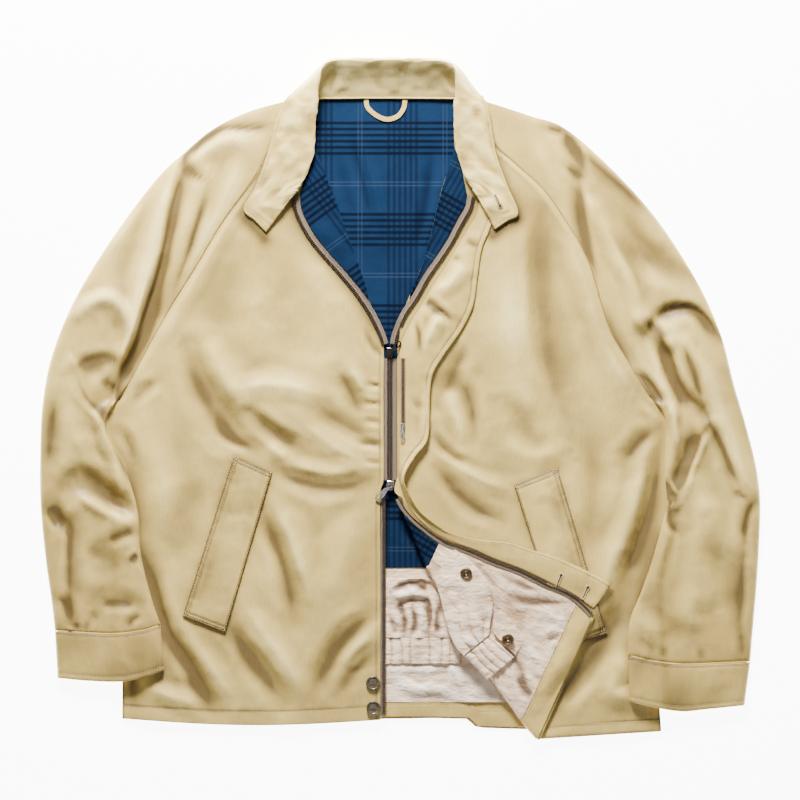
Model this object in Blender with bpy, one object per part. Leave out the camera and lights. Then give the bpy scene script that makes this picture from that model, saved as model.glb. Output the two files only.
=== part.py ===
"""Harrington jacket laid flat on its back, front partly unzipped, one front corner turned back.

All tables are in millimetres in the jacket's own frame: +X to the right of someone looking down
on it, +Y towards the collar, +Z up, with the surface it lies on at Z = 0.
The cut: back, two fronts, two raglan sleeves, two cuffs, collar, linings, zip and storm flap.
"""
import math

import bpy
import bmesh
import numpy as np
from mathutils import Vector
from mathutils.bvhtree import BVHTree

MM = 0.001

# ---------------------------------------------------------------- driving sizes, in millimetres
CLOTH = 1.2              # satin-faced cotton with its backing
LINING = 1.0             # checked cotton lining and nylon lining
GAP = 0.4                # clearance between pieces that touch
FRONT_RISE = 7.6         # top of the front above the surface, away from its edges
EDGE_RISE = 2.9          # top of the front at the side seams
RAMP = 42.0              # width over which the front rises from its side seam
FOLD_RADIUS = 2.0        # middle radius of the turned corner's fold
TURNED = 2.0 * FOLD_RADIUS
CORNER_GAP = 0.55        # clearance between the layers lying on the turned corner
SLEEVE_GAP = 3.7         # air between the two layers of a sleeve, away from its folds
SLEEVE_ARCH = 7.0        # most that a sleeve's underside rises off what it lies on
CUFF_WALL = 2.0
COLLAR_WALL = 1.8
ZIP_TAPE = 0.8
ZIP_TAPE_WIDTH = 5.2
ZIP_TEETH_REACH = 3.2    # from the tape's edge to the tips of the teeth
ZIP_BEAD = 2.4           # height of the row of teeth
ZIP_SEAT = 5.5           # underside of the closed zip above the surface
SEAM_GAP = 0.35          # clearance between a sleeve and the panels it is sewn to
SLEEVE_ROWS = 22
SLEEVE_COLUMNS = 10
SIDE_ROWS = 13

# ---------------------------------------------------------------- seams and edges, X and Y in mm
RAGLAN_LEFT = [(-129, 343), (-160, 266), (-204, 203), (-236, 150), (-269, 97), (-295, 50), (-321, 1)]
RAGLAN_RIGHT = [(96, 343), (108, 295), (133, 270), (165, 241), (188, 209), (206, 180), (221, 147),
                (232, 109), (244, 74), (265, 39), (288, 1)]
SIDE_LEFT = [(-321, 1), (-334, -9), (-343, -22), (-344, -38), (-334, -58), (-322, -82), (-318, -130),
             (-319, -240), (-319.5, -367.5)]
SIDE_RIGHT = [(288, 1), (303, -8), (311, -22), (312, -44), (308, -72), (309, -98), (309, -124), (304, -152),
              (295, -182), (289, -210), (291, -256), (296, -320), (300.5, -382)]
NECK_TOP = 349.0         # top edge of the back, under the collar's stand
HEM_SAG = 7.0            # how far the left front's hem hangs below its corners
CENTRE_LEFT = [(-97, 343), (-98, 286), (-86, 258), (-73, 224), (-61, 189), (-49, 158), (-37, 117),
               (-24, 84), (-18.7, 62), (-18.7, 10), (-18.7, -40), (-18.7, -92), (-22.4, -110),
               (-22.4, -180), (-22.4, -270), (-22.4, -369)]
CENTRE_RIGHT = [(64, 343), (62, 282), (53, 256), (44, 224), (35, 185), (24, 149), (10, 115),
                (0, 88), (-2.5, 66), (-2.5, 20), (-2.5, -40), (-2.5, -92)]
# line along which the right front's lower corner is folded over, as seen from above
FOLD_EDGE = [(-3, -98), (-3.5, -106), (1, -121), (6, -137), (14, -153), (21, -171), (38, -206), (60, -246),
             (83, -285), (106, -322), (124, -347), (143, -373), (159, -392.5)]
# the zip's teeth along the turned corner
TURNED_ZIP = [(-3.5, -97), (-3, -107), (1, -117), (7, -127), (16, -137), (28, -147), (41, -157),
              (54, -165), (65, -169), (82, -175), (104, -185), (120, -191), (139, -198), (167, -212),
              (189, -221), (205, -231), (224, -250)]
BACK_HEM = [(-317.5, -365), (-283, -369), (-195, -372.5), (-93, -373), (-24, -368), (40, -367), (78, -368),
            (88, -378), (150, -380), (170, -387.5), (235, -385), (298.5, -380)]

# ---------------------------------------------------------------- soft folds of the shell
# rise, width to the left and to the right of the line, then the line's points
FRONT_FOLDS = [
    (2.4, 18, 16, [(-268, 78), (-240, 22), (-216, -25)]),
    (-2.8, 14, 14, [(-246, 60), (-224, 16), (-200, -25), (-178, -48), (-158, -57)]),
    (-2.6, 10, 12, [(-172, -17), (-158, -30), (-137, -48), (-114, -65)]),
    (2.6, 30, 26, [(-190, 10), (-120, -6), (-70, 40)]),
    (-2.0, 12, 12, [(-126, -88), (-91, -85), (-57, -91)]),
    (-2.4, 12, 12, [(-91, -152), (-57, -124), (-34, -106)]),
    (2.4, 20, 16, [(-150, -255), (-118, -310), (-105, -335)]),
    (-2.2, 14, 14, [(-190, -278), (-155, -324), (-137, -347)]),
    (-2.2, 12, 12, [(-34, -243), (-60, -278), (-92, -335)]),
    (-2.4, 11, 11, [(-275, -312), (-252, -335), (-224, -352)]),
    (2.6, 30, 30, [(132, 190), (128, 90), (134, 0)]),
    (-2.4, 10, 30, [(160, 220), (168, 170), (166, 66), (182, -2), (196, -50)]),
    (-2.2, 10, 10, [(50, 16), (72, -14), (82, -48)]),
    (2.4, 26, 26, [(252, -120), (244, -200), (240, -260)]),
    (-2.8, 14, 14, [(262, -288), (230, -315), (180, -352)]),
]

# ---------------------------------------------------------------- sleeves, one row for each ring
# inner edge X and Y, outer edge X and Y, swell of the upper layer above its edges
SLEEVE_LEFT = [
    (-321, 1, -129, 343, 4.2),
    (-323, -0.5, -172, 331, 4.8),
    (-325, -2.5, -214, 311, 5.6),
    (-326.5, -4, -248, 283, 6.4),
    (-328, -6, -280, 253, 7.0),
    (-332, -12, -332, 183, 7.8),
    (-336.5, -20, -374, 114, 8.2),
    (-337.5, -31, -400, 50, 8.2),
    (-333, -48, -411, -7, 8.0),
    (-316, -82, -413.5, -65, 7.6),
    (-302, -128, -413, -122, 7.4),
    (-298, -180, -407, -186, 7.0),
    (-285, -232, -400.5, -232, 6.6),
    (-275, -260, -396.5, -266, 6.0),
]
SLEEVE_RIGHT = [
    (288, 1, 96, 343, 4.2),
    (290, -0.5, 148, 326, 4.8),
    (292.5, -3, 197, 306, 5.6),
    (297, -8, 278, 228, 7.0),
    (303, -17, 334, 148, 7.8),
    (306, -30, 367, 79, 8.2),
    (305, -56, 384, 16, 8.2),
    (305, -90, 397.5, -30, 8.0),
    (307, -118, 409, -76, 7.8),
    (301, -146, 414, -117, 7.6),
    (290, -186, 413, -163, 7.4),
    (277, -223, 410, -214, 7.0),
    (264, -257, 406, -260, 6.6),
    (262, -295, 402.5, -302, 6.0),
]
SLEEVE_FOLDS_LEFT = [
    (5.0, 22, 8, [(-257, 268), (-266, 228), (-277, 182), (-290, 136), (-303, 90), (-315, 56), (-326, 20)]),
    (-3.6, 8, 10, [(-249, 268), (-257, 228), (-267, 182), (-277, 142), (-289, 107), (-298, 73), (-312, 27)]),
    (3.6, 6, 15, [(-222, 248), (-228, 228), (-237, 200), (-247, 165), (-256, 134), (-266, 108)]),
    (-3.6, 8, 8, [(-147, 312), (-200, 311), (-224, 295), (-247, 278)]),
    (3.0, 12, 10, [(-160, 285), (-180, 297), (-201, 298), (-222, 289), (-240, 273)]),
    (4.4, 13, 9, [(-370, 100), (-350, 113), (-331, 116), (-316, 107), (-308, 88), (-307, 70), (-319, 42)]),
    (4.4, 6, 14, [(-374, 38), (-362, 6), (-347, -19), (-331, -51)]),
    (-4.0, 14, 14, [(-349, 26), (-345, 8)]),
    (-4.6, 12, 12, [(-392, -140), (-390, -116), (-383, -96), (-372, -84), (-356, -91), (-336, -108),
                    (-316, -124)]),
    (3.6, 12, 12, [(-376, -120), (-366, -108), (-346, -124), (-314, -142)]),
    (1.6, 10, 4, [(-380, -117), (-381, -186), (-381, -262)]),
    (-2.6, 10, 10, [(-350, -232), (-332, -220), (-302, -236)]),
]
SLEEVE_FOLDS_RIGHT = [
    (-4.2, 10, 14, [(174, 310), (200, 297), (226, 249), (257, 204), (291, 164), (332, 140)]),
    (3.4, 12, 12, [(222, 282), (264, 236), (300, 184)]),
    (4.4, 10, 14, [(222, 222), (238, 194), (254, 154), (271, 113), (282, 90)]),
    (-2.6, 6, 9, [(204, 251), (210, 222), (222, 170), (232, 125)]),
    (-4.6, 9, 9, [(291, 86), (300, 97), (314, 103), (330, 104), (344, 97), (358, 80), (368, 68)]),
    (6.2, 13, 8, [(273, 89), (294, 75), (310, 72), (328, 53), (342, 14), (360, -36), (390, -102)]),
    (-4.4, 12, 12, [(283, 73), (294, 50), (308, 28), (326, 4), (342, -15)]),
    (4.6, 14, 6, [(352, -31), (342, -56), (332, -78), (316, -113)]),
    (-2.2, 8, 8, [(318, -134), (330, -150)]),
    (3.4, 17, 17, [(356, -128), (340, -190), (330, -250)]),
    (1.6, 4, 10, [(410, -113), (397, -132), (394, -184), (390, -290)]),
]
CUFF_LEFT = {"top": [(-275.5, -260), (-295, -266.3), (-327, -270.5), (-363, -269.3), (-396.5, -267)],
             "bottom": [(-271.6, -312), (-289, -318.5), (-319, -325), (-357, -324.4), (-393.5, -321)]}
CUFF_RIGHT = {"top": [(262, -295.5), (294, -302.5), (323, -305.5), (360, -304.5), (402.5, -302.5)],
              "bottom": [(264.5, -348), (294, -355), (324, -359.4), (352, -357), (396, -352.5)]}

# ---------------------------------------------------------------- collar, one row for each section
# seam, roll and free edge of the fall, each X, Y and height in mm
COLLAR = [
    (-126, 231, 10.0, -122, 235.5, 13.0, -154, 192, 10.4),
    (-124, 236, 10.0, -119, 240, 13.4, -167, 205.5, 10.4),
    (-120, 243, 10.0, -115.5, 245, 13.8, -180, 219, 10.4),
    (-114, 256, 10.0, -109, 256, 14.4, -165, 247, 10.6),
    (-107, 276, 10.0, -101.5, 276, 15.4, -152, 285, 11.0),
    (-105, 298, 10.0, -98.5, 298, 17.0, -147, 303, 11.4),
    (-104, 318, 9.6, -97, 318, 19.0, -143, 319, 11.8),
    (-102.5, 338, 8.2, -95.5, 343, 22.0, -134, 341, 11.6),
    (-100, 343.5, 7.0, -93.5, 362, 25.0, -122.5, 353, 9.0),
    (-96.5, 346.2, 6.0, -91, 376, 27.0, -108, 366, 6.0),
    (-91, 347, 5.4, -86, 384.5, 28.5, -94, 380, 3.0),
    (-83, 347, 5.2, -77, 388.5, 29.0, -80, 389.5, 0.8),
    (-62, 347, 5.2, -60, 389.5, 28.6, -60, 390.5, 0.3),
    (-36, 347, 5.2, -36, 389.5, 27.6, -36, 390.5, 0.3),
    (-10, 347, 5.2, -10, 389.5, 28.8, -10, 390.5, 0.3),
    (14, 347, 5.2, 14, 389.5, 27.4, 14, 390.5, 0.3),
    (36, 347, 5.2, 36, 388.5, 28.4, 36, 390.0, 0.3),
    (52, 347, 5.2, 50, 387, 28.8, 54, 388.0, 0.8),
    (60, 347, 5.4, 60, 382.5, 28.2, 69, 379, 3.0),
    (66, 346.2, 6.0, 63.5, 375, 26.6, 80, 365, 6.0),
    (70, 343.5, 7.0, 63.5, 362, 24.6, 90, 352, 9.0),
    (70.5, 338, 8.2, 63.5, 343, 22.0, 99.5, 341, 11.6),
    (69.5, 318, 9.6, 62.5, 318, 19.0, 104, 322, 11.8),
    (70.5, 300, 10.0, 63, 300, 17.0, 107.5, 300, 11.4),
    (72.5, 280, 10.0, 66.5, 280, 15.4, 112, 278, 11.0),
    (79, 260, 10.0, 73.5, 259, 14.4, 123.5, 246, 10.6),
    (86, 247, 10.0, 80.5, 247, 13.8, 136, 214, 10.4),
    (90, 241, 10.0, 84, 242, 13.4, 122.5, 204.5, 10.4),
    (92.5, 234, 10.0, 87, 237, 13.0, 109, 195, 10.4),
]
HANGER_LOOP = {"line": [(-39, 344.6), (-37, 335), (-27, 326), (-15, 321.5), (-3, 325), (4, 334), (6, 344.6)],
               "width": 5.5, "thick": 1.2}

# ---------------------------------------------------------------- turned lapels above the zip
# X and Y on the lapel's fold, and how far along the zip its other side is
LAPEL_LEFT = [
    (-99, 300, 0.0), (-95, 282, 0.05), (-85.5, 258, 0.16), (-72.5, 224, 0.35), (-60.5, 189, 0.50),
    (-48.5, 158, 0.63), (-43, 141, 0.69), (-39, 128, 0.735),
]
LAPEL_RIGHT = [
    (63.5, 300, 0.0), (60.5, 280, 0.05), (52.5, 256, 0.15), (43.5, 224, 0.30), (34.5, 185, 0.46),
    (23.5, 149, 0.60), (17, 134, 0.665), (12, 122, 0.71),
]
ZIP_LEFT = [(-121, 233), (-118, 214), (-104, 187), (-86, 164), (-68, 144), (-49, 121), (-33, 97), (-22, 74),
            (-18.5, 63)]
ZIP_RIGHT = [(83, 234), (80, 219), (71, 203), (59, 180), (46, 160), (32, 140), (19, 117), (5, 96),
             (-4, 74), (-6.5, 63)]

# ---------------------------------------------------------------- storm flap, one row for each section
# root X and Y, free edge X and Y, lift of root, middle and free edge above the front
STORM_FLAP = [
    (90, 227, 112, 224, 1.2, 1.2, 1.2),
    (86, 211, 107, 206, 1.2, 1.3, 1.2),
    (77, 196, 101, 190, 1.2, 2.0, 1.4),
    (65, 175, 94, 172, 1.2, 3.2, 1.6),
    (52, 154, 89, 141, 1.2, 4.2, 1.8),
    (38, 133, 84, 108, 1.2, 5.0, 2.2),
    (25, 111, 71, 80, 1.2, 5.6, 2.6),
    (11, 88, 50, 50, 1.2, 5.0, 3.4),
    (0, 64, 37, 27, 1.2, 4.0, 4.4),
    (-1.5, 30, 34, -2, 1.2, 3.4, 5.2),
    (-1.5, -10, 32, -45, 1.2, 3.2, 6.0),
    (-1.5, -45, 19, -64, 1.2, 3.8, 7.6),
    (-1.5, -70, 8, -81, 1.2, 4.6, 9.0),
    (-1.2, -88, 4.5, -95, 1.4, 5.0, 9.4),
    (2.5, -102, 10, -109, 2.2, 5.4, 9.2),
    (8.5, -116, 21, -127, 3.2, 5.6, 8.2),
    (19, -131, 36, -141, 3.4, 5.4, 7.0),
    (31, -143, 55, -153, 3.4, 5.0, 5.8),
    (45, -154.5, 76, -159.5, 3.4, 4.8, 5.0),
    (67, -166, 102, -163.5, 3.4, 4.6, 4.4),
    (86, -173, 128, -166.5, 3.4, 4.2, 3.8),
    (107, -182.5, 150, -173.5, 3.4, 4.0, 3.4),
    (141, -195.5, 182, -183, 3.4, 3.8, 3.2),
    (169, -209, 212, -196.5, 3.4, 3.8, 3.2),
    (198, -224, 236, -208, 3.4, 3.6, 3.2),
    (222.5, -240.5, 244, -212, 3.4, 3.5, 3.2),
]

# ---------------------------------------------------------------- wind guard on the turned corner
# left X and Y, right X and Y, puff in the middle
GUARD_FRONT = [
    (39, -206, 63, -173, 0.3),
    (45, -224, 78, -184, 1.6),
    (49, -240, 92, -199, 2.4),
    (53, -257, 105, -219, 2.8),
    (58, -273, 107, -240, 3.0),
    (66, -288, 104, -258, 2.4),
    (73, -295, 103, -270.5, 1.8),
]
GUARD_BAND = [(74.2, -296.6, 104.4, -272.4, 1.6), (87, -309, 118, -284.5, 1.8), (99.5, -323, 131, -297, 1.4)]
GUARD_TAB = [(107.5, -256, 115, -241), (108, -269, 129, -256), (119.5, -281, 137, -268),
             (132.5, -294, 143.5, -279)]

# ---------------------------------------------------------------- pockets and fasteners
POCKET_GAP = 0.6
POCKET_LEFT = [(-191, -65), (-147, -85), (-201, -269), (-250, -250)]
POCKET_RIGHT = [(131, -99), (181, -79), (238, -270), (190, -286)]
BUTTONS = {"button_upper": (-31, -327), "button_lower": (-30.5, -355.5)}
SNAPS = {"snap_upper": (76, -201), "snap_lower": (124, -277)}
# name: slider centre X and Y, direction of the pull tab in degrees, slider and tab sizes
SLIDERS = {
    "top": {"at": (-12, 53), "turn": 46.0, "droop": 4.0, "seat": 5.6, "top": 10.0, "size": (9.0, 12.0),
            "tab": 18.0, "tab_width": 5.6, "finish": "gunmetal"},
    "bottom": {"at": (-11.5, -99.6), "turn": 228.0, "droop": 8.0, "seat": 5.6, "top": 10.0,
               "size": (9.4, 11.4), "tab": 23.0, "tab_width": 6.4, "finish": "silver"},
    "pocket": {"at": (3.0, -31.5), "turn": 268.0, "droop": 4.0, "seat": 10.0, "top": 12.6,
               "size": (5.4, 7.6), "tab": 15.0, "tab_width": 5.0, "finish": "silver"},
}
POCKET_ZIP = {"x": (0.6, 6.2), "y": (47.0, -26.5)}


# ================================================================ small tools
def clear_scene():
    for thing in list(bpy.data.objects):
        bpy.data.objects.remove(thing, do_unlink=True)


def ease(low, high, value):
    """0 below low, 1 above high, and a soft step between."""
    t = np.clip((np.asarray(value, float) - low) / (high - low), 0.0, 1.0)
    return t * t * (3.0 - 2.0 * t)


def rounded(points, steps=12):
    """A smooth line through the points."""
    p = np.array(points, float)
    if len(p) < 3:
        return p
    ends = np.vstack([2 * p[0] - p[1], p, 2 * p[-1] - p[-2]])
    line = []
    for i in range(1, len(ends) - 2):
        a, b, c, d = ends[i - 1], ends[i], ends[i + 1], ends[i + 2]
        for t in np.linspace(0, 1, steps, endpoint=False):
            line.append(0.5 * (2 * b + (c - a) * t + (2 * a - 5 * b + 4 * c - d) * t**2
                               + (3 * b - a - 3 * c + d) * t**3))
    line.append(p[-1])
    return np.array(line)


def along(points, fractions, smooth=True):
    """Points at fractions of the length of a line."""
    p = rounded(points) if smooth else np.array(points, float)
    run = np.concatenate([[0.0], np.cumsum(np.linalg.norm(np.diff(p, axis=0), axis=1))])
    run /= run[-1]
    return np.stack([np.interp(fractions, run, p[:, k]) for k in range(p.shape[1])], axis=-1)


def rows_between(table, count):
    """A table resampled to count rows, smooth through its own rows."""
    p = rounded(table, 8)
    index = np.linspace(0, len(p) - 1, count)
    return np.stack([np.interp(index, range(len(p)), p[:, k]) for k in range(p.shape[1])], axis=-1)


def line_distance(x, y, points):
    """Nearest distance to a line of points, and on which side, positive to the left."""
    best = np.full(np.shape(x), 1e9)
    side = np.zeros(np.shape(x))
    for (ax, ay), (bx, by) in zip(points[:-1], points[1:]):
        dx, dy = bx - ax, by - ay
        t = np.clip(((x - ax) * dx + (y - ay) * dy) / (dx * dx + dy * dy), 0, 1)
        gap = np.hypot(x - ax - t * dx, y - ay - t * dy)
        turn = np.sign(dx * (y - ay) - dy * (x - ax))
        side = np.where(gap < best, turn, side)
        best = np.minimum(best, gap)
    return best, side


def folds(x, y, table):
    """Height of all the soft folds of a table at X and Y."""
    x, y = np.asarray(x, float), np.asarray(y, float)
    total = np.zeros(np.shape(x))
    for rise, left, right, points in table:
        line = [tuple(p) for p in along(points, np.linspace(0, 1, 9))]
        gap, side = line_distance(x, y, line)
        width = np.where(side > 0, left, right)
        total = total + rise * np.exp(-(gap / width) ** 2)
    return total


def across_fractions(count):
    """Fractions across a flattened tube, closer together at its two edges."""
    even = np.linspace(0, 1, count)
    return 0.55 * even + 0.45 * (1 - np.cos(math.pi * even)) / 2


def shifted(line, distance):
    """A line moved sideways, to its left where the distance is positive."""
    line = np.asarray(line, float)
    way = np.gradient(line, axis=0)
    way /= np.linalg.norm(way, axis=1, keepdims=True)
    return line + np.stack([-way[:, 1], way[:, 0]], axis=1) * distance


SEAM_LEFT = along(RAGLAN_LEFT[::-1], across_fractions(SLEEVE_COLUMNS))
SEAM_RIGHT = along(RAGLAN_RIGHT[::-1], across_fractions(SLEEVE_COLUMNS))
EDGE_LEFT_LINE = [tuple(p) for p in along(SIDE_LEFT, np.linspace(0, 1, SIDE_ROWS))]
EDGE_RIGHT_LINE = [tuple(p) for p in along(SIDE_RIGHT, np.linspace(0, 1, SIDE_ROWS))]


def front_top(x, y):
    """Height of the top of the fronts: low at the side seams and the hem, with soft folds."""
    x, y = np.asarray(x, float), np.asarray(y, float)
    gap = np.where(x < 0, line_distance(x, y, EDGE_LEFT_LINE)[0], line_distance(x, y, EDGE_RIGHT_LINE)[0])
    inside = ease(0, RAMP, gap)
    hem = 0.62 + 0.38 * ease(-375, -330, y) - 0.42 * ease(296, 346, y)
    relief = folds(x, y, FRONT_FOLDS) * ease(4, 60, gap) * (0.4 + 0.6 * ease(-372, -330, y))
    relief = relief * ease(0, 30, np.abs(x + 12)) * (1 - ease(150, 225, y))
    return EDGE_RISE + (FRONT_RISE - EDGE_RISE) * inside * hem + relief


# ================================================================ solids
def material(name, colour, roughness, metallic=0.0):
    slot = bpy.data.materials.get(name)
    if slot is None:
        slot = bpy.data.materials.new(name)
        slot.use_nodes = True
        shader = slot.node_tree.nodes["Principled BSDF"]
        shader.inputs["Base Color"].default_value = (*colour, 1.0)
        shader.inputs["Roughness"].default_value = roughness
        shader.inputs["Metallic"].default_value = metallic
    return slot


MATERIALS = {
    "khaki": ((0.66, 0.50, 0.28), 0.45, 0.0),
    "check": ((0.03, 0.11, 0.26), 0.8, 0.0),
    "nylon": ((0.74, 0.60, 0.52), 0.4, 0.0),
    "tape": ((0.27, 0.19, 0.14), 0.8, 0.0),
    "gunmetal": ((0.12, 0.11, 0.10), 0.3, 1.0),
    "silver": ((0.72, 0.72, 0.72), 0.2, 1.0),
    "brass": ((0.32, 0.26, 0.16), 0.35, 1.0),
    "horn": ((0.16, 0.13, 0.07), 0.35, 0.0),
}


def solid(name, points, faces, finish, at=(0, 0, 0), smooth=True):
    """One closed body from points in millimetres, with its faces turned outwards."""
    mesh = bpy.data.meshes.new(name)
    mesh.from_pydata([tuple(np.asarray(p, float) * MM) for p in points], [], faces)
    work = bmesh.new()
    work.from_mesh(mesh)
    bmesh.ops.recalc_face_normals(work, faces=work.faces)
    if work.calc_volume(signed=True) < 0:
        bmesh.ops.reverse_faces(work, faces=work.faces)
    work.to_mesh(mesh)
    work.free()
    if smooth:
        mesh.shade_smooth()
        mesh.set_sharp_from_angle(angle=math.radians(50))
    thing = bpy.data.objects.new(name, mesh)
    thing.location = Vector(at) * MM
    bpy.context.collection.objects.link(thing)
    mesh.materials.append(material(finish, *MATERIALS[finish]))
    return thing


def between(name, lower, upper, finish):
    """A closed wall between two grids of points with the same rows and columns."""
    rows, columns = lower.shape[:2]
    points = list(lower.reshape(-1, 3)) + list(upper.reshape(-1, 3))
    count = rows * columns

    def low(r, c):
        return r * columns + c

    def high(r, c):
        return count + r * columns + c

    faces = []
    for r in range(rows - 1):
        for c in range(columns - 1):
            faces.append((low(r, c), low(r, c + 1), low(r + 1, c + 1), low(r + 1, c)))
            faces.append((high(r, c), high(r + 1, c), high(r + 1, c + 1), high(r, c + 1)))
    rim = [(0, c) for c in range(columns)] + [(r, columns - 1) for r in range(1, rows)]
    rim += [(rows - 1, c) for c in range(columns - 2, -1, -1)] + [(r, 0) for r in range(rows - 2, 0, -1)]
    for a, b in zip(rim, rim[1:] + rim[:1]):
        faces.append((low(*a), high(*a), high(*b), low(*b)))
    return solid(name, points, faces, finish)


def grid_normals(grid):
    """Unit normals of a grid of points, pointing up where it lies flat."""
    across = np.gradient(grid, axis=1)
    down = np.gradient(grid, axis=0)
    normal = np.cross(down, across)
    normal /= np.linalg.norm(normal, axis=2, keepdims=True)
    return normal


def sheet(name, grid, low, high, finish, flip=1.0):
    """A wall between two distances from a grid, measured along its normals."""
    normal = grid_normals(grid) * flip
    return between(name, grid + normal * low, grid + normal * high, finish)


def raised(plan, height):
    """A grid of X and Y with its heights."""
    return np.concatenate([plan, np.asarray(height, float)[..., None]], axis=-1)


def ruled(left, right, fractions):
    """Rows of points between two edges."""
    u = np.asarray(fractions, float)[None, :, None]
    return left[:, None, :] * (1 - u) + right[:, None, :] * u


def band_plan(left, right, rows, fractions):
    """Plan points of a straight band between two X values, with the given Y rows."""
    return ruled(np.stack([np.full(len(rows), left), rows], 1), np.stack([np.full(len(rows), right), rows], 1),
                 fractions)


def plate(name, outline, low, high, finish):
    """A flat plate with the given outline."""
    count = len(outline)
    points = [(x, y, low) for x, y in outline] + [(x, y, high) for x, y in outline]
    faces = [tuple(range(count)), tuple(range(2 * count - 1, count - 1, -1))]
    faces += [(i, (i + 1) % count, count + (i + 1) % count, count + i) for i in range(count)]
    return solid(name, points, faces, finish)


def tube(name, outer, inner, finish):
    """A wall between two stacks of rings, open at both ends."""
    rings, around = outer.shape[:2]
    points = list(outer.reshape(-1, 3)) + list(inner.reshape(-1, 3))
    count = rings * around
    faces = []
    for r in range(rings - 1):
        for c in range(around):
            d = (c + 1) % around
            a, b, e, f = r * around + c, r * around + d, (r + 1) * around + d, (r + 1) * around + c
            faces.append((a, b, e, f))
            faces.append((count + a, count + f, count + e, count + b))
    for c in range(around):
        d = (c + 1) % around
        faces.append((c, count + c, count + d, d))
        last = (rings - 1) * around
        faces.append((last + c, last + d, count + last + d, count + last + c))
    return solid(name, points, faces, finish)


def lathe(name, profile, at, finish, around=20):
    """A turned piece: radius and height of each corner of its profile, which closes on the axis."""
    points = []
    for radius, height in profile:
        if radius == 0:
            points.append((0, 0, height))
        else:
            angles = np.linspace(0, 2 * math.pi, around, endpoint=False)
            points += [(radius * math.cos(a), radius * math.sin(a), height) for a in angles]
    faces, start = [], 0
    for (r0, _), (r1, _) in zip(profile[:-1], profile[1:]):
        size0 = 1 if r0 == 0 else around
        nxt = start + size0
        for k in range(around):
            j = (k + 1) % around
            if r0 == 0:
                faces.append((start, nxt + k, nxt + j))
            elif r1 == 0:
                faces.append((start + k, nxt, start + j))
            else:
                faces.append((start + k, nxt + k, nxt + j, start + j))
        start = nxt
    return solid(name, points, faces, finish, at)


def surface_of(thing):
    """A function giving the height in millimetres of the top of a piece at X and Y."""
    verts = [thing.matrix_world @ v.co for v in thing.data.vertices]
    tree = BVHTree.FromPolygons(verts, [tuple(p.vertices) for p in thing.data.polygons])

    def height(x, y):
        hit = tree.ray_cast(Vector((x * MM, y * MM, 1.0)), Vector((0, 0, -1)))
        return None if hit[0] is None else hit[0].z / MM

    return height


def lying_on(plan, thing):
    """Heights of the front under the points of a plan, never lower than the piece itself."""
    base = front_top(plan[..., 0], plan[..., 1])
    height = surface_of(thing)
    for index in np.ndindex(base.shape):
        found = height(*plan[index])
        if found is not None:
            base[index] = max(base[index], found)
    return base


def seat_on(thing, x, y, reach):
    """Height at which a round piece rests on another one."""
    height = surface_of(thing)
    steps = np.linspace(-reach, reach, 15)
    found = [height(x + dx, y + dy) for dx in steps for dy in steps]
    return max(h for h in found if h is not None) + 0.3


# ================================================================ body
def body_edge(seam, side_line, side):
    """Raglan seam from the neck down, then the side seam, set in by the seam's clearance."""
    edge = np.vstack([seam[::-1], np.array(side_line)[1:]])
    return shifted(edge, SEAM_GAP * side)


def build_back():
    left = body_edge(SEAM_LEFT, EDGE_LEFT_LINE, 1)
    right = body_edge(SEAM_RIGHT, EDGE_RIGHT_LINE, -1)
    neck = [(left[0, 0] + 4, NECK_TOP), (right[0, 0] - 4, NECK_TOP)]
    outline = [tuple(p) for p in left[:-1]] + BACK_HEM + [tuple(p) for p in right[:-1]][::-1]
    plate("back", outline + neck[::-1], 0.0, CLOTH, "khaki")

    low, high = CLOTH + 0.3, CLOTH + 0.3 + LINING
    inner_left = [(-112, NECK_TOP - 0.8), (-146, 262), (-190, 196), (-222, 142), (-255, 88), (-284, 36),
                  (-296, -10), (-298, -60), (-294, -120), (-294, -194)]
    inner_right = [(80, NECK_TOP - 0.8), (94, 290), (120, 258), (150, 230), (174, 198), (200, 148), (216, 90),
                   (240, 40), (264, -10), (274, -60), (276, -120), (268, -194)]
    plate("back_lining", inner_left + inner_right[::-1], low, high, "check")

    rows = np.array([-195.4, -207, -250, -303, -310, -318, -327, -337, -348.5])
    columns = np.concatenate([[0, 0.3], np.linspace(0.48, 0.78, 12), [1.0]])
    plan = band_plan(-292.0, 266.0, rows, columns)
    wave = 0.5 + 0.5 * np.sin(plan[..., 0] / 8 + 0.8 * np.sin(plan[..., 1] / 13))
    wave = 1.2 * wave * ease(-303, -315, plan[..., 1]) * (1 - ease(-337, -348, plan[..., 1]))
    between("back_lower_lining", raised(plan, low + wave), raised(plan, high + wave), "nylon")

    facing_top = [(-300, -349.2), (80, -349.2), (90, -357.5), (276, -357.5)]
    facing_bottom = [(278, -378), (235, -381), (170, -383), (150, -377.5), (89.5, -376), (79, -366),
                     (40, -365), (-24, -365), (-93, -369), (-195, -370), (-283, -366), (-300, -364)]
    plate("back_hem_facing", facing_top + facing_bottom, low, low + 1.3, "khaki")


def guard_back_height(x, y):
    """Middle of the gathered wind guard inside the back."""
    swell = 0.8 * ease(-200, -225, y) * (1 - 0.5 * ease(-262, -275, y))
    gathers = 0.45 * np.sin(x / 4.4 + 1.4 * np.sin(y / 17.0)) * ease(-225, -262, y)
    return 3.75 + swell * (0.7 + 0.3 * np.sin(x / 11 + y / 19)) + gathers * 0.6


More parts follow.
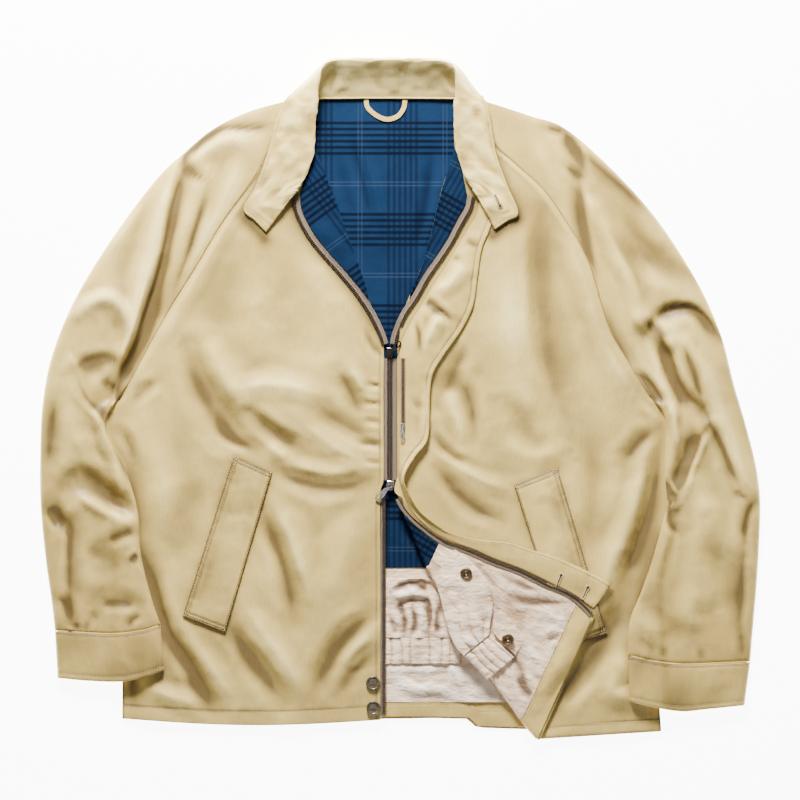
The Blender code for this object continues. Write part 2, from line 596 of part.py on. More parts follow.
def build_guard_back():
    columns = np.linspace(0, 1, 30)
    rows = np.array([-206, -220, -238, -258, -274.4])
    left, right = -60.0, 84.0
    plan = band_plan(left, right, rows, columns)
    middle = guard_back_height(plan[..., 0], plan[..., 1])
    between("guard_back", raised(plan, middle - 0.45), raised(plan, middle + 0.45), "nylon")
    rows = np.array([-275.0, -284, -295, -304.5])
    plan = band_plan(left, right + 3, rows, columns)
    ribs = 0.35 * np.sin(plan[..., 0] / 1.9)
    middle = 4.2 + ribs * 0.6
    between("guard_back_band", raised(plan, np.full(middle.shape, 3.0)), raised(plan, middle + 0.5), "nylon")


def run_fractions(line):
    """How far along its own length each point of a line is, from 0 to 1."""
    run = np.concatenate([[0.0], np.cumsum(np.linalg.norm(np.diff(line, axis=0), axis=1))])
    return run / run[-1]


def build_front_left():
    left = body_edge(SEAM_LEFT, EDGE_LEFT_LINE, 1)
    cut = run_fractions(left)
    right = along(CENTRE_LEFT, cut)
    across = np.linspace(0, 1, 12)
    plan = ruled(left, right, across)
    depth = ease(0.86, 1.0, cut)[:, None] * np.sin(math.pi * across)[None, :]
    plan[..., 1] -= HEM_SAG * depth
    top = front_top(plan[..., 0], plan[..., 1])
    return between("front_left", raised(plan, top - CLOTH), raised(plan, top), "khaki")


# ---------------------------------------------------------------- right front with its turned corner
UPPER_ROWS = SLEEVE_COLUMNS + 4      # down to the slider: the raglan seam and the top of the side seam
CORNER_CUTS = [0.0, 0.015, 0.03, 0.055, 0.085, 0.12, 0.17, 0.23, 0.30, 0.40, 0.52, 0.64, 0.76, 0.88, 1.0]
MAIN_COLUMNS = 10
CURL_COLUMNS = 4
TURNED_COLUMNS = 3
STRIP = 5.0                          # width at the zip that curls over first


def right_front_rows():
    """Middle surface of the right front, from the side seam to the fold and back to the zip."""
    side = body_edge(SEAM_RIGHT, EDGE_RIGHT_LINE, -1)
    side_upper = side[:UPPER_ROWS]
    side_lower = along(side[UPPER_ROWS - 1:], CORNER_CUTS, smooth=False)
    centre = along(CENTRE_RIGHT, run_fractions(side_upper))
    fold = along(FOLD_EDGE, CORNER_CUTS)
    zip_line = along(TURNED_ZIP, CORNER_CUTS)
    tangent = np.gradient(fold, axis=0)
    tangent /= np.linalg.norm(tangent, axis=1, keepdims=True)
    outward = np.stack([tangent[:, 1], -tangent[:, 0]], axis=1)
    half = CLOTH / 2

    grid = []
    for k in range(UPPER_ROWS - 1):
        start = centre[k] + np.array([STRIP, 0.0])
        main = ruled(side_upper[k:k + 1], start[None], np.linspace(0, 1, MAIN_COLUMNS))[0]
        narrow = np.linspace(0, 1, CURL_COLUMNS + TURNED_COLUMNS + 1)
        strip = ruled(start[None], centre[k:k + 1], narrow)[0][1:]
        plan = np.vstack([main, strip])
        grid.append(raised(plan, front_top(plan[:, 0], plan[:, 1]) - half))
    for k, cut in enumerate(CORNER_CUTS):
        reach = FOLD_RADIUS + half
        start = fold[k] - outward[k] * reach
        main = ruled(side_lower[k:k + 1], start[None], np.linspace(0, 1, MAIN_COLUMNS))[0]
        row = list(raised(main, front_top(main[:, 0], main[:, 1]) - half))
        base = row[-1][2]
        turn = math.pi * ease(0.0, 0.06, cut)
        for angle in np.linspace(0, 1, CURL_COLUMNS + 1)[1:]:
            t = angle * max(turn, 0.02)
            spread = STRIP * 0.6 * angle * (1 - ease(0.0, 0.06, cut))
            out = FOLD_RADIUS * math.sin(t) + spread
            rise = FOLD_RADIUS * (1 - math.cos(t))
            spot = start + outward[k] * out
            row.append(np.array([spot[0], spot[1], base + rise]))
        back = row[-1]
        end_plan = zip_line[k]
        settled = ease(0.04, 0.10, cut)
        for u in np.linspace(0, 1, TURNED_COLUMNS + 1)[1:]:
            flat = back[:2] * (1 - u) + end_plan * u
            loose = back[:2] + outward[k] * (math.cos(turn) * 2.0 * u)
            spot = loose * (1 - settled) + flat * settled
            lifted = front_top(spot[0], spot[1]) - half + TURNED
            curl = back[2] + math.sin(turn) * 2.0 * u
            row.append(np.array([spot[0], spot[1], curl * (1 - settled) + lifted * settled]))
        grid.append(np.array(row))
    return np.array(grid)


def build_front_right(grid):
    return sheet("front_right", grid, -CLOTH / 2, CLOTH / 2, "khaki", flip=-1.0)


def corner_rows(rows, start, stop):
    """Rows of the turned corner between two cuts."""
    wanted = np.array([start] + [c for c in CORNER_CUTS if start < c < stop] + [stop])
    after = np.clip(np.searchsorted(CORNER_CUTS, wanted), 1, len(CORNER_CUTS) - 1)
    before = np.array(CORNER_CUTS)[after - 1]
    share = (wanted - before) / (np.array(CORNER_CUTS)[after] - before)
    return rows[after - 1] * (1 - share)[:, None, None] + rows[after] * share[:, None, None]


def beside_zip(rows, clearance):
    """The rows with their flat parts shortened to leave a clearance along the zip line."""
    rows = rows.copy()
    flat = rows[:, -TURNED_COLUMNS - 1:].copy()
    step = flat[:, -1, :2] - flat[:, 0, :2]
    reach = np.linalg.norm(step, axis=1)
    way = np.gradient(flat[:, -1, :2], axis=0)
    way /= np.linalg.norm(way, axis=1, keepdims=True)
    slant = np.abs(step[:, 0] * way[:, 1] - step[:, 1] * way[:, 0]) / reach
    share = np.clip(1 - clearance / slant / reach, 0.1, 1.0)
    even = np.linspace(0, 1, TURNED_COLUMNS + 1)
    for k in range(len(rows)):
        for axis in range(3):
            rows[k, -TURNED_COLUMNS - 1:, axis] = np.interp(even * share[k], even, flat[k, :, axis])
    return rows


def build_corner_linings(grid):
    """Check lining, nylon lining and hem facing on the inner side of the turned corner."""
    first = MAIN_COLUMNS + CURL_COLUMNS // 2
    up = -grid_normals(grid)
    inner = (grid - up * (CLOTH / 2 + CORNER_GAP))[UPPER_ROWS - 1:, first:]
    outer = (grid - up * (CLOTH / 2 + CORNER_GAP + LINING))[UPPER_ROWS - 1:, first:]
    pieces = [("corner_upper_lining", 0.20, 0.297, "check"), ("corner_lower_lining", 0.299, 0.908, "nylon"),
              ("corner_hem_facing", 0.910, 0.992, "khaki")]
    for name, start, stop, finish in pieces:
        low = beside_zip(corner_rows(inner, start, stop), ZIP_TAPE_WIDTH + 0.9)
        high = beside_zip(corner_rows(outer, start, stop), ZIP_TAPE_WIDTH + 0.9)
        between(name, low, high, finish)


# ================================================================ sleeves and cuffs
def lift_over_body(x, y, edge_line):
    """How high the front lifts a sleeve that lies over its side seam."""
    gap, side = line_distance(x, y, edge_line)
    sign = side if edge_line is EDGE_LEFT_LINE else -side
    signed = gap * sign
    below = ease(0, -8, y)
    outside = (EDGE_RISE + 1.0) * ease(-16, -3, signed)
    over = front_top(x, y) + 1.0
    return np.where(signed > 0, np.maximum(over, EDGE_RISE + 1.0), outside) * below


def section_heights(plan, swell, fold_table, edge_line, wall, gap_most):
    """Heights of the underside and top of a flattened tube over its plan points."""
    u = np.linspace(0, 1, plan.shape[1])[None, :]
    lift = lift_over_body(plan[..., 0], plan[..., 1], edge_line)
    crown = (4 * u * (1 - u)) ** 0.42
    least = 2 * wall + 0.9
    top = lift + least + swell[:, None] * crown
    top = top + folds(plan[..., 0], plan[..., 1], fold_table) * crown
    top = np.maximum(top, lift + least)
    under = np.clip(top - 2 * wall - gap_most, lift, lift + SLEEVE_ARCH)
    return under, top


def flattened_tube(name, plan, under, top, wall, finish):
    """Rings round a flattened tube: over the top from inner to outer edge and back underneath."""
    rows, columns = plan.shape[:2]
    outer, inner = [], []
    for r in range(rows):
        edge_in = plan[r, 0] - plan[r, 1]
        edge_in = edge_in / max(np.linalg.norm(edge_in), 1e-6)
        edge_out = plan[r, -1] - plan[r, -2]
        edge_out = edge_out / max(np.linalg.norm(edge_out), 1e-6)
        over = [(*plan[r, c], top[r, c]) for c in range(columns)]
        below = [(*plan[r, c], under[r, c]) for c in range(columns - 1, -1, -1)]
        outer.append(over + below)
        spots = plan[r].copy()
        spots[0] = spots[0] - edge_in * wall * 0.9
        spots[-1] = spots[-1] - edge_out * wall * 0.9
        over_in = [(*spots[c], top[r, c] - wall) for c in range(columns)]
        below_in = [(*spots[c], under[r, c] + wall) for c in range(columns - 1, -1, -1)]
        inner.append(over_in + below_in)
    return tube(name, np.array(outer), np.array(inner), finish)


def sleeve_plan(table, seam, cuff_top, rows, columns):
    """Plan of a sleeve's rings: the first follows the raglan seam, the last the cuff seam."""
    refined = rows_between([row[:5] for row in table], rows)
    u = across_fractions(columns)
    inner, outer = refined[:, 0:2], refined[:, 2:4]
    plan = ruled(inner, outer, u)
    cut = np.linspace(0, 1, rows)
    seam_bow = seam - plan[0]
    cuff_bow = along(cuff_top, u) - plan[-1]
    start = np.clip(1 - cut / 0.24, 0, 1) ** 1.5
    end = np.clip((cut - 0.9) / 0.1, 0, 1) ** 1.5
    plan = plan + start[:, None, None] * seam_bow[None] + end[:, None, None] * cuff_bow[None]
    return plan, refined[:, 4]


def build_sleeve(name, table, seam, cuff_table, fold_table, edge_line):
    rows = SLEEVE_ROWS
    cuff_top = [(x, y + 0.5) for x, y in cuff_table["top"]]
    plan, swell = sleeve_plan(table, seam, cuff_top, rows, SLEEVE_COLUMNS)
    under, top = section_heights(plan, swell, fold_table, edge_line, CLOTH, SLEEVE_GAP)
    seam_top = np.maximum(front_top(plan[0, :, 0], plan[0, :, 1]), 2 * CLOTH + 0.9)
    near = np.clip(1 - np.linspace(0, 1, rows) / 0.12, 0, 1)[:, None]
    top = top * (1 - near) + seam_top[None, :] * near
    under = under * (1 - near)
    under = np.maximum(under, top - 2 * CLOTH - SLEEVE_GAP - 3.0 * near)
    flattened_tube(name, plan, under, top, CLOTH, "khaki")


def build_cuff(name, table, edge_line):
    u = across_fractions(SLEEVE_COLUMNS)
    first = along(table["top"], u)
    last = along(table["bottom"], u)
    plan = ruled(first, last, [0, 0.5, 1]).transpose(1, 0, 2)
    swell = np.array([5.6, 6.2, 5.4])
    under, top = section_heights(plan, swell, [], edge_line, CUFF_WALL, SLEEVE_GAP)
    flattened_tube(name, plan, under, top, CUFF_WALL, "khaki")


# ================================================================ collar
def build_collar():
    grid = []
    for sx, sy, sz, rx, ry, rz, ex, ey, ez in COLLAR:
        seam, roll, edge = np.array([sx, sy, sz]), np.array([rx, ry, rz]), np.array([ex, ey, ez])
        back = ease(352, 384, ry)
        stand = seam * 0.5 + roll * 0.5 + np.array([0, 2.0 * back, -1.5 * back])
        fall = roll * 0.5 + edge * 0.5 + np.array([0, 1.6 * back, 1.3 * (1 - back)])
        near_roll = roll * 0.86 + edge * 0.14 + np.array([0, 0.6 * back, 0.5])
        grid.append(along([seam, stand, roll, near_roll, fall, edge], [0, 0.2, 0.4, 0.5, 0.56, 0.7, 0.85, 1]))
    return sheet("collar", np.array(grid), -COLLAR_WALL / 2, COLLAR_WALL / 2, "khaki")


def ribbon(name, line, width, low, high, finish, count=14):
    """A flat strip of constant width along a line in plan."""
    middle = along(line, np.linspace(0, 1, count))
    way = np.gradient(middle, axis=0)
    way /= np.linalg.norm(way, axis=1, keepdims=True)
    across = np.stack([-way[:, 1], way[:, 0]], axis=1) * width / 2
    plan = np.stack([middle - across, middle + across], axis=1)
    level = np.zeros(plan.shape[:2])
    return between(name, raised(plan, level + low), raised(plan, level + high), finish)


# ================================================================ lapels, zip and storm flap
def build_lapel(name, table, zip_line, side, front):
    rows = rows_between(table, 12)
    zip_side = along(shifted(rounded(zip_line), (ZIP_TAPE_WIDTH + 0.7) * side), rows[:, 2], smooth=False)
    plan = ruled(rows[:, 0:2], zip_side, np.linspace(0, 1, 4))
    base = lying_on(plan, front) + GAP
    between(name, raised(plan, base), raised(plan, base + LINING), "check")


def zip_strip(name, line, side, front, lift, cuts):
    """Zip tape with its row of teeth along a line; the tape is on its left if side is 1."""
    middle = along(line, cuts)
    offsets = np.array([ZIP_TAPE_WIDTH, 0.6, 0.2, -ZIP_TEETH_REACH]) * side
    plan = np.stack([shifted(middle, offset) for offset in offsets], axis=1)
    floor = lying_on(plan, front) + GAP if lift == 0 else front_top(plan[..., 0], plan[..., 1]) + lift + GAP
    rise = np.array([ZIP_TAPE, ZIP_TAPE, ZIP_BEAD, ZIP_BEAD])[None, :]
    return between(name, raised(plan, floor), raised(plan, floor + rise), "tape")


def build_zips(front_left, front_right):
    zip_strip("zip_top_left", ZIP_LEFT, 1, front_left, 0, np.linspace(0, 1, 14))
    zip_strip("zip_top_right", ZIP_RIGHT, -1, front_right, 0, np.linspace(0, 1, 14))
    zip_strip("zip_bottom_right", TURNED_ZIP, -1, front_right, TURNED, np.linspace(0.14, 0.985, 15))

    columns = [-18.2, -15.7, -15.4, -8.4, -8.1, -3.0]
    rows = np.linspace(46.6, -93.5, 6)
    plan = np.array([[(x, y) for x in columns] for y in rows])
    rise = np.array([ZIP_TAPE, ZIP_TAPE, ZIP_BEAD + 0.4, ZIP_BEAD + 0.4, ZIP_TAPE, ZIP_TAPE])[None, :]
    low = np.full(plan.shape[:2], ZIP_SEAT)
    between("zip_closed", raised(plan, low), raised(plan, low + rise), "tape")

    columns = np.array([-22.0, -17.4, -17.1, -12.4])
    rows = np.array([-105.8, -118.0, -160.0, -211.0, -262.0, -313.0, -364.0])
    plan = np.array([[(x, y) for x in columns] for y in rows])
    plan[0, 0, 0] += 3.4
    rise = np.array([ZIP_TAPE, ZIP_TAPE, ZIP_BEAD, ZIP_BEAD])[None, :]
    low = np.full(plan.shape[:2], ZIP_SEAT)
    between("zip_bottom_left", raised(plan, low), raised(plan, low + rise), "tape")


def build_storm_flap():
    rows = rows_between(STORM_FLAP, 31)
    u = np.linspace(0, 1, 7)
    plan = ruled(rows[:, 0:2], rows[:, 2:4], u)
    root, crest, edge = rows[:, 4:5], rows[:, 5:6], rows[:, 6:7]
    bow = 4 * u * (1 - u)
    straight = root * (1 - u) + edge * u
    lift = straight + (crest - (root + edge) / 2) * bow
    middle = front_top(plan[..., 0], plan[..., 1]) + lift
    return sheet("storm_flap", raised(plan, middle), -0.6, 0.6, "khaki")


# ================================================================ wind guard on the corner
def corner_top(x, y):
    """Height of the lining on the turned corner."""
    return front_top(x, y) + TURNED + CORNER_GAP + LINING


def build_guard_front():
    rows = rows_between(GUARD_FRONT, 12)
    u = np.linspace(0, 1, 12)
    plan = ruled(rows[:, 0:2], rows[:, 2:4], u)
    puff = rows[:, 4:5] * (4 * u * (1 - u)) ** 0.6
    gathers = 0.5 * np.cos(u * 11 * math.pi)[None, :] * ease(0.55, 1.0, np.linspace(0, 1, 12))[:, None]
    low = corner_top(plan[..., 0], plan[..., 1]) + CORNER_GAP
    middle = low + puff + gathers + 0.5
    body = between("guard_front", raised(plan, middle - 0.5), raised(plan, middle + 0.5), "nylon")

    rows = rows_between(GUARD_BAND, 4)
    u = np.linspace(0, 1, 19)
    plan = ruled(rows[:, 0:2], rows[:, 2:4], u)
    low = corner_top(plan[..., 0], plan[..., 1]) + CORNER_GAP
    ribs = 0.5 * np.cos(u * 18 * math.pi)[None, :]
    upper = low + 1.6 + rows[:, 4:5] * (4 * u * (1 - u)) ** 0.5 + ribs
    return body, between("guard_front_band", raised(plan, low + 0.2), raised(plan, upper), "nylon")


def build_guard_tab(band_height):
    rows = rows_between(GUARD_TAB, 7)
    plan = ruled(rows[:, 0:2], rows[:, 2:4], np.linspace(0, 1, 6))
    base = corner_top(plan[..., 0], plan[..., 1]) + CORNER_GAP
    for r in range(plan.shape[0]):
        for c in range(plan.shape[1]):
            x, y = plan[r, c]
            nearby = [band_height(x + dx, y + dy) for dx in (-3, 0, 3) for dy in (-3, 0, 3)]
            found = [h for h in nearby if h is not None]
            if found:
                base[r, c] = max(base[r, c], max(found) + 0.3)
    return between("guard_tab", raised(plan, base), raised(plan, base + 1.2), "nylon")


# ================================================================ pockets and small hard pieces
def build_pocket(name, corners):
    top = along(corners[0:2], np.linspace(0, 1, 4), smooth=False)
    bottom = along([corners[3], corners[2]], np.linspace(0, 1, 4), smooth=False)
    plan = ruled(top, bottom, np.linspace(0, 1, 12)).transpose(1, 0, 2)
    base = front_top(plan[..., 0], plan[..., 1]) + POCKET_GAP
    between(name, raised(plan, base), raised(plan, base + CLOTH), "khaki")


def build_buttons(front):
    radius, thick, rim = 8.2, 2.6, 6.4
    profile = [(0, 0), (radius - 0.8, 0), (radius, 0.8), (radius, 1.9), (radius - 0.7, thick), (rim, thick),
               (rim - 0.6, 1.8), (0, 1.7)]
    for name, (x, y) in BUTTONS.items():
        lathe(name, profile, (x, y, seat_on(front, x, y, 8.2)), "horn", 16)


def build_snaps(grounds):
    profile = [(0, 0), (6.4, 0), (7.0, 0.6), (7.0, 1.2), (6.2, 1.9), (4.2, 1.9), (3.8, 1.2), (2.6, 1.2),
               (2.3, 2.6), (1.2, 2.9), (1.0, 1.4), (0, 1.4)]
    for name, (x, y) in SNAPS.items():
        lathe(name, profile, (x, y, seat_on(grounds[name], x, y, 7.0)), "brass", 14)


def spokes(outline, middle, count):
    """Points of a closed outline seen from a middle point, one for each of count directions."""
    dense = along(np.vstack([outline, outline[:1]]), np.linspace(0, 1, 600), smooth=False) - middle
    bearing = np.arctan2(dense[:, 1], dense[:, 0])
    wanted = np.linspace(-math.pi, math.pi, count, endpoint=False)
    for corner in np.array(outline) - middle:
        angle = math.atan2(corner[1], corner[0])
        wanted[np.argmin(np.abs(wanted - angle))] = angle
    turn = np.abs(np.angle(np.exp(1j * (bearing[None, :] - np.sort(wanted)[:, None]))))
    return dense[np.argmin(turn, axis=1)] + middle


def stack(name, outlines, finish, at=(0, 0, 0)):
    """A closed body through a stack of outlines, each with its height."""
    around = len(outlines[0][0])
    points, faces = [], []
    for outline, height in outlines:
        points += [(x, y, height) for x, y in outline]
    for level in range(len(outlines) - 1):
        for k in range(around):
            j = (k + 1) % around
            a, b = level * around + k, level * around + j
            faces.append((a, b, b + around, a + around))
    faces.append(tuple(range(around)))
    faces.append(tuple(range(len(points) - around, len(points)))[::-1])
    return solid(name, points, faces, finish, at)


def swept_bar(name, path, radius, finish, at, sides=6):
    """A round bar through a few points in its own X = 0 plane."""
    path = np.array(path, float)
    way = np.gradient(path, axis=0)
    way /= np.linalg.norm(way, axis=1, keepdims=True)
    side = np.array([1.0, 0.0, 0.0])
    points, faces = [], []
    for spot, along_way in zip(path, way):
        other = np.cross(along_way, side)
        for angle in np.linspace(0, 2 * math.pi, sides, endpoint=False):
            points.append(spot + radius * (math.cos(angle) * side + math.sin(angle) * other))
    for level in range(len(path) - 1):
        for k in range(sides):
            j = (k + 1) % sides
            a, b = level * sides + k, level * sides + j
            faces.append((a, b, b + sides, a + sides))
    faces.append(tuple(range(sides)))
    faces.append(tuple(range(len(points) - sides, len(points)))[::-1])
    return solid(name, points, faces, finish, at)


def join(thing, other):
    """Union of a body with a second one, which is hidden as its cutter."""
    other.hide_render = True
    other.display_type = "WIRE"
    modifier = thing.modifiers.new("union " + other.name, "BOOLEAN")
    modifier.operation = "UNION"
    modifier.solver = "EXACT"
    modifier.object = other


def build_slider(key, spec):
    """Zip slider: two plates on a neck, with a bridge across its top for the pull tab."""
    width, length = spec["size"]
    scale = width / 9.0
    shield = [(-0.5, 0.42), (-0.36, 0.5), (0.36, 0.5), (0.5, 0.42), (0.5, 0.05), (0.36, -0.42), (0.28, -0.5),
              (-0.28, -0.5), (-0.36, -0.42), (-0.5, 0.05)]
    full = spokes([(x * width, y * length) for x, y in shield], np.zeros(2), 14)
    seat, top = spec["seat"], spec["top"]
    plate_thick = 1.1 * scale
    levels = [(full * 0.92, 0.0), (full, 0.25), (full, plate_thick), (full * 0.62, plate_thick + 0.15),
              (full * 0.62, top - seat - plate_thick - 0.15), (full, top - seat - plate_thick),
              (full, top - seat - 0.3), (full * 0.9, top - seat)]
    x, y = spec["at"]
    body = stack("slider_" + key, levels, spec["finish"], (x, y, seat))
    half = 2.15 * scale
    pivot = pivot_height(spec)
    low = top - 0.6
    path = [(0, -half, low - pivot), (0, -half, -0.9 * scale), (0, -half * 0.72, -0.1), (0, 0, 0),
            (0, half * 0.72, -0.1), (0, half, -0.9 * scale), (0, half, low - pivot)]
    bridge = swept_bar("bridge_" + key, path, 0.62 * scale, spec["finish"], (x, y, pivot))
    bridge.rotation_euler[2] = math.radians(spec["turn"])
    join(body, bridge)


def pivot_height(spec):
    return spec["top"] + 2.4 * spec["size"][0] / 9.0


def build_pull(key, spec):
    """Pull tab: an eye round the slider's bridge and a plate with a slot near its end."""
    scale = spec["size"][0] / 9.0
    length = spec["tab"]
    x, y = spec["at"]
    hinge = empty_at("hinge_" + key, (x, y, pivot_height(spec)))
    hinge.rotation_euler = (0, math.radians(spec["droop"]), math.radians(spec["turn"]))

    angles = np.linspace(0, 2 * math.pi, 12, endpoint=False)
    eye_half = 1.1 * scale
    outer, inner = [], []
    for side in (-eye_half, eye_half):
        outer.append([(1.85 * scale * math.cos(a), side, 1.85 * scale * math.sin(a)) for a in angles])
        inner.append([(1.05 * scale * math.cos(a), side, 1.05 * scale * math.sin(a)) for a in angles])
    eye = tube("eye_" + key, np.array(outer), np.array(inner), spec["finish"])

    wide, neck = spec["tab_width"] / 2, 1.05 * scale
    start = 1.35 * scale
    shoulder = start + 4.6 * scale
    outline = [(start, -neck), (shoulder - 2.0 * scale, -neck), (shoulder, -wide), (length - 1.2, -wide),
               (length, -wide * 0.55), (length, wide * 0.55), (length - 1.2, wide), (shoulder, wide),
               (shoulder - 2.0 * scale, neck), (start, neck)]
    hole_from, hole_to = length * 0.58, length - 2.2
    hole_half = wide * 0.5
    hole = [(hole_from, -hole_half), (hole_to, -hole_half), (hole_to + 0.8, 0), (hole_to, hole_half),
            (hole_from, hole_half), (hole_from - 0.8, 0)]
    around = 16
    middle = np.array([(hole_from + hole_to) / 2, 0.0])
    outer_ring = spokes(outline, middle, around)
    inner_ring = spokes(hole, middle, around)
    thick = 0.65 * scale
    outer = np.array([raised(outer_ring, np.full(around, h)) for h in (-thick, thick)])
    inner = np.array([raised(inner_ring, np.full(around, h)) for h in (-thick, thick)])
    plate_body = tube("pull_" + key, outer, inner, spec["finish"])
    for piece in (eye, plate_body):
        piece.parent = hinge
    join(plate_body, eye)


def empty_at(name, at):
    frame = bpy.data.objects.new(name, None)
    frame.location = Vector(at) * MM
    bpy.context.collection.objects.link(frame)
    return frame


def build_pocket_zip(flap):
    """Short zip let into the flap's root, beside the main zip."""
    x0, x1 = POCKET_ZIP["x"]
    columns = [x0, x0 + 1.7, x0 + 1.9, x1 - 1.9, x1 - 1.7, x1]
    rows = np.linspace(*POCKET_ZIP["y"], 10)
    plan = np.array([[(x, y) for x in columns] for y in rows])
    rise = np.array([0.7, 0.7, 1.5, 1.5, 0.7, 0.7])
    base = lying_on(plan, flap) + 0.35
    between("pocket_zip", raised(plan, base), raised(plan, base + rise), "tape")
    return float(base[-1].max())


clear_scene()
build_back()
build_guard_back()
front_left = build_front_left()
right_grid = right_front_rows()
front_right = build_front_right(right_grid)
build_corner_linings(right_grid)
build_sleeve("sleeve_left", SLEEVE_LEFT, SEAM_LEFT, CUFF_LEFT, SLEEVE_FOLDS_LEFT, EDGE_LEFT_LINE)
build_sleeve("sleeve_right", SLEEVE_RIGHT, SEAM_RIGHT, CUFF_RIGHT, SLEEVE_FOLDS_RIGHT, EDGE_RIGHT_LINE)
build_cuff("cuff_left", CUFF_LEFT, EDGE_LEFT_LINE)
build_cuff("cuff_right", CUFF_RIGHT, EDGE_RIGHT_LINE)
build_collar()
ribbon("hanger_loop", HANGER_LOOP["line"], HANGER_LOOP["width"], 2.9, 2.9 + HANGER_LOOP["thick"], "khaki")
build_lapel("lapel_lining_left", LAPEL_LEFT, ZIP_LEFT, 1, front_left)
build_lapel("lapel_lining_right", LAPEL_RIGHT, ZIP_RIGHT, -1, front_right)
build_zips(front_left, front_right)
storm_flap = build_storm_flap()
guard_front, guard_band = build_guard_front()
guard_tab = build_guard_tab(surface_of(guard_band))
build_pocket("pocket_left", POCKET_LEFT)
build_pocket("pocket_right", POCKET_RIGHT)
build_buttons(front_left)
build_snaps({"snap_upper": guard_front, "snap_lower": guard_tab})
SLIDERS["pocket"]["seat"] = build_pocket_zip(storm_flap)
SLIDERS["pocket"]["top"] = SLIDERS["pocket"]["seat"] + 2.6
for key, spec in SLIDERS.items():
    build_slider(key, spec)
    build_pull(key, spec)
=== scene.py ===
"""Dressed model of the harrington jacket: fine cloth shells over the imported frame.

Tables are in millimetres in the jacket's own frame, +X to the right of someone looking down on it,
+Y towards the collar, +Z up, with the surface it lies on at Z = 0.
"""
import math

import bmesh
import bpy
import numpy as np
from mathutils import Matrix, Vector


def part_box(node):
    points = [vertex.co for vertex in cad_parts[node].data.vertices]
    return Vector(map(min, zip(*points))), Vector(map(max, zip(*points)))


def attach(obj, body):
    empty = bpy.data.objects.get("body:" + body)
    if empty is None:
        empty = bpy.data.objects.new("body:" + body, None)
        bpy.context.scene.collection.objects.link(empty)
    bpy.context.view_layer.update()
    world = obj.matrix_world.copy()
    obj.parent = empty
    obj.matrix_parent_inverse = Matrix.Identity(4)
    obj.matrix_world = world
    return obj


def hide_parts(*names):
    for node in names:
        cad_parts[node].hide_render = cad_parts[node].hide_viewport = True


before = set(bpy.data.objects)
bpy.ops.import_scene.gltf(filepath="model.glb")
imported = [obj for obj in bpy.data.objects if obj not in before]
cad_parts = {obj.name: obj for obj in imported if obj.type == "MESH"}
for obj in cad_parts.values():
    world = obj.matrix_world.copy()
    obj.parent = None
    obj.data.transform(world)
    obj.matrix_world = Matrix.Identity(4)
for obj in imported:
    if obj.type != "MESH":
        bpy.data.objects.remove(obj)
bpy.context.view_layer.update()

MM = 0.001

# ---------------------------------------------------------------- driving sizes, in millimetres
CLOTH = 1.2              # satin-faced cotton with its backing
LINING = 1.0             # checked cotton lining and nylon lining
GAP = 0.4                # clearance between pieces that touch
FRONT_RISE = 7.6         # top of the front above the surface, away from its edges
EDGE_RISE = 2.9          # top of the front at the side seams
RAMP = 42.0              # width over which the front rises from its side seam
FOLD_RADIUS = 2.0        # middle radius of the turned corner's fold
TURNED = 2.0 * FOLD_RADIUS
CORNER_GAP = 0.55        # clearance between the layers lying on the turned corner
SLEEVE_GAP = 3.7         # air between the two layers of a sleeve, away from its folds
SLEEVE_ARCH = 7.0        # most that a sleeve's underside rises off what it lies on
CUFF_WALL = 2.0
COLLAR_WALL = 1.8
ZIP_TAPE = 0.8
ZIP_TAPE_WIDTH = 5.2
ZIP_SEAT = 5.5           # underside of the closed zip above the surface
SEAM_GAP = 0.04          # between the cloth of two pieces sewn together
FLAP_WALL = 1.2          # storm flap
POCKET_LENGTH = 192.0
ZIP_ROW = 4.7            # stitch rows, each at its distance from the edge beside it
HEM_ROW_LEFT = 16.0
HEM_ROW_RIGHT = 14.5
CORNER_HEM_ROW = 2.4
FACING_ROW = 1.8
FLAP_ROW = 5.7
COLLAR_ROW = 3.4
CUFF_ROWS = (3.2, 6.0)   # from the sleeve's seam, and from the cuff's free edge
POCKET_ROWS = (1.9, 4.7)
POCKET_END_ROWS = (2.0, 6.0)
TAB_ROW = 1.9
CHECK_MIDDLE = (2.9, 194.9)     # middle of a dark band of the check, across and along the cloth

# ---------------------------------------------------------------- seams and edges, X and Y in mm
RAGLAN_LEFT = [(-129, 343), (-160, 266), (-204, 203), (-236, 150), (-269, 97), (-295, 50), (-321, 1)]
RAGLAN_RIGHT = [(96, 343), (108, 295), (133, 270), (165, 241), (188, 209), (206, 180), (221, 147),
                (232, 109), (244, 74), (265, 39), (288, 1)]
SIDE_LEFT = [(-321, 1), (-334, -9), (-343, -22), (-344, -38), (-334, -58), (-322, -82), (-318, -130),
             (-319, -240), (-319.5, -367.5)]
SIDE_RIGHT = [(288, 1), (303, -8), (311, -22), (312, -44), (308, -72), (309, -98), (309, -124), (304, -152),
              (295, -182), (289, -210), (291, -256), (296, -320), (300.5, -382)]
NECK_TOP = 349.0         # top edge of the back, under the collar's stand
HEM_SAG = 7.0            # how far the left front's hem hangs below its corners
CENTRE_LEFT = [(-97, 343), (-98, 286), (-86, 258), (-73, 224), (-61, 189), (-49, 158), (-37, 117),
               (-24, 84), (-18.7, 62), (-18.7, 10), (-18.7, -40), (-18.7, -92), (-22.4, -110),
               (-22.4, -180), (-22.4, -270), (-22.4, -369)]
CENTRE_RIGHT = [(64, 343), (62, 282), (53, 256), (44, 224), (35, 185), (24, 149), (10, 115),
                (0, 88), (-2.5, 66), (-2.5, 20), (-2.5, -40), (-2.5, -92)]
# line along which the right front's lower corner is folded over, as seen from above
FOLD_EDGE = [(-3, -98), (-3.5, -106), (1, -121), (6, -137), (14, -153), (21, -171), (38, -206), (60, -246),
             (83, -285), (106, -322), (124, -347), (143, -373), (159, -392.5)]
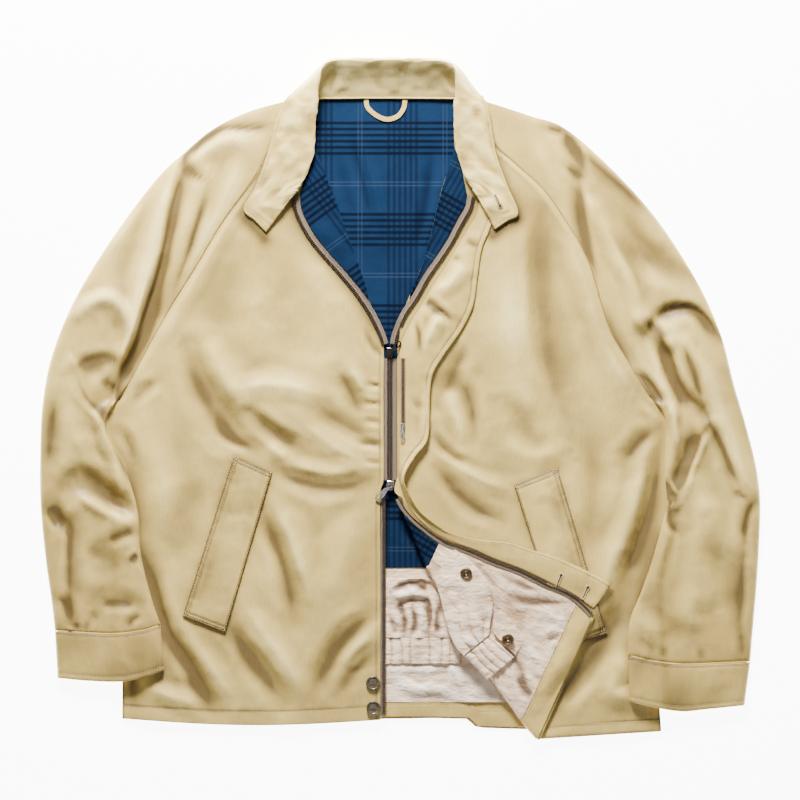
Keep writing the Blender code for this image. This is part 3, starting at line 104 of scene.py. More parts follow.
# the zip's teeth along the turned corner
TURNED_ZIP = [(-3.5, -97), (-3, -107), (1, -117), (7, -127), (16, -137), (28, -147), (41, -157),
              (54, -165), (65, -169), (82, -175), (104, -185), (120, -191), (139, -198), (167, -212),
              (189, -221), (205, -231), (224, -250)]
BACK_HEM = [(-317.5, -365), (-283, -369), (-195, -372.5), (-93, -373), (-24, -368), (40, -367), (78, -368),
            (88, -378), (150, -380), (170, -387.5), (235, -385), (298.5, -380)]

# ---------------------------------------------------------------- soft folds of the shell
# rise, width to the left and to the right of the line, then the line's points
FRONT_FOLDS = [
    (2.4, 18, 16, [(-268, 78), (-240, 22), (-216, -25)]),
    (-2.8, 14, 14, [(-246, 60), (-224, 16), (-200, -25), (-178, -48), (-158, -57)]),
    (-2.6, 10, 12, [(-172, -17), (-158, -30), (-137, -48), (-114, -65)]),
    (2.6, 30, 26, [(-190, 10), (-120, -6), (-70, 40)]),
    (-2.0, 12, 12, [(-126, -88), (-91, -85), (-57, -91)]),
    (-2.4, 12, 12, [(-91, -152), (-57, -124), (-34, -106)]),
    (2.4, 20, 16, [(-150, -255), (-118, -310), (-105, -335)]),
    (-2.2, 14, 14, [(-190, -278), (-155, -324), (-137, -347)]),
    (-2.2, 12, 12, [(-34, -243), (-60, -278), (-92, -335)]),
    (-2.4, 11, 11, [(-275, -312), (-252, -335), (-224, -352)]),
    (2.6, 30, 30, [(132, 190), (128, 90), (134, 0)]),
    (-2.4, 10, 30, [(160, 220), (168, 170), (166, 66), (182, -2), (196, -50)]),
    (-2.2, 10, 10, [(50, 16), (72, -14), (82, -48)]),
    (2.4, 26, 26, [(252, -120), (244, -200), (240, -260)]),
    (-2.8, 14, 14, [(262, -288), (230, -315), (180, -352)]),
]

# ---------------------------------------------------------------- sleeves, one row for each ring
# inner edge X and Y, outer edge X and Y, swell of the upper layer above its edges
SLEEVE_LEFT = [
    (-321, 1, -129, 343, 4.2),
    (-323, -0.5, -172, 331, 4.8),
    (-325, -2.5, -214, 311, 5.6),
    (-326.5, -4, -248, 283, 6.4),
    (-328, -6, -280, 253, 7.0),
    (-332, -12, -332, 183, 7.8),
    (-336.5, -20, -374, 114, 8.2),
    (-337.5, -31, -400, 50, 8.2),
    (-333, -48, -411, -7, 8.0),
    (-316, -82, -413.5, -65, 7.6),
    (-302, -128, -413, -122, 7.4),
    (-298, -180, -407, -186, 7.0),
    (-285, -232, -400.5, -232, 6.6),
    (-275, -260, -396.5, -266, 6.0),
]
SLEEVE_RIGHT = [
    (288, 1, 96, 343, 4.2),
    (290, -0.5, 148, 326, 4.8),
    (292.5, -3, 197, 306, 5.6),
    (297, -8, 278, 228, 7.0),
    (303, -17, 334, 148, 7.8),
    (306, -30, 367, 79, 8.2),
    (305, -56, 384, 16, 8.2),
    (305, -90, 397.5, -30, 8.0),
    (307, -118, 409, -76, 7.8),
    (301, -146, 414, -117, 7.6),
    (290, -186, 413, -163, 7.4),
    (277, -223, 410, -214, 7.0),
    (264, -257, 406, -260, 6.6),
    (262, -295, 402.5, -302, 6.0),
]
SLEEVE_FOLDS_LEFT = [
    (5.0, 22, 8, [(-257, 268), (-266, 228), (-277, 182), (-290, 136), (-303, 90), (-315, 56), (-326, 20)]),
    (-3.6, 8, 10, [(-249, 268), (-257, 228), (-267, 182), (-277, 142), (-289, 107), (-298, 73), (-312, 27)]),
    (3.6, 6, 15, [(-222, 248), (-228, 228), (-237, 200), (-247, 165), (-256, 134), (-266, 108)]),
    (-3.6, 8, 8, [(-147, 312), (-200, 311), (-224, 295), (-247, 278)]),
    (3.0, 12, 10, [(-160, 285), (-180, 297), (-201, 298), (-222, 289), (-240, 273)]),
    (4.4, 13, 9, [(-370, 100), (-350, 113), (-331, 116), (-316, 107), (-308, 88), (-307, 70), (-319, 42)]),
    (4.4, 6, 14, [(-374, 38), (-362, 6), (-347, -19), (-331, -51)]),
    (-4.0, 14, 14, [(-349, 26), (-345, 8)]),
    (-4.6, 12, 12, [(-392, -140), (-390, -116), (-383, -96), (-372, -84), (-356, -91), (-336, -108),
                    (-316, -124)]),
    (3.6, 12, 12, [(-376, -120), (-366, -108), (-346, -124), (-314, -142)]),
    (1.6, 10, 4, [(-380, -117), (-381, -186), (-381, -262)]),
    (-2.6, 10, 10, [(-350, -232), (-332, -220), (-302, -236)]),
]
SLEEVE_FOLDS_RIGHT = [
    (-4.2, 10, 14, [(174, 310), (200, 297), (226, 249), (257, 204), (291, 164), (332, 140)]),
    (3.4, 12, 12, [(222, 282), (264, 236), (300, 184)]),
    (4.4, 10, 14, [(222, 222), (238, 194), (254, 154), (271, 113), (282, 90)]),
    (-2.6, 6, 9, [(204, 251), (210, 222), (222, 170), (232, 125)]),
    (-4.6, 9, 9, [(291, 86), (300, 97), (314, 103), (330, 104), (344, 97), (358, 80), (368, 68)]),
    (6.2, 13, 8, [(273, 89), (294, 75), (310, 72), (328, 53), (342, 14), (360, -36), (390, -102)]),
    (-4.4, 12, 12, [(283, 73), (294, 50), (308, 28), (326, 4), (342, -15)]),
    (4.6, 14, 6, [(352, -31), (342, -56), (332, -78), (316, -113)]),
    (-2.2, 8, 8, [(318, -134), (330, -150)]),
    (3.4, 17, 17, [(356, -128), (340, -190), (330, -250)]),
    (1.6, 4, 10, [(410, -113), (397, -132), (394, -184), (390, -290)]),
]
CUFF_LEFT = {"top": [(-275.5, -260), (-295, -266.3), (-327, -270.5), (-363, -269.3), (-396.5, -267)],
             "bottom": [(-271.6, -312), (-289, -318.5), (-319, -325), (-357, -324.4), (-393.5, -321)]}
CUFF_RIGHT = {"top": [(262, -295.5), (294, -302.5), (323, -305.5), (360, -304.5), (402.5, -302.5)],
              "bottom": [(264.5, -348), (294, -355), (324, -359.4), (352, -357), (396, -352.5)]}

# ---------------------------------------------------------------- collar, one row for each section
# seam, roll and free edge of the fall, each X, Y and height in mm
COLLAR = [
    (-126, 231, 10.0, -122, 235.5, 13.0, -154, 192, 10.4),
    (-124, 236, 10.0, -119, 240, 13.4, -167, 205.5, 10.4),
    (-120, 243, 10.0, -115.5, 245, 13.8, -180, 219, 10.4),
    (-114, 256, 10.0, -109, 256, 14.4, -165, 247, 10.6),
    (-107, 276, 10.0, -101.5, 276, 15.4, -152, 285, 11.0),
    (-105, 298, 10.0, -98.5, 298, 17.0, -147, 303, 11.4),
    (-104, 318, 9.6, -97, 318, 19.0, -143, 319, 11.8),
    (-102.5, 338, 8.2, -95.5, 343, 22.0, -134, 341, 11.6),
    (-100, 343.5, 7.0, -93.5, 362, 25.0, -122.5, 353, 9.0),
    (-96.5, 346.2, 6.0, -91, 376, 27.0, -108, 366, 6.0),
    (-91, 347, 5.4, -86, 384.5, 28.5, -94, 380, 3.0),
    (-83, 347, 5.2, -77, 388.5, 29.0, -80, 389.5, 0.8),
    (-62, 347, 5.2, -60, 389.5, 28.6, -60, 390.5, 0.3),
    (-36, 347, 5.2, -36, 389.5, 27.6, -36, 390.5, 0.3),
    (-10, 347, 5.2, -10, 389.5, 28.8, -10, 390.5, 0.3),
    (14, 347, 5.2, 14, 389.5, 27.4, 14, 390.5, 0.3),
    (36, 347, 5.2, 36, 388.5, 28.4, 36, 390.0, 0.3),
    (52, 347, 5.2, 50, 387, 28.8, 54, 388.0, 0.8),
    (60, 347, 5.4, 60, 382.5, 28.2, 69, 379, 3.0),
    (66, 346.2, 6.0, 63.5, 375, 26.6, 80, 365, 6.0),
    (70, 343.5, 7.0, 63.5, 362, 24.6, 90, 352, 9.0),
    (70.5, 338, 8.2, 63.5, 343, 22.0, 99.5, 341, 11.6),
    (69.5, 318, 9.6, 62.5, 318, 19.0, 104, 322, 11.8),
    (70.5, 300, 10.0, 63, 300, 17.0, 107.5, 300, 11.4),
    (72.5, 280, 10.0, 66.5, 280, 15.4, 112, 278, 11.0),
    (79, 260, 10.0, 73.5, 259, 14.4, 123.5, 246, 10.6),
    (86, 247, 10.0, 80.5, 247, 13.8, 136, 214, 10.4),
    (90, 241, 10.0, 84, 242, 13.4, 122.5, 204.5, 10.4),
    (92.5, 234, 10.0, 87, 237, 13.0, 109, 195, 10.4),
]
HANGER_LOOP = {"line": [(-39, 344.6), (-37, 335), (-27, 326), (-15, 321.5), (-3, 325), (4, 334), (6, 344.6)],
               "width": 5.5, "thick": 1.2}

# ---------------------------------------------------------------- turned lapels above the zip
# X and Y on the lapel's fold, and how far along the zip its other side is
LAPEL_LEFT = [
    (-99, 300, 0.0), (-95, 282, 0.05), (-85.5, 258, 0.16), (-72.5, 224, 0.35), (-60.5, 189, 0.50),
    (-48.5, 158, 0.63), (-43, 141, 0.69), (-39, 128, 0.735),
]
LAPEL_RIGHT = [
    (63.5, 300, 0.0), (60.5, 280, 0.05), (52.5, 256, 0.15), (43.5, 224, 0.30), (34.5, 185, 0.46),
    (23.5, 149, 0.60), (17, 134, 0.665), (12, 122, 0.71),
]
ZIP_LEFT = [(-121, 233), (-118, 214), (-104, 187), (-86, 164), (-68, 144), (-49, 121), (-33, 97), (-22, 74),
            (-18.5, 63)]
ZIP_RIGHT = [(83, 234), (80, 219), (71, 203), (59, 180), (46, 160), (32, 140), (19, 117), (5, 96),
             (-4, 74), (-6.5, 63)]

# ---------------------------------------------------------------- storm flap, one row for each section
# root X and Y, free edge X and Y, lift of root, middle and free edge above the front
STORM_FLAP = [
    (90, 227, 112, 224, 1.2, 1.2, 1.2),
    (86, 211, 107, 206, 1.2, 1.3, 1.2),
    (77, 196, 101, 190, 1.2, 2.0, 1.4),
    (65, 175, 94, 172, 1.2, 3.2, 1.6),
    (52, 154, 89, 141, 1.2, 4.2, 1.8),
    (38, 133, 84, 108, 1.2, 5.0, 2.2),
    (25, 111, 71, 80, 1.2, 5.6, 2.6),
    (11, 88, 50, 50, 1.2, 5.0, 3.4),
    (0, 64, 37, 27, 1.2, 4.0, 4.4),
    (-1.5, 30, 34, -2, 1.2, 3.4, 5.2),
    (-1.5, -10, 32, -45, 1.2, 3.2, 6.0),
    (-1.5, -45, 19, -64, 1.2, 3.8, 7.6),
    (-1.5, -70, 8, -81, 1.2, 4.6, 9.0),
    (-1.2, -88, 4.5, -95, 1.4, 5.0, 9.4),
    (2.5, -102, 10, -109, 2.2, 5.4, 9.2),
    (8.5, -116, 21, -127, 3.2, 5.6, 8.2),
    (19, -131, 36, -141, 3.4, 5.4, 7.0),
    (31, -143, 55, -153, 3.4, 5.0, 5.8),
    (45, -154.5, 76, -159.5, 3.4, 4.8, 5.0),
    (67, -166, 102, -163.5, 3.4, 4.6, 4.4),
    (86, -173, 128, -166.5, 3.4, 4.2, 3.8),
    (107, -182.5, 150, -173.5, 3.4, 4.0, 3.4),
    (141, -195.5, 182, -183, 3.4, 3.8, 3.2),
    (169, -209, 212, -196.5, 3.4, 3.8, 3.2),
    (198, -224, 236, -208, 3.4, 3.6, 3.2),
    (222.5, -240.5, 244, -212, 3.4, 3.5, 3.2),
]

# ---------------------------------------------------------------- wind guard on the turned corner
# left X and Y, right X and Y, puff in the middle
GUARD_FRONT = [
    (39, -206, 63, -173, 0.3),
    (45, -224, 78, -184, 1.6),
    (49, -240, 92, -199, 2.4),
    (53, -257, 105, -219, 2.8),
    (58, -273, 107, -240, 3.0),
    (66, -288, 104, -258, 2.4),
    (73, -295, 103, -270.5, 1.8),
]
GUARD_TOP, BAND_TOP, BAND_FOOT = -206.0, -275.0, -304.5      # the same pieces inside the back
GUARD_BAND = [(74.2, -296.6, 104.4, -272.4, 1.6), (87, -309, 118, -284.5, 1.8), (99.5, -323, 131, -297, 1.4)]
GUARD_TAB = [(107.5, -256, 115, -241), (108, -269, 129, -256), (119.5, -281, 137, -268),
             (132.5, -294, 143.5, -279)]

# ---------------------------------------------------------------- pockets and fasteners
POCKET_GAP = 0.6
POCKET_LEFT = [(-191, -65), (-147, -85), (-201, -269), (-250, -250)]
POCKET_RIGHT = [(131, -99), (181, -79), (238, -270), (190, -286)]
BUTTONS = {"button_upper": (-31, -327), "button_lower": (-30.5, -355.5)}
SNAPS = {"snap_upper": (76, -201), "snap_lower": (124, -277)}
POCKET_ZIP = {"middle": 3.4, "top": 47.0, "foot": -26.5}
CLOSED_ZIP = {"left": -13.2, "right": -10.6, "top": 46.6, "foot": -93.5}
LOWER_ZIP = {"left": -17, "top": -105.8, "foot": -364}
# eye and far end of each slit
BUTTONHOLES = {"buttonhole_collar": ((116, 220), (109, 235)), "buttonhole_upper": ((186, -201), (180, -217)),
               "buttonhole_lower": ((217, -215), (210, -230))}


# ---------------------------------------------------------------- creases of the dressed cloth
# rise, width to the left and to the right of the line, then the line's points
SLEEVE_CREASES_LEFT = [
    (-1.8, 6, 4, [(-149, 315), (-180, 312), (-204, 311)]),
    (-3.6, 5, 4, [(-204, 311), (-226, 297), (-247, 280)]),
    (2.6, 8, 7, [(-170, 290), (-193, 298), (-216, 292), (-237, 277)]),
    (-3.8, 11, 4, [(-247, 280), (-248, 266), (-255, 243), (-262, 213), (-271, 167),
                  (-283, 125), (-298, 82), (-313, 44), (-325, 10)]),
    (-3.8, 13, 8, [(-271, 150), (-281, 113), (-294, 73), (-316, 37), (-333, 1), (-340, -16)]),
    (3, 5, 12, [(-259, 260), (-273, 223), (-283, 177), (-293, 131), (-302, 96), (-313, 64)]),
    (-2.2, 5, 6, [(-247, 272), (-237, 260), (-221, 251)]),
    (-2.8, 4, 7, [(-221, 251), (-227, 228), (-233, 202), (-244, 167),
                  (-256, 134), (-262, 113), (-267, 98)]),
    (2.4, 8, 8, [(-183, 283), (-191, 254), (-204, 223), (-223, 187), (-239, 157)]),
    (3, 7, 9, [(-375, 98), (-359, 110), (-342, 117), (-327, 111), (-316, 98), (-310, 79), (-313, 59)]),
    (-1.8, 4, 7, [(-326, 98), (-318, 75), (-324, 56)]),
    (-3.4, 5, 11, [(-375, 36), (-364, 42), (-344, 48), (-329, 47), (-318, 41)]),
    (-2.4, 9, 4, [(-375, 36), (-370, 18), (-359, -2), (-341, -21), (-321, -67), (-310, -105)]),
    (-1.6, 11, 9, [(-344, 24), (-338, 10), (-334, -9)]),
    (-3.8, 12, 6, [(-381, -118), (-374, -108), (-365, -104), (-351, -109),
                  (-336, -117), (-323, -124), (-311, -131)]),
    (-3.4, 9, 5, [(-407, -125), (-398, -134), (-388, -150)]),
    (-2, 10, 4, [(-379, -119), (-380, -150), (-381, -186), (-380, -227), (-378, -259)]),
    (-2.6, 7, 5, [(-339, -164), (-323, -158), (-303, -151)]),
    (-3, 4, 6, [(-311, -189), (-305, -182), (-300, -181)]),
    (-2.4, 6, 4, [(-396, -227), (-388, -233), (-382, -246), (-379, -258)]),
    (-2, 10, 5, [(-348, -239), (-331, -236), (-312, -237), (-303, -240)]),
    (-1.8, 5, 4, [(-313, -264), (-308, -254), (-297, -248)]),
    (-1.4, 4, 4, [(-370, -266), (-373, -257)]),
    (-1.4, 4, 4, [(-363, -267), (-358, -255)]),
    (-1.4, 7, 5, [(-357, -243), (-347, -255)]),
    (-2.4, 14, 14, [(-362, -171), (-336, -189), (-324, -206)]),
    (-1.8, 9, 9, [(-395, 4), (-402, -36), (-405, -82)]),
    (1.8, 12, 12, [(-379, 4), (-377, -36), (-361, -71)]),
    (1.8, 11, 14, [(-287, 240), (-310, 200), (-331, 162)]),
]
SLEEVE_CREASES_RIGHT = [
    (-1.8, 6, 4, [(167, 312), (180, 309), (189, 310)]),
    (-3.4, 4, 8, [(189, 310), (196, 297), (204, 283), (213, 259)]),
    (-2.4, 5, 4, [(189, 270), (201, 260), (212, 256)]),
    (-2.6, 4, 9, [(205, 254), (208, 228), (212, 196), (219, 165), (226, 142)]),
    (-2, 8, 8, [(198, 295), (228, 267), (259, 240), (290, 208)]),
    (-2.2, 14, 10, [(251, 187), (279, 162), (304, 145), (332, 134)]),
    (-1.8, 8, 6, [(232, 211), (254, 171), (275, 132), (280, 96)]),
    (2.6, 12, 8, [(231, 219), (242, 188), (256, 157), (270, 125), (282, 96)]),
    (2.2, 10, 10, [(156, 297), (171, 257), (187, 223)]),
    (-1.8, 8, 8, [(234, 110), (244, 79), (257, 53), (271, 30)]),
    (-3.4, 4, 9, [(290, 89), (303, 101), (318, 106), (336, 105), (351, 93), (369, 68)]),
    (-2.6, 4, 6, [(273, 87), (283, 88), (296, 80), (305, 74), (316, 72)]),
    (-4, 4, 10, [(296, 78), (305, 59), (313, 40), (321, 19), (331, 4), (348, -9)]),
    (2.2, 4, 4, [(275, 82), (290, 55), (303, 19), (313, -5), (318, -36), (326, -66)]),
    (-3.8, 4, 6, [(324, 62), (331, 50), (339, 29), (343, 12), (350, -9)]),
    (-3.4, 4, 7, [(350, -9), (358, -30), (371, -56), (381, -81), (392, -103)]),
    (-4.4, 4, 12, [(354, -30), (343, -48), (333, -73), (324, -96), (316, -113)]),
    (-3.6, 4, 5, [(271, 29), (281, 25), (294, 7), (305, -9)]),
    (-4, 4, 4, [(303, -94), (309, -108), (316, -117)]),
    (-1.8, 8, 4, [(312, -113), (310, -142), (325, -158)]),
    (2.2, 11, 4, [(346, 56), (355, 27), (364, -6), (377, -41), (389, -72), (398, -94)]),
    (-2, 14, 12, [(343, -168), (369, -186), (381, -220), (379, -257)]),
    (-1, 6, 5, [(273, -273), (288, -285), (294, -295)]),
    (-2, 11, 10, [(277, -229), (297, -246), (311, -266), (302, -285)]),
    (1.8, 12, 12, [(346, -214), (334, -246), (346, -273)]),
    (1.8, 12, 12, [(334, -82), (346, -117), (355, -140)]),
    (-2.2, 4, 6, [(412, -114), (403, -124), (398, -140), (396, -165)]),
    (-1.6, 4, 9, [(396, -151), (393, -214), (389, -289)]),
    (-1.2, 4, 4, [(304, -285), (303, -298)]),
    (-1.2, 4, 4, [(346, -288), (347, -300)]),
    (-1.2, 4, 4, [(393, -266), (394, -297)]),
]
FRONT_CREASES = [
    (-3, 14, 12, [(-250, 53), (-236, 21), (-220, -7), (-200, -36), (-172, -55)]),
    (-2, 6, 6, [(-213, -22), (-195, -44), (-165, -57)]),
    (2.2, 13, 13, [(-226, 73), (-206, 33), (-183, -2)]),
    (-2.8, 6, 8, [(-172, -14), (-154, -30), (-134, -44), (-112, -56)]),
    (2, 9, 9, [(-156, -52), (-126, -68)]),
    (2.4, 9, 9, [(-189, 11), (-158, 17), (-126, 14), (-96, 6)]),
    (-2.2, 8, 8, [(-96, -11), (-63, -30), (-26, -52)]),
    (2, 9, 9, [(-112, -27), (-74, -56), (-40, -72)]),
    (-2.6, 7, 8, [(-73, 32), (-59, 13), (-50, -6), (-45, -24)]),
    (1.8, 6, 6, [(-56, 35), (-42, 7)]),
    (-1.8, 3, 3.2, [(-39, 17), (-22, 14)]),
    (-1.9, 3, 3.2, [(-43, -4), (-22, -6)]),
    (-2, 3, 3.2, [(-42, -25), (-22, -27)]),
    (-2.2, 3.4, 3.4, [(-48, -50), (-22, -53)]),
    (-1.7, 3, 3, [(-39, -72), (-22, -74)]),
    (-2.8, 3, 4, [(-39, 78), (-32, 62), (-20, 49)]),
    (-2.8, 8, 8, [(-144, -82), (-114, -95), (-82, -101), (-55, -98), (-28, -91)]),
    (2, 8, 8, [(-124, -75), (-86, -85), (-48, -82)]),
    (-3.2, 9, 8, [(-158, -129), (-147, -157), (-136, -186), (-128, -220), (-122, -259)]),
    (2.4, 11, 8, [(-145, -121), (-129, -151), (-116, -186), (-106, -227)]),
    (-3, 8, 9, [(-197, -260), (-178, -289), (-157, -318), (-133, -349)]),
    (2.4, 9, 9, [(-183, -232), (-158, -269), (-132, -305), (-112, -335)]),
    (-3, 8, 8, [(-255, -278), (-241, -308), (-225, -340), (-216, -361)]),
    (2.2, 9, 8, [(-235, -278), (-213, -313), (-191, -348)]),
    (-3.6, 9, 9, [(-295, -183), (-285, -220), (-272, -255), (-257, -289), (-241, -324)]),
    (-2.6, 9, 8, [(-312, -269), (-313, -318), (-305, -349)]),
    (-3, 8, 9, [(-24, -243), (-50, -260), (-71, -283), (-86, -310), (-103, -338)]),
    (-2.2, 8, 8, [(-24, -289), (-50, -308), (-73, -342)]),
    (2, 8, 8, [(-24, -266), (-55, -289), (-73, -316)]),
    (2.2, 8, 8, [(-292, -333), (-264, -342), (-229, -354)]),
    (-2, 5, 5, [(-321, -34), (-310, -53), (-305, -73)]),
    (-2, 6, 6, [(-312, 1), (-296, 9), (-279, 22)]),
    (1.8, 16, 16, [(-287, -30), (-272, -117), (-278, -188)]),
    (-1.8, 16, 16, [(-239, -82), (-252, -142), (-266, -200)]),
    (2.2, 26, 26, [(-114, 171), (-80, 113), (-63, 56)]),
    (-1.8, 22, 22, [(-188, 162), (-204, 108), (-188, 65)]),
    (1.8, 14, 14, [(-55, -140), (-66, -186), (-85, -234)]),
    (1.8, 7, 7, [(-179, 228), (-211, 179), (-241, 127), (-270, 79), (-287, 49)]),
    (-2.4, 22, 7, [(165, 221), (157, 177), (156, 131), (162, 79), (170, 34), (191, -24)]),
    (2.6, 22, 20, [(122, 165), (129, 90), (143, 21), (162, -39)]),
    (2.2, 8, 8, [(186, 200), (209, 148), (227, 90), (246, 44), (278, -7)]),
    (-2.6, 7, 8, [(81, 64), (66, 40), (55, 16), (44, -9)]),
    (2.6, 6, 6, [(48, 17), (60, -7), (70, -36), (72, -59)]),
    (-2.4, 6, 6, [(67, 24), (81, -3), (87, -37)]),
    (-2, 5, 5, [(35, -34), (51, -57), (81, -79)]),
    (2, 7, 7, [(56, -71), (93, -93), (128, -105)]),
    (-2.8, 7, 7, [(42, -80), (64, -105), (88, -126), (118, -142)]),
    (-2.2, 12, 12, [(212, -36), (225, -94), (220, -151), (205, -188)]),
    (2.8, 10, 9, [(290, -39), (278, -88), (263, -140), (244, -186), (231, -234)]),
    (-2.4, 7, 7, [(298, -65), (289, -117), (273, -168), (252, -220)]),
    (2, 5, 5, [(283, -9), (297, -25)]),
    (-2.6, 6, 7, [(295, -34), (277, -48), (255, -74)]),
    (-4, 11, 12, [(264, -218), (244, -260), (221, -295), (196, -329), (170, -362)]),
    (2.6, 11, 11, [(267, -287), (244, -333), (277, -349)]),
    (1.6, 10, 10, [(113, -48), (150, -66), (187, -59)]),
    (-1.6, 10, 10, [(116, -2), (139, -25), (171, -82)]),
]
FLAP_CREASES = [
    (-2.2, 4, 5, [(20, 117), (35, 110), (52, 96), (67, 91)]),
    (2, 8, 7, [(35, 125), (58, 133), (76, 157)]),
    (-1.6, 3, 4, [(18, 90), (22, 73), (24, 52)]),
    (2, 5, 6, [(30, 60), (42, 88), (58, 93)]),
    (-1.4, 4, 4, [(47, 171), (72, 157)]),
    (-1.2, 4, 4, [(12, -2), (29, -11)]),
    (1.4, 4, 4, [(33, 16), (30, -16), (28, -43)]),
    (-1.2, 4, 4, [(76, 182), (90, 175)]),
]
NYLON_CREASES = [
    (-1.5, 4, 4, [(127, -226), (150, -232), (198, -234)]),
    (-1.3, 4, 4, [(167, -278), (185, -272)]),
    (-1.5, 5, 5, [(133, -318), (156, -347)]),
    (1.4, 6, 6, [(116, -255), (162, -301)]),
    (-1, 4, 4, [(83, -186), (116, -220)]),
    (1.2, 5, 5, [(139, -203), (180, -218)]),
    (-1.2, 4, 5, [(116, -278), (139, -310), (143, -335)]),
    (1.2, 5, 4, [(171, -246), (191, -257)]),
    (-1, 4, 4, [(97, -193), (129, -209), (171, -223)]),
]
LINING_CREASES = [
    (-1.6, 5, 5, [(-55, 303), (-43, 251), (-32, 200)]),
    (1.4, 6, 6, [(-43, 297), (-29, 240), (-18, 182)]),
    (-1.4, 5, 5, [(37, 286), (30, 228), (18, 171)]),
    (1.2, 6, 6, [(47, 274), (42, 223), (28, 171)]),
    (-1.2, 6, 6, [(-68, 274), (-62, 240), (-50, 205)]),
    (-1.2, 5, 5, [(-2, -140), (18, -163), (42, -172)]),
]
LOWER_LINING_CREASES = [
    (-1.4, 4, 5, [(-9, -315), (24, -321), (58, -317)]),
    (1.4, 5, 5, [(-5, -328), (29, -335), (64, -333)]),
    (-1.2, 4, 4, [(1, -342), (35, -347), (72, -346)]),
]
GUARD_CREASES = [
    (-1.8, 3, 7, [(-11, -223), (5, -213), (28, -211), (47, -218)]),
    (-1.6, 6, 2.5, [(-6, -241), (14, -232), (42, -235)]),
    (-2, 2.5, 6, [(21, -200), (29, -223), (35, -246), (33, -273)]),
    (-1.6, 3, 5, [(-2, -232), (5, -252), (4, -273)]),
    (-1.8, 5, 2.5, [(14, -239), (17, -257), (12, -274)]),
    (-1.6, 5, 2.5, [(47, -232), (42, -252), (44, -273)]),
    (-1.4, 3, 5, [(-13, -252), (-6, -264), (-7, -274)]),
    (1.6, 5, 5, [(-9, -232), (17, -225), (37, -229)]),
]
COLLAR_CREASES = [
    (-2, 3, 9, [(-74, 385), (-76, 366), (-83, 348)]),
    (1.6, 6, 7, [(-55, 382), (-60, 366), (-64, 350)]),
    (-1.8, 9, 2.5, [(-2, 387), (-1, 369), (4, 350)]),
    (1.6, 3, 6, [(-9, 385), (-7, 366), (-5, 350)]),
    (-2.2, 8, 3, [(52, 380), (58, 364), (66, 349)]),
    (-1.4, 6, 4, [(-34, 375), (-27, 362), (-29, 350)]),
    (-1.2, 7, 3, [(24, 366), (35, 357), (51, 352)]),
]


# ================================================================ small tools
def ease(low, high, value):
    """0 below low, 1 above high, and a soft step between."""
    t = np.clip((np.asarray(value, float) - low) / (high - low), 0.0, 1.0)
    return t * t * (3.0 - 2.0 * t)


def rounded(points, steps=12):
    """A smooth line through the points."""
    p = np.array(points, float)
    if len(p) < 3:
        return p
    ends = np.vstack([2 * p[0] - p[1], p, 2 * p[-1] - p[-2]])
    line = []
    for i in range(1, len(ends) - 2):
        a, b, c, d = ends[i - 1], ends[i], ends[i + 1], ends[i + 2]
        for t in np.linspace(0, 1, steps, endpoint=False):
            line.append(0.5 * (2 * b + (c - a) * t + (2 * a - 5 * b + 4 * c - d) * t**2
                               + (3 * b - a - 3 * c + d) * t**3))
    line.append(p[-1])
    return np.array(line)


def run_of(line):
    """Distance along a line at each of its points."""
    return np.concatenate([[0.0], np.cumsum(np.linalg.norm(np.diff(line, axis=0), axis=1))])


def run_fractions(line):
    """Distance along a line at each of its points, as a share of its whole length."""
    run = run_of(line)
    return run / run[-1]


def along(points, fractions, smooth=True):
    """Points at fractions of the length of a line."""
    p = rounded(points) if smooth else np.array(points, float)
    run = run_fractions(p)
    return np.stack([np.interp(fractions, run, p[:, k]) for k in range(p.shape[1])], axis=-1)


def rows_between(table, count):
    """A table resampled to count rows, smooth through its own rows."""
    p = rounded(table, 8)
    index = np.linspace(0, len(p) - 1, count)
    return np.stack([np.interp(index, range(len(p)), p[:, k]) for k in range(p.shape[1])], axis=-1)


def line_distance(x, y, points):
    """Nearest distance to a line of points, its side, positive to the left, and how far along it that is."""
    best, side, where = np.full(np.shape(x), 1e9), np.zeros(np.shape(x)), np.zeros(np.shape(x))
    run = run_of(np.array(points, float))
    for k, ((ax, ay), (bx, by)) in enumerate(zip(points[:-1], points[1:])):
        dx, dy = bx - ax, by - ay
        t = np.clip(((x - ax) * dx + (y - ay) * dy) / (dx * dx + dy * dy), 0, 1)
        gap = np.hypot(x - ax - t * dx, y - ay - t * dy)
        closer = gap < best
        side = np.where(closer, np.sign(dx * (y - ay) - dy * (x - ax)), side)
        where = np.where(closer, run[k] + t * (run[k + 1] - run[k]), where)
        best = np.where(closer, gap, best)
    return best, side, where


def gap_to(x, y, *lines):
    """Distance to the nearest of some lines."""
    return np.minimum.reduce([line_distance(x, y, line)[0] for line in lines])


def folds(x, y, table):
    """Height of all the soft folds of a table at X and Y."""
    x, y = np.asarray(x, float), np.asarray(y, float)
    total = np.zeros(np.shape(x))
    for rise, left, right, points in table:
        gap, side, _ = line_distance(x, y, along(points, np.linspace(0, 1, 9)))
        width = np.where(side > 0, left, right)
        total = total + rise * np.exp(-(gap / width) ** 2)
    return total


def across_fractions(count):
    """Fractions across a flattened tube, closer together at its two edges."""
    even = np.linspace(0, 1, count)
    return 0.55 * even + 0.45 * (1 - np.cos(math.pi * even)) / 2


def shifted(line, distance):
    """A line moved sideways, to its left where the distance is positive."""
    line = np.asarray(line, float)
    way = np.gradient(line, axis=0)
    way /= np.linalg.norm(way, axis=1, keepdims=True)
    return line + np.stack([-way[:, 1], way[:, 0]], axis=1) * distance


def upright(x, rows):
    """A straight line down the jacket at one X."""
    return np.stack([np.full(len(rows), float(x)), rows], axis=1)


def turned_by(x, y, angle):
    """Plan coordinates along and across a direction at an angle to X."""
    return np.stack([x * math.cos(angle) + y * math.sin(angle), -x * math.sin(angle) + y * math.cos(angle)],
                    axis=-1)


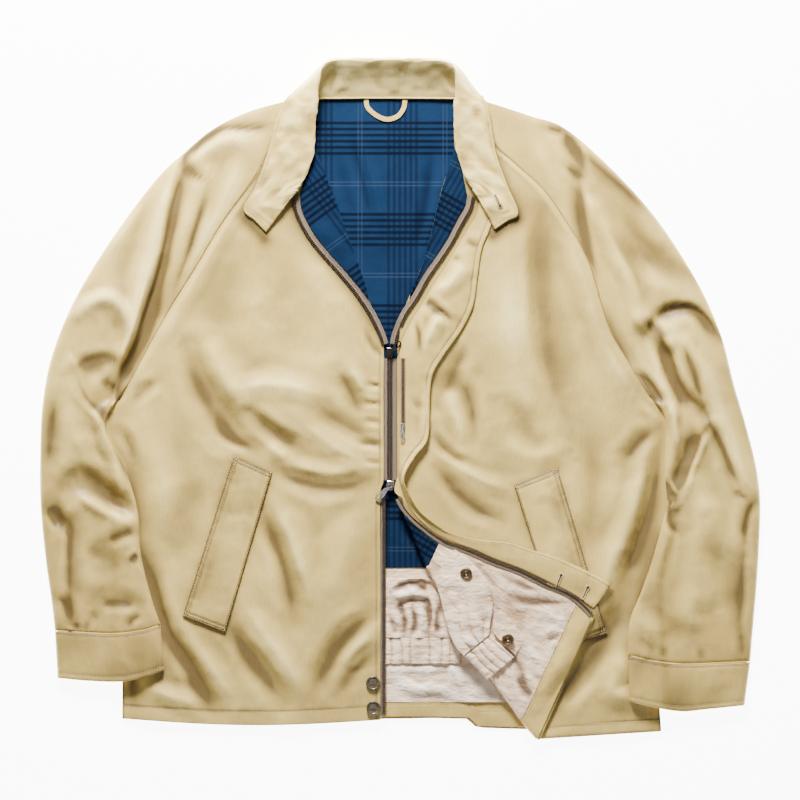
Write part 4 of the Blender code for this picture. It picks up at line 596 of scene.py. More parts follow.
RAGLAN_POINTS = 90       # on the seam lines that the grids of fronts and back follow
SIDE_POINTS = 150


def seam_line(table, side_table):
    """Raglan seam from the neck down and then the side seam, as one fine line."""
    raglan = along(table, np.linspace(0, 1, RAGLAN_POINTS))
    return np.vstack([raglan, along(side_table, np.linspace(0, 1, SIDE_POINTS))[1:]])


# coarse lines that heights and painted shades are measured from
EDGE_LEFT_LINE = along(SIDE_LEFT, np.linspace(0, 1, 13))
EDGE_RIGHT_LINE = along(SIDE_RIGHT, np.linspace(0, 1, 13))
RAGLAN_LEFT_LINE = along(RAGLAN_LEFT, np.linspace(0, 1, 15))
RAGLAN_RIGHT_LINE = along(RAGLAN_RIGHT, np.linspace(0, 1, 17))
NECK_LINE = ZIP_LEFT + ZIP_RIGHT[::-1]
COLLAR_EDGE = [(row[6], row[7]) for row in COLLAR]
# inner edges of the sleeves and cuffs, where they lie on the fronts; the fronts get a painted shadow beside
# them
SLEEVE_OVER_LEFT = [(-315, -88), (-300, -136), (-299, -176), (-279, -233), (-275, -260), (-272, -316)]
SLEEVE_OVER_RIGHT = [(300, -160), (281, -216), (266, -247), (263, -309), (265, -348)]


def front_top(x, y):
    """Height of the top of the fronts: low at the side seams and the hem, with soft folds."""
    x, y = np.asarray(x, float), np.asarray(y, float)
    gap = np.where(x < 0, gap_to(x, y, EDGE_LEFT_LINE), gap_to(x, y, EDGE_RIGHT_LINE))
    inside = ease(0, RAMP, gap)
    hem = 0.62 + 0.38 * ease(-375, -330, y) - 0.42 * ease(296, 346, y)
    relief = folds(x, y, FRONT_FOLDS) * ease(4, 60, gap) * (0.4 + 0.6 * ease(-372, -330, y))
    relief = relief * ease(0, 30, np.abs(x + 12)) * (1 - ease(150, 225, y))
    return EDGE_RISE + (FRONT_RISE - EDGE_RISE) * inside * hem + relief


FULLNESS = 1.35          # how much deeper the creases lie than their tables say
BROAD_FULLNESS = 1.75    # the same for the broad ones


def creases(x, y, table, broad=1.0, crisp=1.0):
    """Height of the creases of a table: crisp along their line, and fading out towards its ends.

    Creases that are broad on both sides count for the share broad of their height, the others for crisp.
    """
    x, y = np.asarray(x, float), np.asarray(y, float)
    total = np.zeros(np.shape(x))
    for rise, left, right, points in table:
        reach = 4.2 * max(left, right)
        spots = np.array(points)
        near = (x > spots[:, 0].min() - reach) & (x < spots[:, 0].max() + reach)
        near &= (y > spots[:, 1].min() - reach) & (y < spots[:, 1].max() + reach)
        if not near.any():
            continue
        px, py = x[near], y[near]
        line = along(points, np.linspace(0, 1, 14))
        gap, side, where = line_distance(px, py, line)
        share = where / run_of(line)[-1]
        fade = 0.25 + 0.75 * ease(0, 0.3, share) * (1 - ease(0.7, 1.0, share))
        waver = 1 + 0.12 * np.sin(where / 21.0 + rise * 5) + 0.05 * np.sin(where / 8.0 + left)
        width = np.where(side > 0, left, right) * waver
        wide = max(left, right) > 9 and min(left, right) > 5
        hollow = np.exp(-(gap / width) ** (1.7 if wide else 1.25))
        shoulder = np.exp(-((gap - 2.1 * width) / (0.85 * width)) ** 2)
        full = BROAD_FULLNESS * broad if wide else FULLNESS * crisp
        total[near] += full * rise * fade * (hollow - 0.3 * shoulder)
    return total


NOISE_ROWS, NOISE_COLUMNS = 97, 89


def noise(x, y, size, seed):
    """Soft seeded noise between -1 and 1, its blobs about the given size in millimetres."""
    dots = np.random.default_rng(seed).uniform(-1, 1, (NOISE_ROWS, NOISE_COLUMNS))
    u, v = np.asarray(x, float) / size + 31.7, np.asarray(y, float) / size + 47.3
    i, j = np.floor(u).astype(int), np.floor(v).astype(int)
    fu, fv = ease(0, 1, u - i), ease(0, 1, v - j)
    i, i_next = i % NOISE_ROWS, (i + 1) % NOISE_ROWS
    j, j_next = j % NOISE_COLUMNS, (j + 1) % NOISE_COLUMNS
    a, b, c, d = dots[i, j], dots[i_next, j], dots[i, j_next], dots[i_next, j_next]
    return (a * (1 - fu) + b * fu) * (1 - fv) + (c * (1 - fu) + d * fu) * fv


def rumple(x, y, seed, size=34.0, rise=0.5):
    """Broad soft unevenness with a few finer ridges in it."""
    wx = x + 9 * noise(x, y, size * 1.3, seed + 1)
    wy = y + 9 * noise(x, y, size * 1.3, seed + 2)
    broad = noise(wx, wy, size, seed + 3)
    ridge = 1 - np.abs(noise(wx * 1.1, wy * 0.8, size * 0.62, seed + 4)) * 2.2
    fine = noise(wx, wy, size * 0.28, seed + 5)
    return rise * (broad + 0.45 * np.clip(ridge, -0.4, 1) + 0.16 * fine)


def dip(distance, at, width=0.75, depth=0.38):
    """Groove that a row of stitches pulls into the cloth, at a distance from an edge."""
    return -depth * np.exp(-((distance - at) / width) ** 2)


def pucker(distance, run, at, reach=6.0, rise=0.22, seed=5):
    """Small puckers along a row of stitches."""
    wave = noise(run, run * 0 + at, 5.5, seed) + 0.6 * noise(run, run * 0 + at, 2.9, seed + 1)
    return rise * wave * np.exp(-(np.abs(distance - at) / reach) ** 1.5)


def rolled(distance, radius):
    """Drop of a rounded edge."""
    t = np.clip(1 - np.asarray(distance, float) / radius, 0, 1)
    return -radius * (1 - np.sqrt(np.clip(1 - t * t, 0, 1)))


def offsets(widths, left, right, count):
    """Distances across each row: fixed ones near both edges and even ones between them."""
    rows = []
    for width in widths:
        fit = min(1.0, 0.42 * width / max(left[-1], right[-1], 1e-6))
        a, b = np.array(left) * fit, np.array(right) * fit
        rows.append(np.concatenate([a, np.linspace(a[-1], width - b[-1], count + 2)[1:-1], width - b[::-1]]))
    return np.array(rows)


def across(left, right, left_near, right_near, count):
    """Plan points between two lines, with the distances of each from the left and the right one."""
    step = right - left
    width = np.linalg.norm(step, axis=1)
    from_left = offsets(width, left_near, right_near, count)
    share = from_left / width[:, None]
    plan = left[:, None] + step[:, None] * share[..., None]
    return plan, from_left, width[:, None] - from_left


def raised(plan, height):
    """Plan points with a height each."""
    return np.concatenate([plan, np.asarray(height, float)[..., None]], axis=-1)


def grid_normals(grid):
    """Unit normals of a grid of points, pointing up where rows run down and columns to the right."""
    way = np.cross(np.gradient(grid, axis=0), np.gradient(grid, axis=1))
    return way / np.maximum(np.linalg.norm(way, axis=2, keepdims=True), 1e-9)


def painted_light_of(relief, depth=2.6):
    """Painted shade (down to -1) in troughs and painted highlight (up to 1) on ridges, from a relief in
    millimetres.
    """
    return np.clip(np.asarray(relief, float) / depth, -1, 1)


# ================================================================ meshes
PIECES = {}


def add_values(mesh, cloth, painted_light):
    """Gives points their place on the cloth, and their painted light, from -1 (deepest painted shade) to 1
    (brightest painted highlight).
    """
    layer = mesh.attributes.new("cloth", "FLOAT_VECTOR", "POINT")
    layer.data.foreach_set("vector", np.asarray(cloth, np.float32).ravel())
    if painted_light is not None:
        layer = mesh.attributes.new("painted_light", "FLOAT", "POINT")
        layer.data.foreach_set("value", np.asarray(painted_light, np.float32).ravel())


def finished(name, mesh, finish, cloth, painted_light, angle):
    """Makes a mesh one of the pieces, with its cloth coordinates and its material."""
    mesh.validate()
    mesh.shade_smooth()
    mesh.set_sharp_from_angle(angle=math.radians(angle))
    add_values(mesh, cloth, painted_light)
    mesh.materials.append(material(finish))
    thing = bpy.data.objects.new(name, mesh)
    bpy.context.scene.collection.objects.link(thing)
    PIECES[name] = thing


def make_mesh(name, points, faces, finish, cloth, painted_light):
    """A piece from points in millimetres and quads, turned to face outwards."""
    mesh = bpy.data.meshes.new(name)
    tri = np.vstack([faces[:, [0, 1, 2]], faces[:, [0, 2, 3]]])
    a, b, c = points[tri[:, 0]], points[tri[:, 1]], points[tri[:, 2]]
    if np.einsum("ij,ij->i", a, np.cross(b, c)).sum() < 0:
        faces = faces[:, ::-1]
    mesh.from_pydata((points * MM).tolist(), [], faces.tolist())
    finished(name, mesh, finish, cloth, painted_light, 50)


def grid_faces(rows, columns, start=0):
    """Quads between the points of a grid."""
    r, c = np.meshgrid(np.arange(rows - 1), np.arange(columns - 1), indexing="ij")
    a = (start + r * columns + c).ravel()
    return np.stack([a, a + columns, a + columns + 1, a + 1], axis=1)


def ring_faces(rings, around):
    """Quads between the points of a stack of closed rings."""
    r, c = np.meshgrid(np.arange(rings - 1), np.arange(around), indexing="ij")
    a = (r * around + c).ravel()
    b = (r * around + (c + 1) % around).ravel()
    return np.stack([a, a + around, b + around, b], axis=1)


def cap_faces(start, around, hub):
    """Triangles from a ring to its hub, written as quads with a repeated corner."""
    k = np.arange(around)
    j = (k + 1) % around
    return np.stack([start + k, start + j, np.full(around, hub), np.full(around, hub)], axis=1)


def twice(values):
    """Values of the points of both faces of a wall."""
    return None if values is None else np.concatenate([values, values])


def shell(name, top, under, finish, cloth, painted_light=None):
    """A closed wall between two grids of points with the same rows and columns."""
    rows, columns = top.shape[:2]
    count = rows * columns
    points = np.concatenate([top.reshape(-1, 3), under.reshape(-1, 3)])
    up = grid_faces(rows, columns)
    down = grid_faces(rows, columns, count)[:, ::-1]
    rim = [(0, c) for c in range(columns)] + [(r, columns - 1) for r in range(1, rows)]
    rim += [(rows - 1, c) for c in range(columns - 2, -1, -1)] + [(r, 0) for r in range(rows - 2, 0, -1)]
    rim = np.array([r * columns + c for r, c in rim])
    nxt = np.roll(rim, -1)
    wall = np.stack([rim, nxt, nxt + count, rim + count], axis=1)
    make_mesh(name, points, np.vstack([up, down, wall]), finish, twice(cloth), twice(painted_light))


def sheet_between(name, grid, low, high, finish, cloth, painted_light):
    """A closed wall between two distances from its middle surface."""
    normal = grid_normals(grid)
    shell(name, grid + normal * high, grid + normal * low, finish, cloth, painted_light)


def tube_shell(name, outer, inner, finish, cloth, painted_light):
    """A wall between two stacks of rings, open at both ends."""
    rings, around = outer.shape[:2]
    count = rings * around
    points = np.concatenate([outer.reshape(-1, 3), inner.reshape(-1, 3)])
    out = ring_faces(rings, around)
    inside = out[:, ::-1] + count
    k = np.arange(around)
    j = (k + 1) % around
    last = (rings - 1) * around
    first_rim = np.stack([k, j, j + count, k + count], axis=1)
    last_rim = np.stack([last + j, last + k, last + k + count, last + j + count], axis=1)
    make_mesh(name, points, np.vstack([out, inside, first_rim, last_rim]), finish, twice(cloth), twice(painted_light))


def cord_tube(line, radius, sides=8, twist=0.0, lobes=0):
    """A round or twisted piping along a line of points, closed at both ends."""
    line = np.asarray(line, float)
    way = np.gradient(line, axis=0)
    way /= np.linalg.norm(way, axis=1, keepdims=True)
    side = np.cross(way, [0.0, 0.0, 1.0])
    side /= np.maximum(np.linalg.norm(side, axis=1, keepdims=True), 1e-9)
    lift = np.cross(side, way)
    angles = np.linspace(0, 2 * math.pi, sides, endpoint=False)
    run = run_of(line)
    wide = radius * (1 + 0.16 * np.cos(lobes * angles[None, :] + twist * run[:, None])) if lobes else radius
    wide = np.broadcast_to(wide, (len(line), sides))
    ring = line[:, None] + (np.cos(angles)[None, :, None] * side[:, None]
                            + np.sin(angles)[None, :, None] * lift[:, None]) * wide[..., None]
    points = np.concatenate([ring.reshape(-1, 3), line[[0, -1]]])
    hub = len(line) * sides
    far_cap = cap_faces(hub - sides, sides, hub + 1)[:, [1, 0, 2, 3]]
    return points, np.vstack([ring_faces(len(line), sides), cap_faces(0, sides, hub), far_cap])


def joined(name, parts, finish, angle=50):
    """One object from many small closed meshes of quads, some of them with a repeated corner."""
    points, quads, triangles, start = [], [], [], 0
    for spots, faces in parts:
        faces = np.asarray(faces) + start
        points.append(spots)
        start += len(spots)
        pinched = faces[:, 2] == faces[:, 3]
        quads.append(faces[~pinched])
        triangles.append(faces[pinched][:, :3])
    points = np.concatenate(points)
    faces = np.concatenate(quads).tolist() + np.concatenate(triangles).tolist()
    mesh = bpy.data.meshes.new(name)
    mesh.from_pydata((points * MM).tolist(), [], faces)
    mesh.validate()
    work = bmesh.new()
    work.from_mesh(mesh)
    bmesh.ops.recalc_face_normals(work, faces=work.faces)
    work.to_mesh(mesh)
    work.free()
    finished(name, mesh, finish, points, None, angle)


def spaced_along(line, pitch, start=0.0):
    """Points and directions at an even pitch along a line in space."""
    line = np.asarray(line, float)
    run = run_of(line)
    where = np.arange(start + pitch / 2, run[-1], pitch)
    spot = np.stack([np.interp(where, run, line[:, k]) for k in range(3)], axis=-1)
    ahead = np.stack([np.interp(where + 0.4, run, line[:, k]) for k in range(3)], axis=-1)
    behind = np.stack([np.interp(where - 0.4, run, line[:, k]) for k in range(3)], axis=-1)
    way = ahead - behind
    way /= np.maximum(np.linalg.norm(way, axis=1, keepdims=True), 1e-9)
    return spot, way


STITCH = 2.3             # length of a stitch, millimetres
STITCH_PITCH = 3.1
THREAD = 0.34            # half its width
THREAD_LIFT = 0.02       # of the stitch's middle above the cloth
THREAD_SINK = 0.12       # of its two tips into the cloth


def stitches(line):
    """Stitches along a line in space, each a slim spindle that dips into the cloth at both ends."""
    spot, way = spaced_along(line, STITCH_PITCH)
    side = np.cross(way, np.array([0.0, 0.0, 1.0]))
    side /= np.maximum(np.linalg.norm(side, axis=1, keepdims=True), 1e-9)
    lift = np.cross(side, way)
    parts = []
    tips = STITCH / 2
    body = STITCH * 0.3
    for p, w, s, u in zip(spot, way, side, lift):
        ring = []
        for t in (-body, body):
            for a, b in ((1, 0), (0, 1.25), (-1, 0), (0, -0.8)):
                ring.append(p + w * t + s * a * THREAD + u * (b * THREAD + THREAD_LIFT))
        points = np.array([p - w * tips - u * THREAD_SINK] + ring + [p + w * tips - u * THREAD_SINK])
        faces = [(0, 1 + k, 1 + (k + 1) % 4, 1 + (k + 1) % 4) for k in range(4)]
        faces += [(1 + k, 5 + k, 5 + (k + 1) % 4, 1 + (k + 1) % 4) for k in range(4)]
        faces += [(5 + (k + 1) % 4, 5 + k, 9, 9) for k in range(4)]
        parts.append((points, np.array(faces)))
    return parts


# ================================================================ heights of the shell
def front_relief(x, y, broad=1.0):
    """Creases and rumples of the fronts beyond their largest folds."""
    gap = np.where(x < 0, gap_to(x, y, EDGE_LEFT_LINE, RAGLAN_LEFT_LINE),
                   gap_to(x, y, EDGE_RIGHT_LINE, RAGLAN_RIGHT_LINE))
    calm = ease(0, 14, np.abs(x + 11.5)) * ease(1, 16, gap)
    for bx, by in BUTTONS.values():
        calm = calm * ease(9, 24, np.hypot(x - bx, y - by))
    upper = 1 - 0.75 * ease(225, 262, y)
    roll = neck_roll(x, y)
    made = creases(x, y, FRONT_CREASES, broad) + rumple(x, y, 11, 46.0, 0.85)
    return made * calm * upper * (1 - roll) - 2.6 * roll


def neck_roll(x, y):
    """Share of the way down to the neck's zip, where the left front turns in."""
    gap = gap_to(x, y, NECK_LINE)
    return np.exp(-(gap / 11.0) ** 1.4) * ease(30, 62, y) * np.where(x < 0, 1.0, 0.25)


def front_height(x, y):
    """Top of the fronts, which stay clear of the lining, and of the wind guard where it lies under them."""
    smooth = front_top(x, y)
    guard = ease(-72, -62, x) * (1 - ease(89, 99, x)) * ease(-316, -306, y) * (1 - ease(-204, -194, y))
    least = np.minimum(smooth, 4.5 + 2.6 * guard) - 0.25
    return least + 0.4 * np.log1p(np.exp((smooth + front_relief(x, y) - least) / 0.4))


def front_painted_light(x, y):
    """Painted light of the fronts: painted shade and highlight from their creases, and painted shadow along
    the side seams, beside the sleeves, under the collar, beside the neck and round the pockets.
    """
    # painted shade along the side seams below the armpits, and painted shadow under the collar's edge
    side = 0.75 * np.exp(-gap_to(x, y, EDGE_LEFT_LINE, EDGE_RIGHT_LINE) / 20.0) * ease(20, -40, y)
    collar_shadow = 1.1 * np.exp(-(gap_to(x + 2, y + 7, COLLAR_EDGE) / 9.0) ** 2)
    # painted shadow beside the sleeves and cuffs that lie on the fronts, and round the pockets
    side = side + 0.8 * np.exp(-gap_to(x, y, SLEEVE_OVER_LEFT, SLEEVE_OVER_RIGHT) / 11.0)
    for corners in (POCKET_LEFT, POCKET_RIGHT):
        side = side + 0.6 * np.exp(-gap_to(x, y, corners + corners[:1]) / 3.2)
    # painted shade beside the neck's zip
    neck_shade = 0.6 * np.exp(-gap_to(x, y, NECK_LINE) / 12.0) * ease(60, 90, y)
    made = painted_light_of(front_relief(x, y, 0.5) + 0.3 * folds(x, y, FRONT_FOLDS), 3.6)
    return made - side - collar_shadow - neck_shade


def seam_swell(distance, y):
    """Soft ridge of a front beside its raglan seam, above the armpit."""
    return 0.9 * np.exp(-((distance - 7) / 4.5) ** 2) * ease(0, 40, y)


def seam_painted_light(distance):
    """Painted highlight on the ridge beside the raglan seam, and painted shade in the seam itself."""
    return 0.35 * np.exp(-((distance - 5) / 4.0) ** 2) - 0.8 * np.exp(-(distance / 1.2) ** 2)


# ================================================================ fronts
# distances from a front's side seam at which its grid has columns, and how many follow them
SEAM_COLUMNS = [0, 0.15, 0.5, 1.2, 2.4, 4.2]
MAIN_COLUMNS = 90


def build_front_left():
    """Left front; returns its rows of stitches."""
    left = shifted(seam_line(RAGLAN_LEFT, SIDE_LEFT), SEAM_GAP)
    cut = run_fractions(left)
    right = along(CENTRE_LEFT, cut)
    edge = [0, 0.15, 0.5, 1.2, 2.2, 3.4, 4.1, ZIP_ROW, 5.3, 6.2, 7.4]
    plan, from_left, from_right = across(left, right, SEAM_COLUMNS, edge, 92)
    share = from_left / (from_left + from_right)
    depth = ease(0.86, 1.0, cut)[:, None] * np.sin(math.pi * share)
    plan[..., 1] -= HEM_SAG * depth
    rows = hem_rows(plan, [0, 0.15, 0.5, 1.3, 2.6, 5.5, 9, 12.5, 15.2, HEM_ROW_LEFT, 16.8, 18.4])
    plan, from_left, from_right = rows(plan), rows(from_left), rows(from_right)
    hem = hem_distance(plan)
    run = line_run(plan)
    x, y = plan[..., 0], plan[..., 1]
    top = front_height(x, y)
    seam_side = np.where(y > 0, 1.5, 1.1)
    top = top + rolled(from_left, seam_side) + rolled(from_right, 0.8) + rolled(hem, 0.8)
    stitched = ease(-104, -92, y) * (1 - ease(44, 62, y)) + 1 - ease(-112, -104, y)
    top = top + dip(from_right, ZIP_ROW) * stitched + pucker(from_right, run, ZIP_ROW, 7, 0.20, 21) * stitched
    top = top + dip(hem, HEM_ROW_LEFT, 0.8, 0.42) + pucker(hem, x, HEM_ROW_LEFT, 8, 0.26, 23)
    top = top + seam_swell(from_left, y)
    top = np.maximum(top, CLOTH + 1.5)
    grid = raised(plan, top)
    # painted highlight on the roll above the hem; painted shade in the hem's and the zip's stitch rows and
    # along the hem's edge
    painted_light = front_painted_light(x, y) + seam_painted_light(from_left) + 0.3 * np.exp(-((hem - 9) / 5.0) ** 2)
    painted_light = painted_light - painted_groove_shade(hem, HEM_ROW_LEFT) - painted_groove_shade(from_right, ZIP_ROW) * stitched - painted_groove_shade(hem, 0.0) * 0.5
    shell("front_left_cloth", grid, raised(plan, top - CLOTH), "khaki", cloth_of(plan, top), painted_light)
    return [column_line(grid, from_right, ZIP_ROW, stitched), row_line(grid, hem, HEM_ROW_LEFT)]


def painted_groove_shade(distance, at, width=0.9, dark=0.8):
    """Painted shade in the groove of a stitch row or a seam, or along an edge."""
    return dark * np.exp(-((distance - at) / width) ** 2)


def cloth_of(plan, top):
    """Cloth coordinates of plan points: their place, and less of their height than they have."""
    return raised(plan, top * 0.7)


def line_run(plan):
    """Distance of each point of a grid from the first row, measured along its column."""
    step = np.linalg.norm(np.diff(plan, axis=0), axis=2)
    return np.vstack([np.zeros((1, plan.shape[1])), np.cumsum(step, axis=0)])


def hem_distance(plan):
    """Distance of each point from the last row, measured along its column."""
    run = line_run(plan)
    return run[-1:] - run


def hem_rows(plan, wanted):
    """A resampler that adds rows at fixed distances from the last row, and spaces the rest evenly."""
    run = line_run(plan)
    mean = run[:, run.shape[1] // 2]
    total = mean[-1]
    places = np.concatenate([np.arange(0, total - wanted[-1] - 1.5, 3.0), total - np.array(wanted[::-1])])
    index = np.interp(places, mean, np.arange(len(mean)))

    def pick(values):
        low = np.clip(np.floor(index).astype(int), 0, len(mean) - 2)
        part = (index - low).reshape((-1,) + (1,) * (values.ndim - 1))
        return values[low] * (1 - part) + values[low + 1] * part

    return pick


def column_line(grid, distance, at, keep=None):
    """The line in space that runs down a grid at a fixed distance from one of its edges."""
    spots = []
    for r in range(grid.shape[0]):
        c = int(np.argmin(np.abs(distance[r] - at)))
        if keep is None or keep[r, c] > 0.5:
            spots.append(grid[r, c])
    return np.array(spots)


def row_line(grid, distance, at):
    """The line in space that runs across a grid at a fixed distance from its last row."""
    r = int(np.argmin(np.abs(distance.mean(axis=1) - at)))
    return grid[r]


# shares of the length of the turned corner at which its rows lie, closer where it begins to turn
CORNER_FINE = np.concatenate([np.linspace(0, 0.12, 22), np.linspace(0.12, 1.0, 128)[1:]])
EDGE_COLUMNS = [0, 1.0]  # distances of the last columns before the curl
MAIN_COUNT = len(SEAM_COLUMNS) + MAIN_COLUMNS + len(EDGE_COLUMNS)
CURL = 10                # columns round the fold
TURNED_FINE = 60         # columns on the part that is turned back
STRIP = 5.0              # width at the zip that curls over first
CORNER_LENGTH = 300.0    # of the turned corner, along the fold
SIDE_ABOVE = 0.36        # share of the side seam that lies above the turned corner
FAR = 99.0               # distance given to points that have no edge near them


def right_front_rows():
    """Middle surface of the right front, from the side seam to the fold and back to the zip."""
    side = shifted(seam_line(RAGLAN_RIGHT, SIDE_RIGHT), -SEAM_GAP)
    upper_count = RAGLAN_POINTS + int(SIDE_POINTS * SIDE_ABOVE)
    side_upper = side[:upper_count]
    side_lower = along(side[upper_count - 1:], CORNER_FINE, smooth=False)
    centre = along(CENTRE_RIGHT, run_fractions(side_upper))
    fold = along(FOLD_EDGE, CORNER_FINE)
    zip_line = along(TURNED_ZIP, CORNER_FINE)
    tangent = np.gradient(fold, axis=0)
    tangent /= np.linalg.norm(tangent, axis=1, keepdims=True)
    outward = np.stack([tangent[:, 1], -tangent[:, 0]], axis=1)
    half = CLOTH / 2
    start_upper = centre[:-1] + np.array([STRIP, 0.0])
    main_upper, left_upper, right_upper = across(side_upper[:-1], start_upper, SEAM_COLUMNS, EDGE_COLUMNS,
                                                 MAIN_COLUMNS)
    start_lower = fold - outward * (FOLD_RADIUS + half)
    main_lower, left_lower, _ = across(side_lower, start_lower, SEAM_COLUMNS, EDGE_COLUMNS, MAIN_COLUMNS)
    grid, from_side = [], []
    for k in range(len(start_upper)):
        narrow = np.linspace(0, 1, CURL + TURNED_FINE + 1)[1:, None]
        narrow = 1 - (1 - narrow) ** 0.55
        strip = start_upper[k] * (1 - narrow) + centre[k] * narrow
        plan = np.vstack([main_upper[k], strip])
        x, y = plan[:, 0], plan[:, 1]
        away = np.concatenate([right_upper[k] + STRIP, STRIP * (1 - narrow[:, 0])])
        lift = front_height(x, y) - half + rolled(away, 0.8)
        grid.append(raised(plan, lift))
        from_side.append(np.concatenate([left_upper[k], np.full(CURL + TURNED_FINE, FAR)]))
    for k, cut in enumerate(CORNER_FINE):
        main = main_lower[k]
        row = list(raised(main, front_height(main[:, 0], main[:, 1]) - half))
        base = row[-1][2]
        turn = math.pi * ease(0.0, 0.06, cut)
        for angle in np.linspace(0, 1, CURL + 1)[1:]:
            t = angle * max(turn, 0.02)
            spread = STRIP * 0.6 * angle * (1 - ease(0.0, 0.06, cut))
            out = FOLD_RADIUS * math.sin(t) + spread
            rise = FOLD_RADIUS * (1 - math.cos(t))
            spot = start_lower[k] + outward[k] * out
            row.append(np.array([spot[0], spot[1], base + rise]))
        back = row[-1]
        settled = ease(0.04, 0.10, cut)
        u = np.linspace(0, 1, TURNED_FINE + 1)[1:, None]
        flat = back[:2] * (1 - u) + zip_line[k] * u
        loose = back[:2] + outward[k] * (math.cos(turn) * 2.0 * u)
        spot = loose * (1 - settled) + flat * settled
        lifted = front_height(spot[:, 0], spot[:, 1]) - half + TURNED
        curl = back[2] + math.sin(turn) * 2.0 * u[:, 0]
        join_up = ease(0, 0.12, u[:, 0])
        lifted = lifted * join_up + back[2] * (1 - join_up)
        row += list(raised(spot, curl * (1 - settled) + lifted * settled))
        grid.append(np.array(row))
        from_side.append(np.concatenate([left_lower[k], np.full(CURL + TURNED_FINE, FAR)]))
    return np.array(grid), np.array(from_side), len(start_upper)


def build_front_right():
    """Right front with its corner; returns its middle surface, the rows above the corner and the stitches."""
    grid, from_side, upper = right_front_rows()
    hem = hem_distance(grid[..., :2])
    x, y = grid[..., 0], grid[..., 1]
    shown = np.arange(grid.shape[1])[None, :] < MAIN_COUNT
    lift = rolled(from_side, 1.4) + seam_swell(from_side, y)
    stitch_row = dip(hem, HEM_ROW_RIGHT, 0.9, 0.42) + pucker(hem, x, HEM_ROW_RIGHT, 8, 0.26, 27)
    lift = lift + np.where(shown, stitch_row, 0)
    lift = lift + np.where(shown, rolled(hem, 0.9), 0)
    grid[..., 2] += lift
    grid[..., 2] = np.maximum(grid[..., 2], CLOTH / 2 + 1.5)
    # painted highlight on the roll above the hem and painted shade in its stitch row, on the part that shows
    painted_light = front_painted_light(x, y) + seam_painted_light(from_side)
    painted_light = painted_light + (0.3 * np.exp(-((hem - 8) / 5.0) ** 2) - painted_groove_shade(hem, HEM_ROW_RIGHT)) * shown
    cloth = cloth_of(grid[..., :2], grid[..., 2])
    sheet_between("front_right_cloth", grid, -CLOTH / 2, CLOTH / 2, "khaki", cloth, painted_light)
    top = grid - grid_normals(grid) * CLOTH / 2
    return grid, upper, [row_line(top[:, :MAIN_COUNT], hem[:, :MAIN_COUNT], HEM_ROW_RIGHT)]


def between_rows(rows, start, stop, extra=()):
    """Rows of the turned corner between two cuts."""
    inside = [c for c in CORNER_FINE if start < c < stop]
    wanted = np.array(sorted(set([start] + inside + [stop] + list(extra))))
    after = np.clip(np.searchsorted(CORNER_FINE, wanted), 1, len(CORNER_FINE) - 1)
    before = CORNER_FINE[after - 1]
    share = (wanted - before) / (CORNER_FINE[after] - before)
    return rows[after - 1] * (1 - share)[:, None, None] + rows[after] * share[:, None, None], wanted


def beside_zip(rows, clearance):
    """The rows with their flat parts shortened to leave a clearance along the zip line."""
    rows = rows.copy()
    flat = rows[:, -TURNED_FINE - 1:].copy()
    step = flat[:, -1, :2] - flat[:, 0, :2]
    reach = np.linalg.norm(step, axis=1)
    way = np.gradient(flat[:, -1, :2], axis=0)
    way /= np.linalg.norm(way, axis=1, keepdims=True)
    slant = np.abs(step[:, 0] * way[:, 1] - step[:, 1] * way[:, 0]) / reach
    share = np.clip(1 - clearance / slant / reach, 0.1, 1.0)
    even = np.linspace(0, 1, TURNED_FINE + 1)
    for k in range(len(rows)):
        for axis in range(3):
            rows[k, -TURNED_FINE - 1:, axis] = np.interp(even * share[k], even, flat[k, :, axis])
    return rows


def build_corner_linings(grid, upper):
    """Check lining, nylon lining and hem facing on the inner side of the turned corner."""
    first = MAIN_COUNT + CURL // 2 - 1
    up = grid_normals(grid)
    tilt = math.radians(-31)
    pieces = [("corner_upper_lining", 0.115, 0.297, "check"), ("corner_lower_lining", 0.299, 0.908, "nylon"),
              ("corner_hem_facing", 0.910, 0.992, "khaki")]
    lines = []
    for name, start, stop, finish in pieces:
        surface = (grid + up * (CLOTH / 2 + CORNER_GAP + LINING))[upper:, first:]
        low = (grid + up * (CLOTH / 2 + CORNER_GAP))[upper:, first:]
        near_ends = (start + 0.0012, start + 0.003, stop - 0.003, stop - 0.0012)
        top, cuts = between_rows(surface, start, stop, near_ends)
        low, _ = between_rows(low, start, stop, near_ends)
        top, low = beside_zip(top, ZIP_TAPE_WIDTH + 0.9), beside_zip(low, ZIP_TAPE_WIDTH + 0.9)
        x, y = top[..., 0], top[..., 1]
        near = ease(4, 14, np.arange(top.shape[1], dtype=float))[None, :]
        from_zip = np.arange(top.shape[1], dtype=float)[::-1][None, :]
        calm = near * ease(0, 4, from_zip)
        end = np.minimum(cuts - start, stop - cuts)[:, None] * CORNER_LENGTH
        relief = (creases(x, y, NYLON_CREASES) + rumple(x, y, 51, 22.0, 0.6)) * ease(0, 5, end) * calm
        if finish == "khaki":
            inner = (cuts - start)[:, None] * CORNER_LENGTH
            relief = relief * 0.7 + dip(inner, CORNER_HEM_ROW, 0.6, 0.3)
            relief = relief + pucker(inner, y, CORNER_HEM_ROW, 5, 0.2, 57)
        # painted shade in troughs and painted highlight on ridges, from the relief
        painted_light = painted_light_of(relief, 1.5)
        relief = relief * 0.8 + rolled(end, 0.6)
        top = top.copy()
        top[..., 2] = np.maximum(top[..., 2] + relief, low[..., 2] + 0.35)
        shell(name + "_cloth", low, top, finish, raised(turned_by(x, y, tilt), top[..., 2]), painted_light)
        if finish == "khaki":
            lines.append(top[int(np.argmin(np.abs((cuts - start) * CORNER_LENGTH - CORNER_HEM_ROW))), 3:])
    return lines


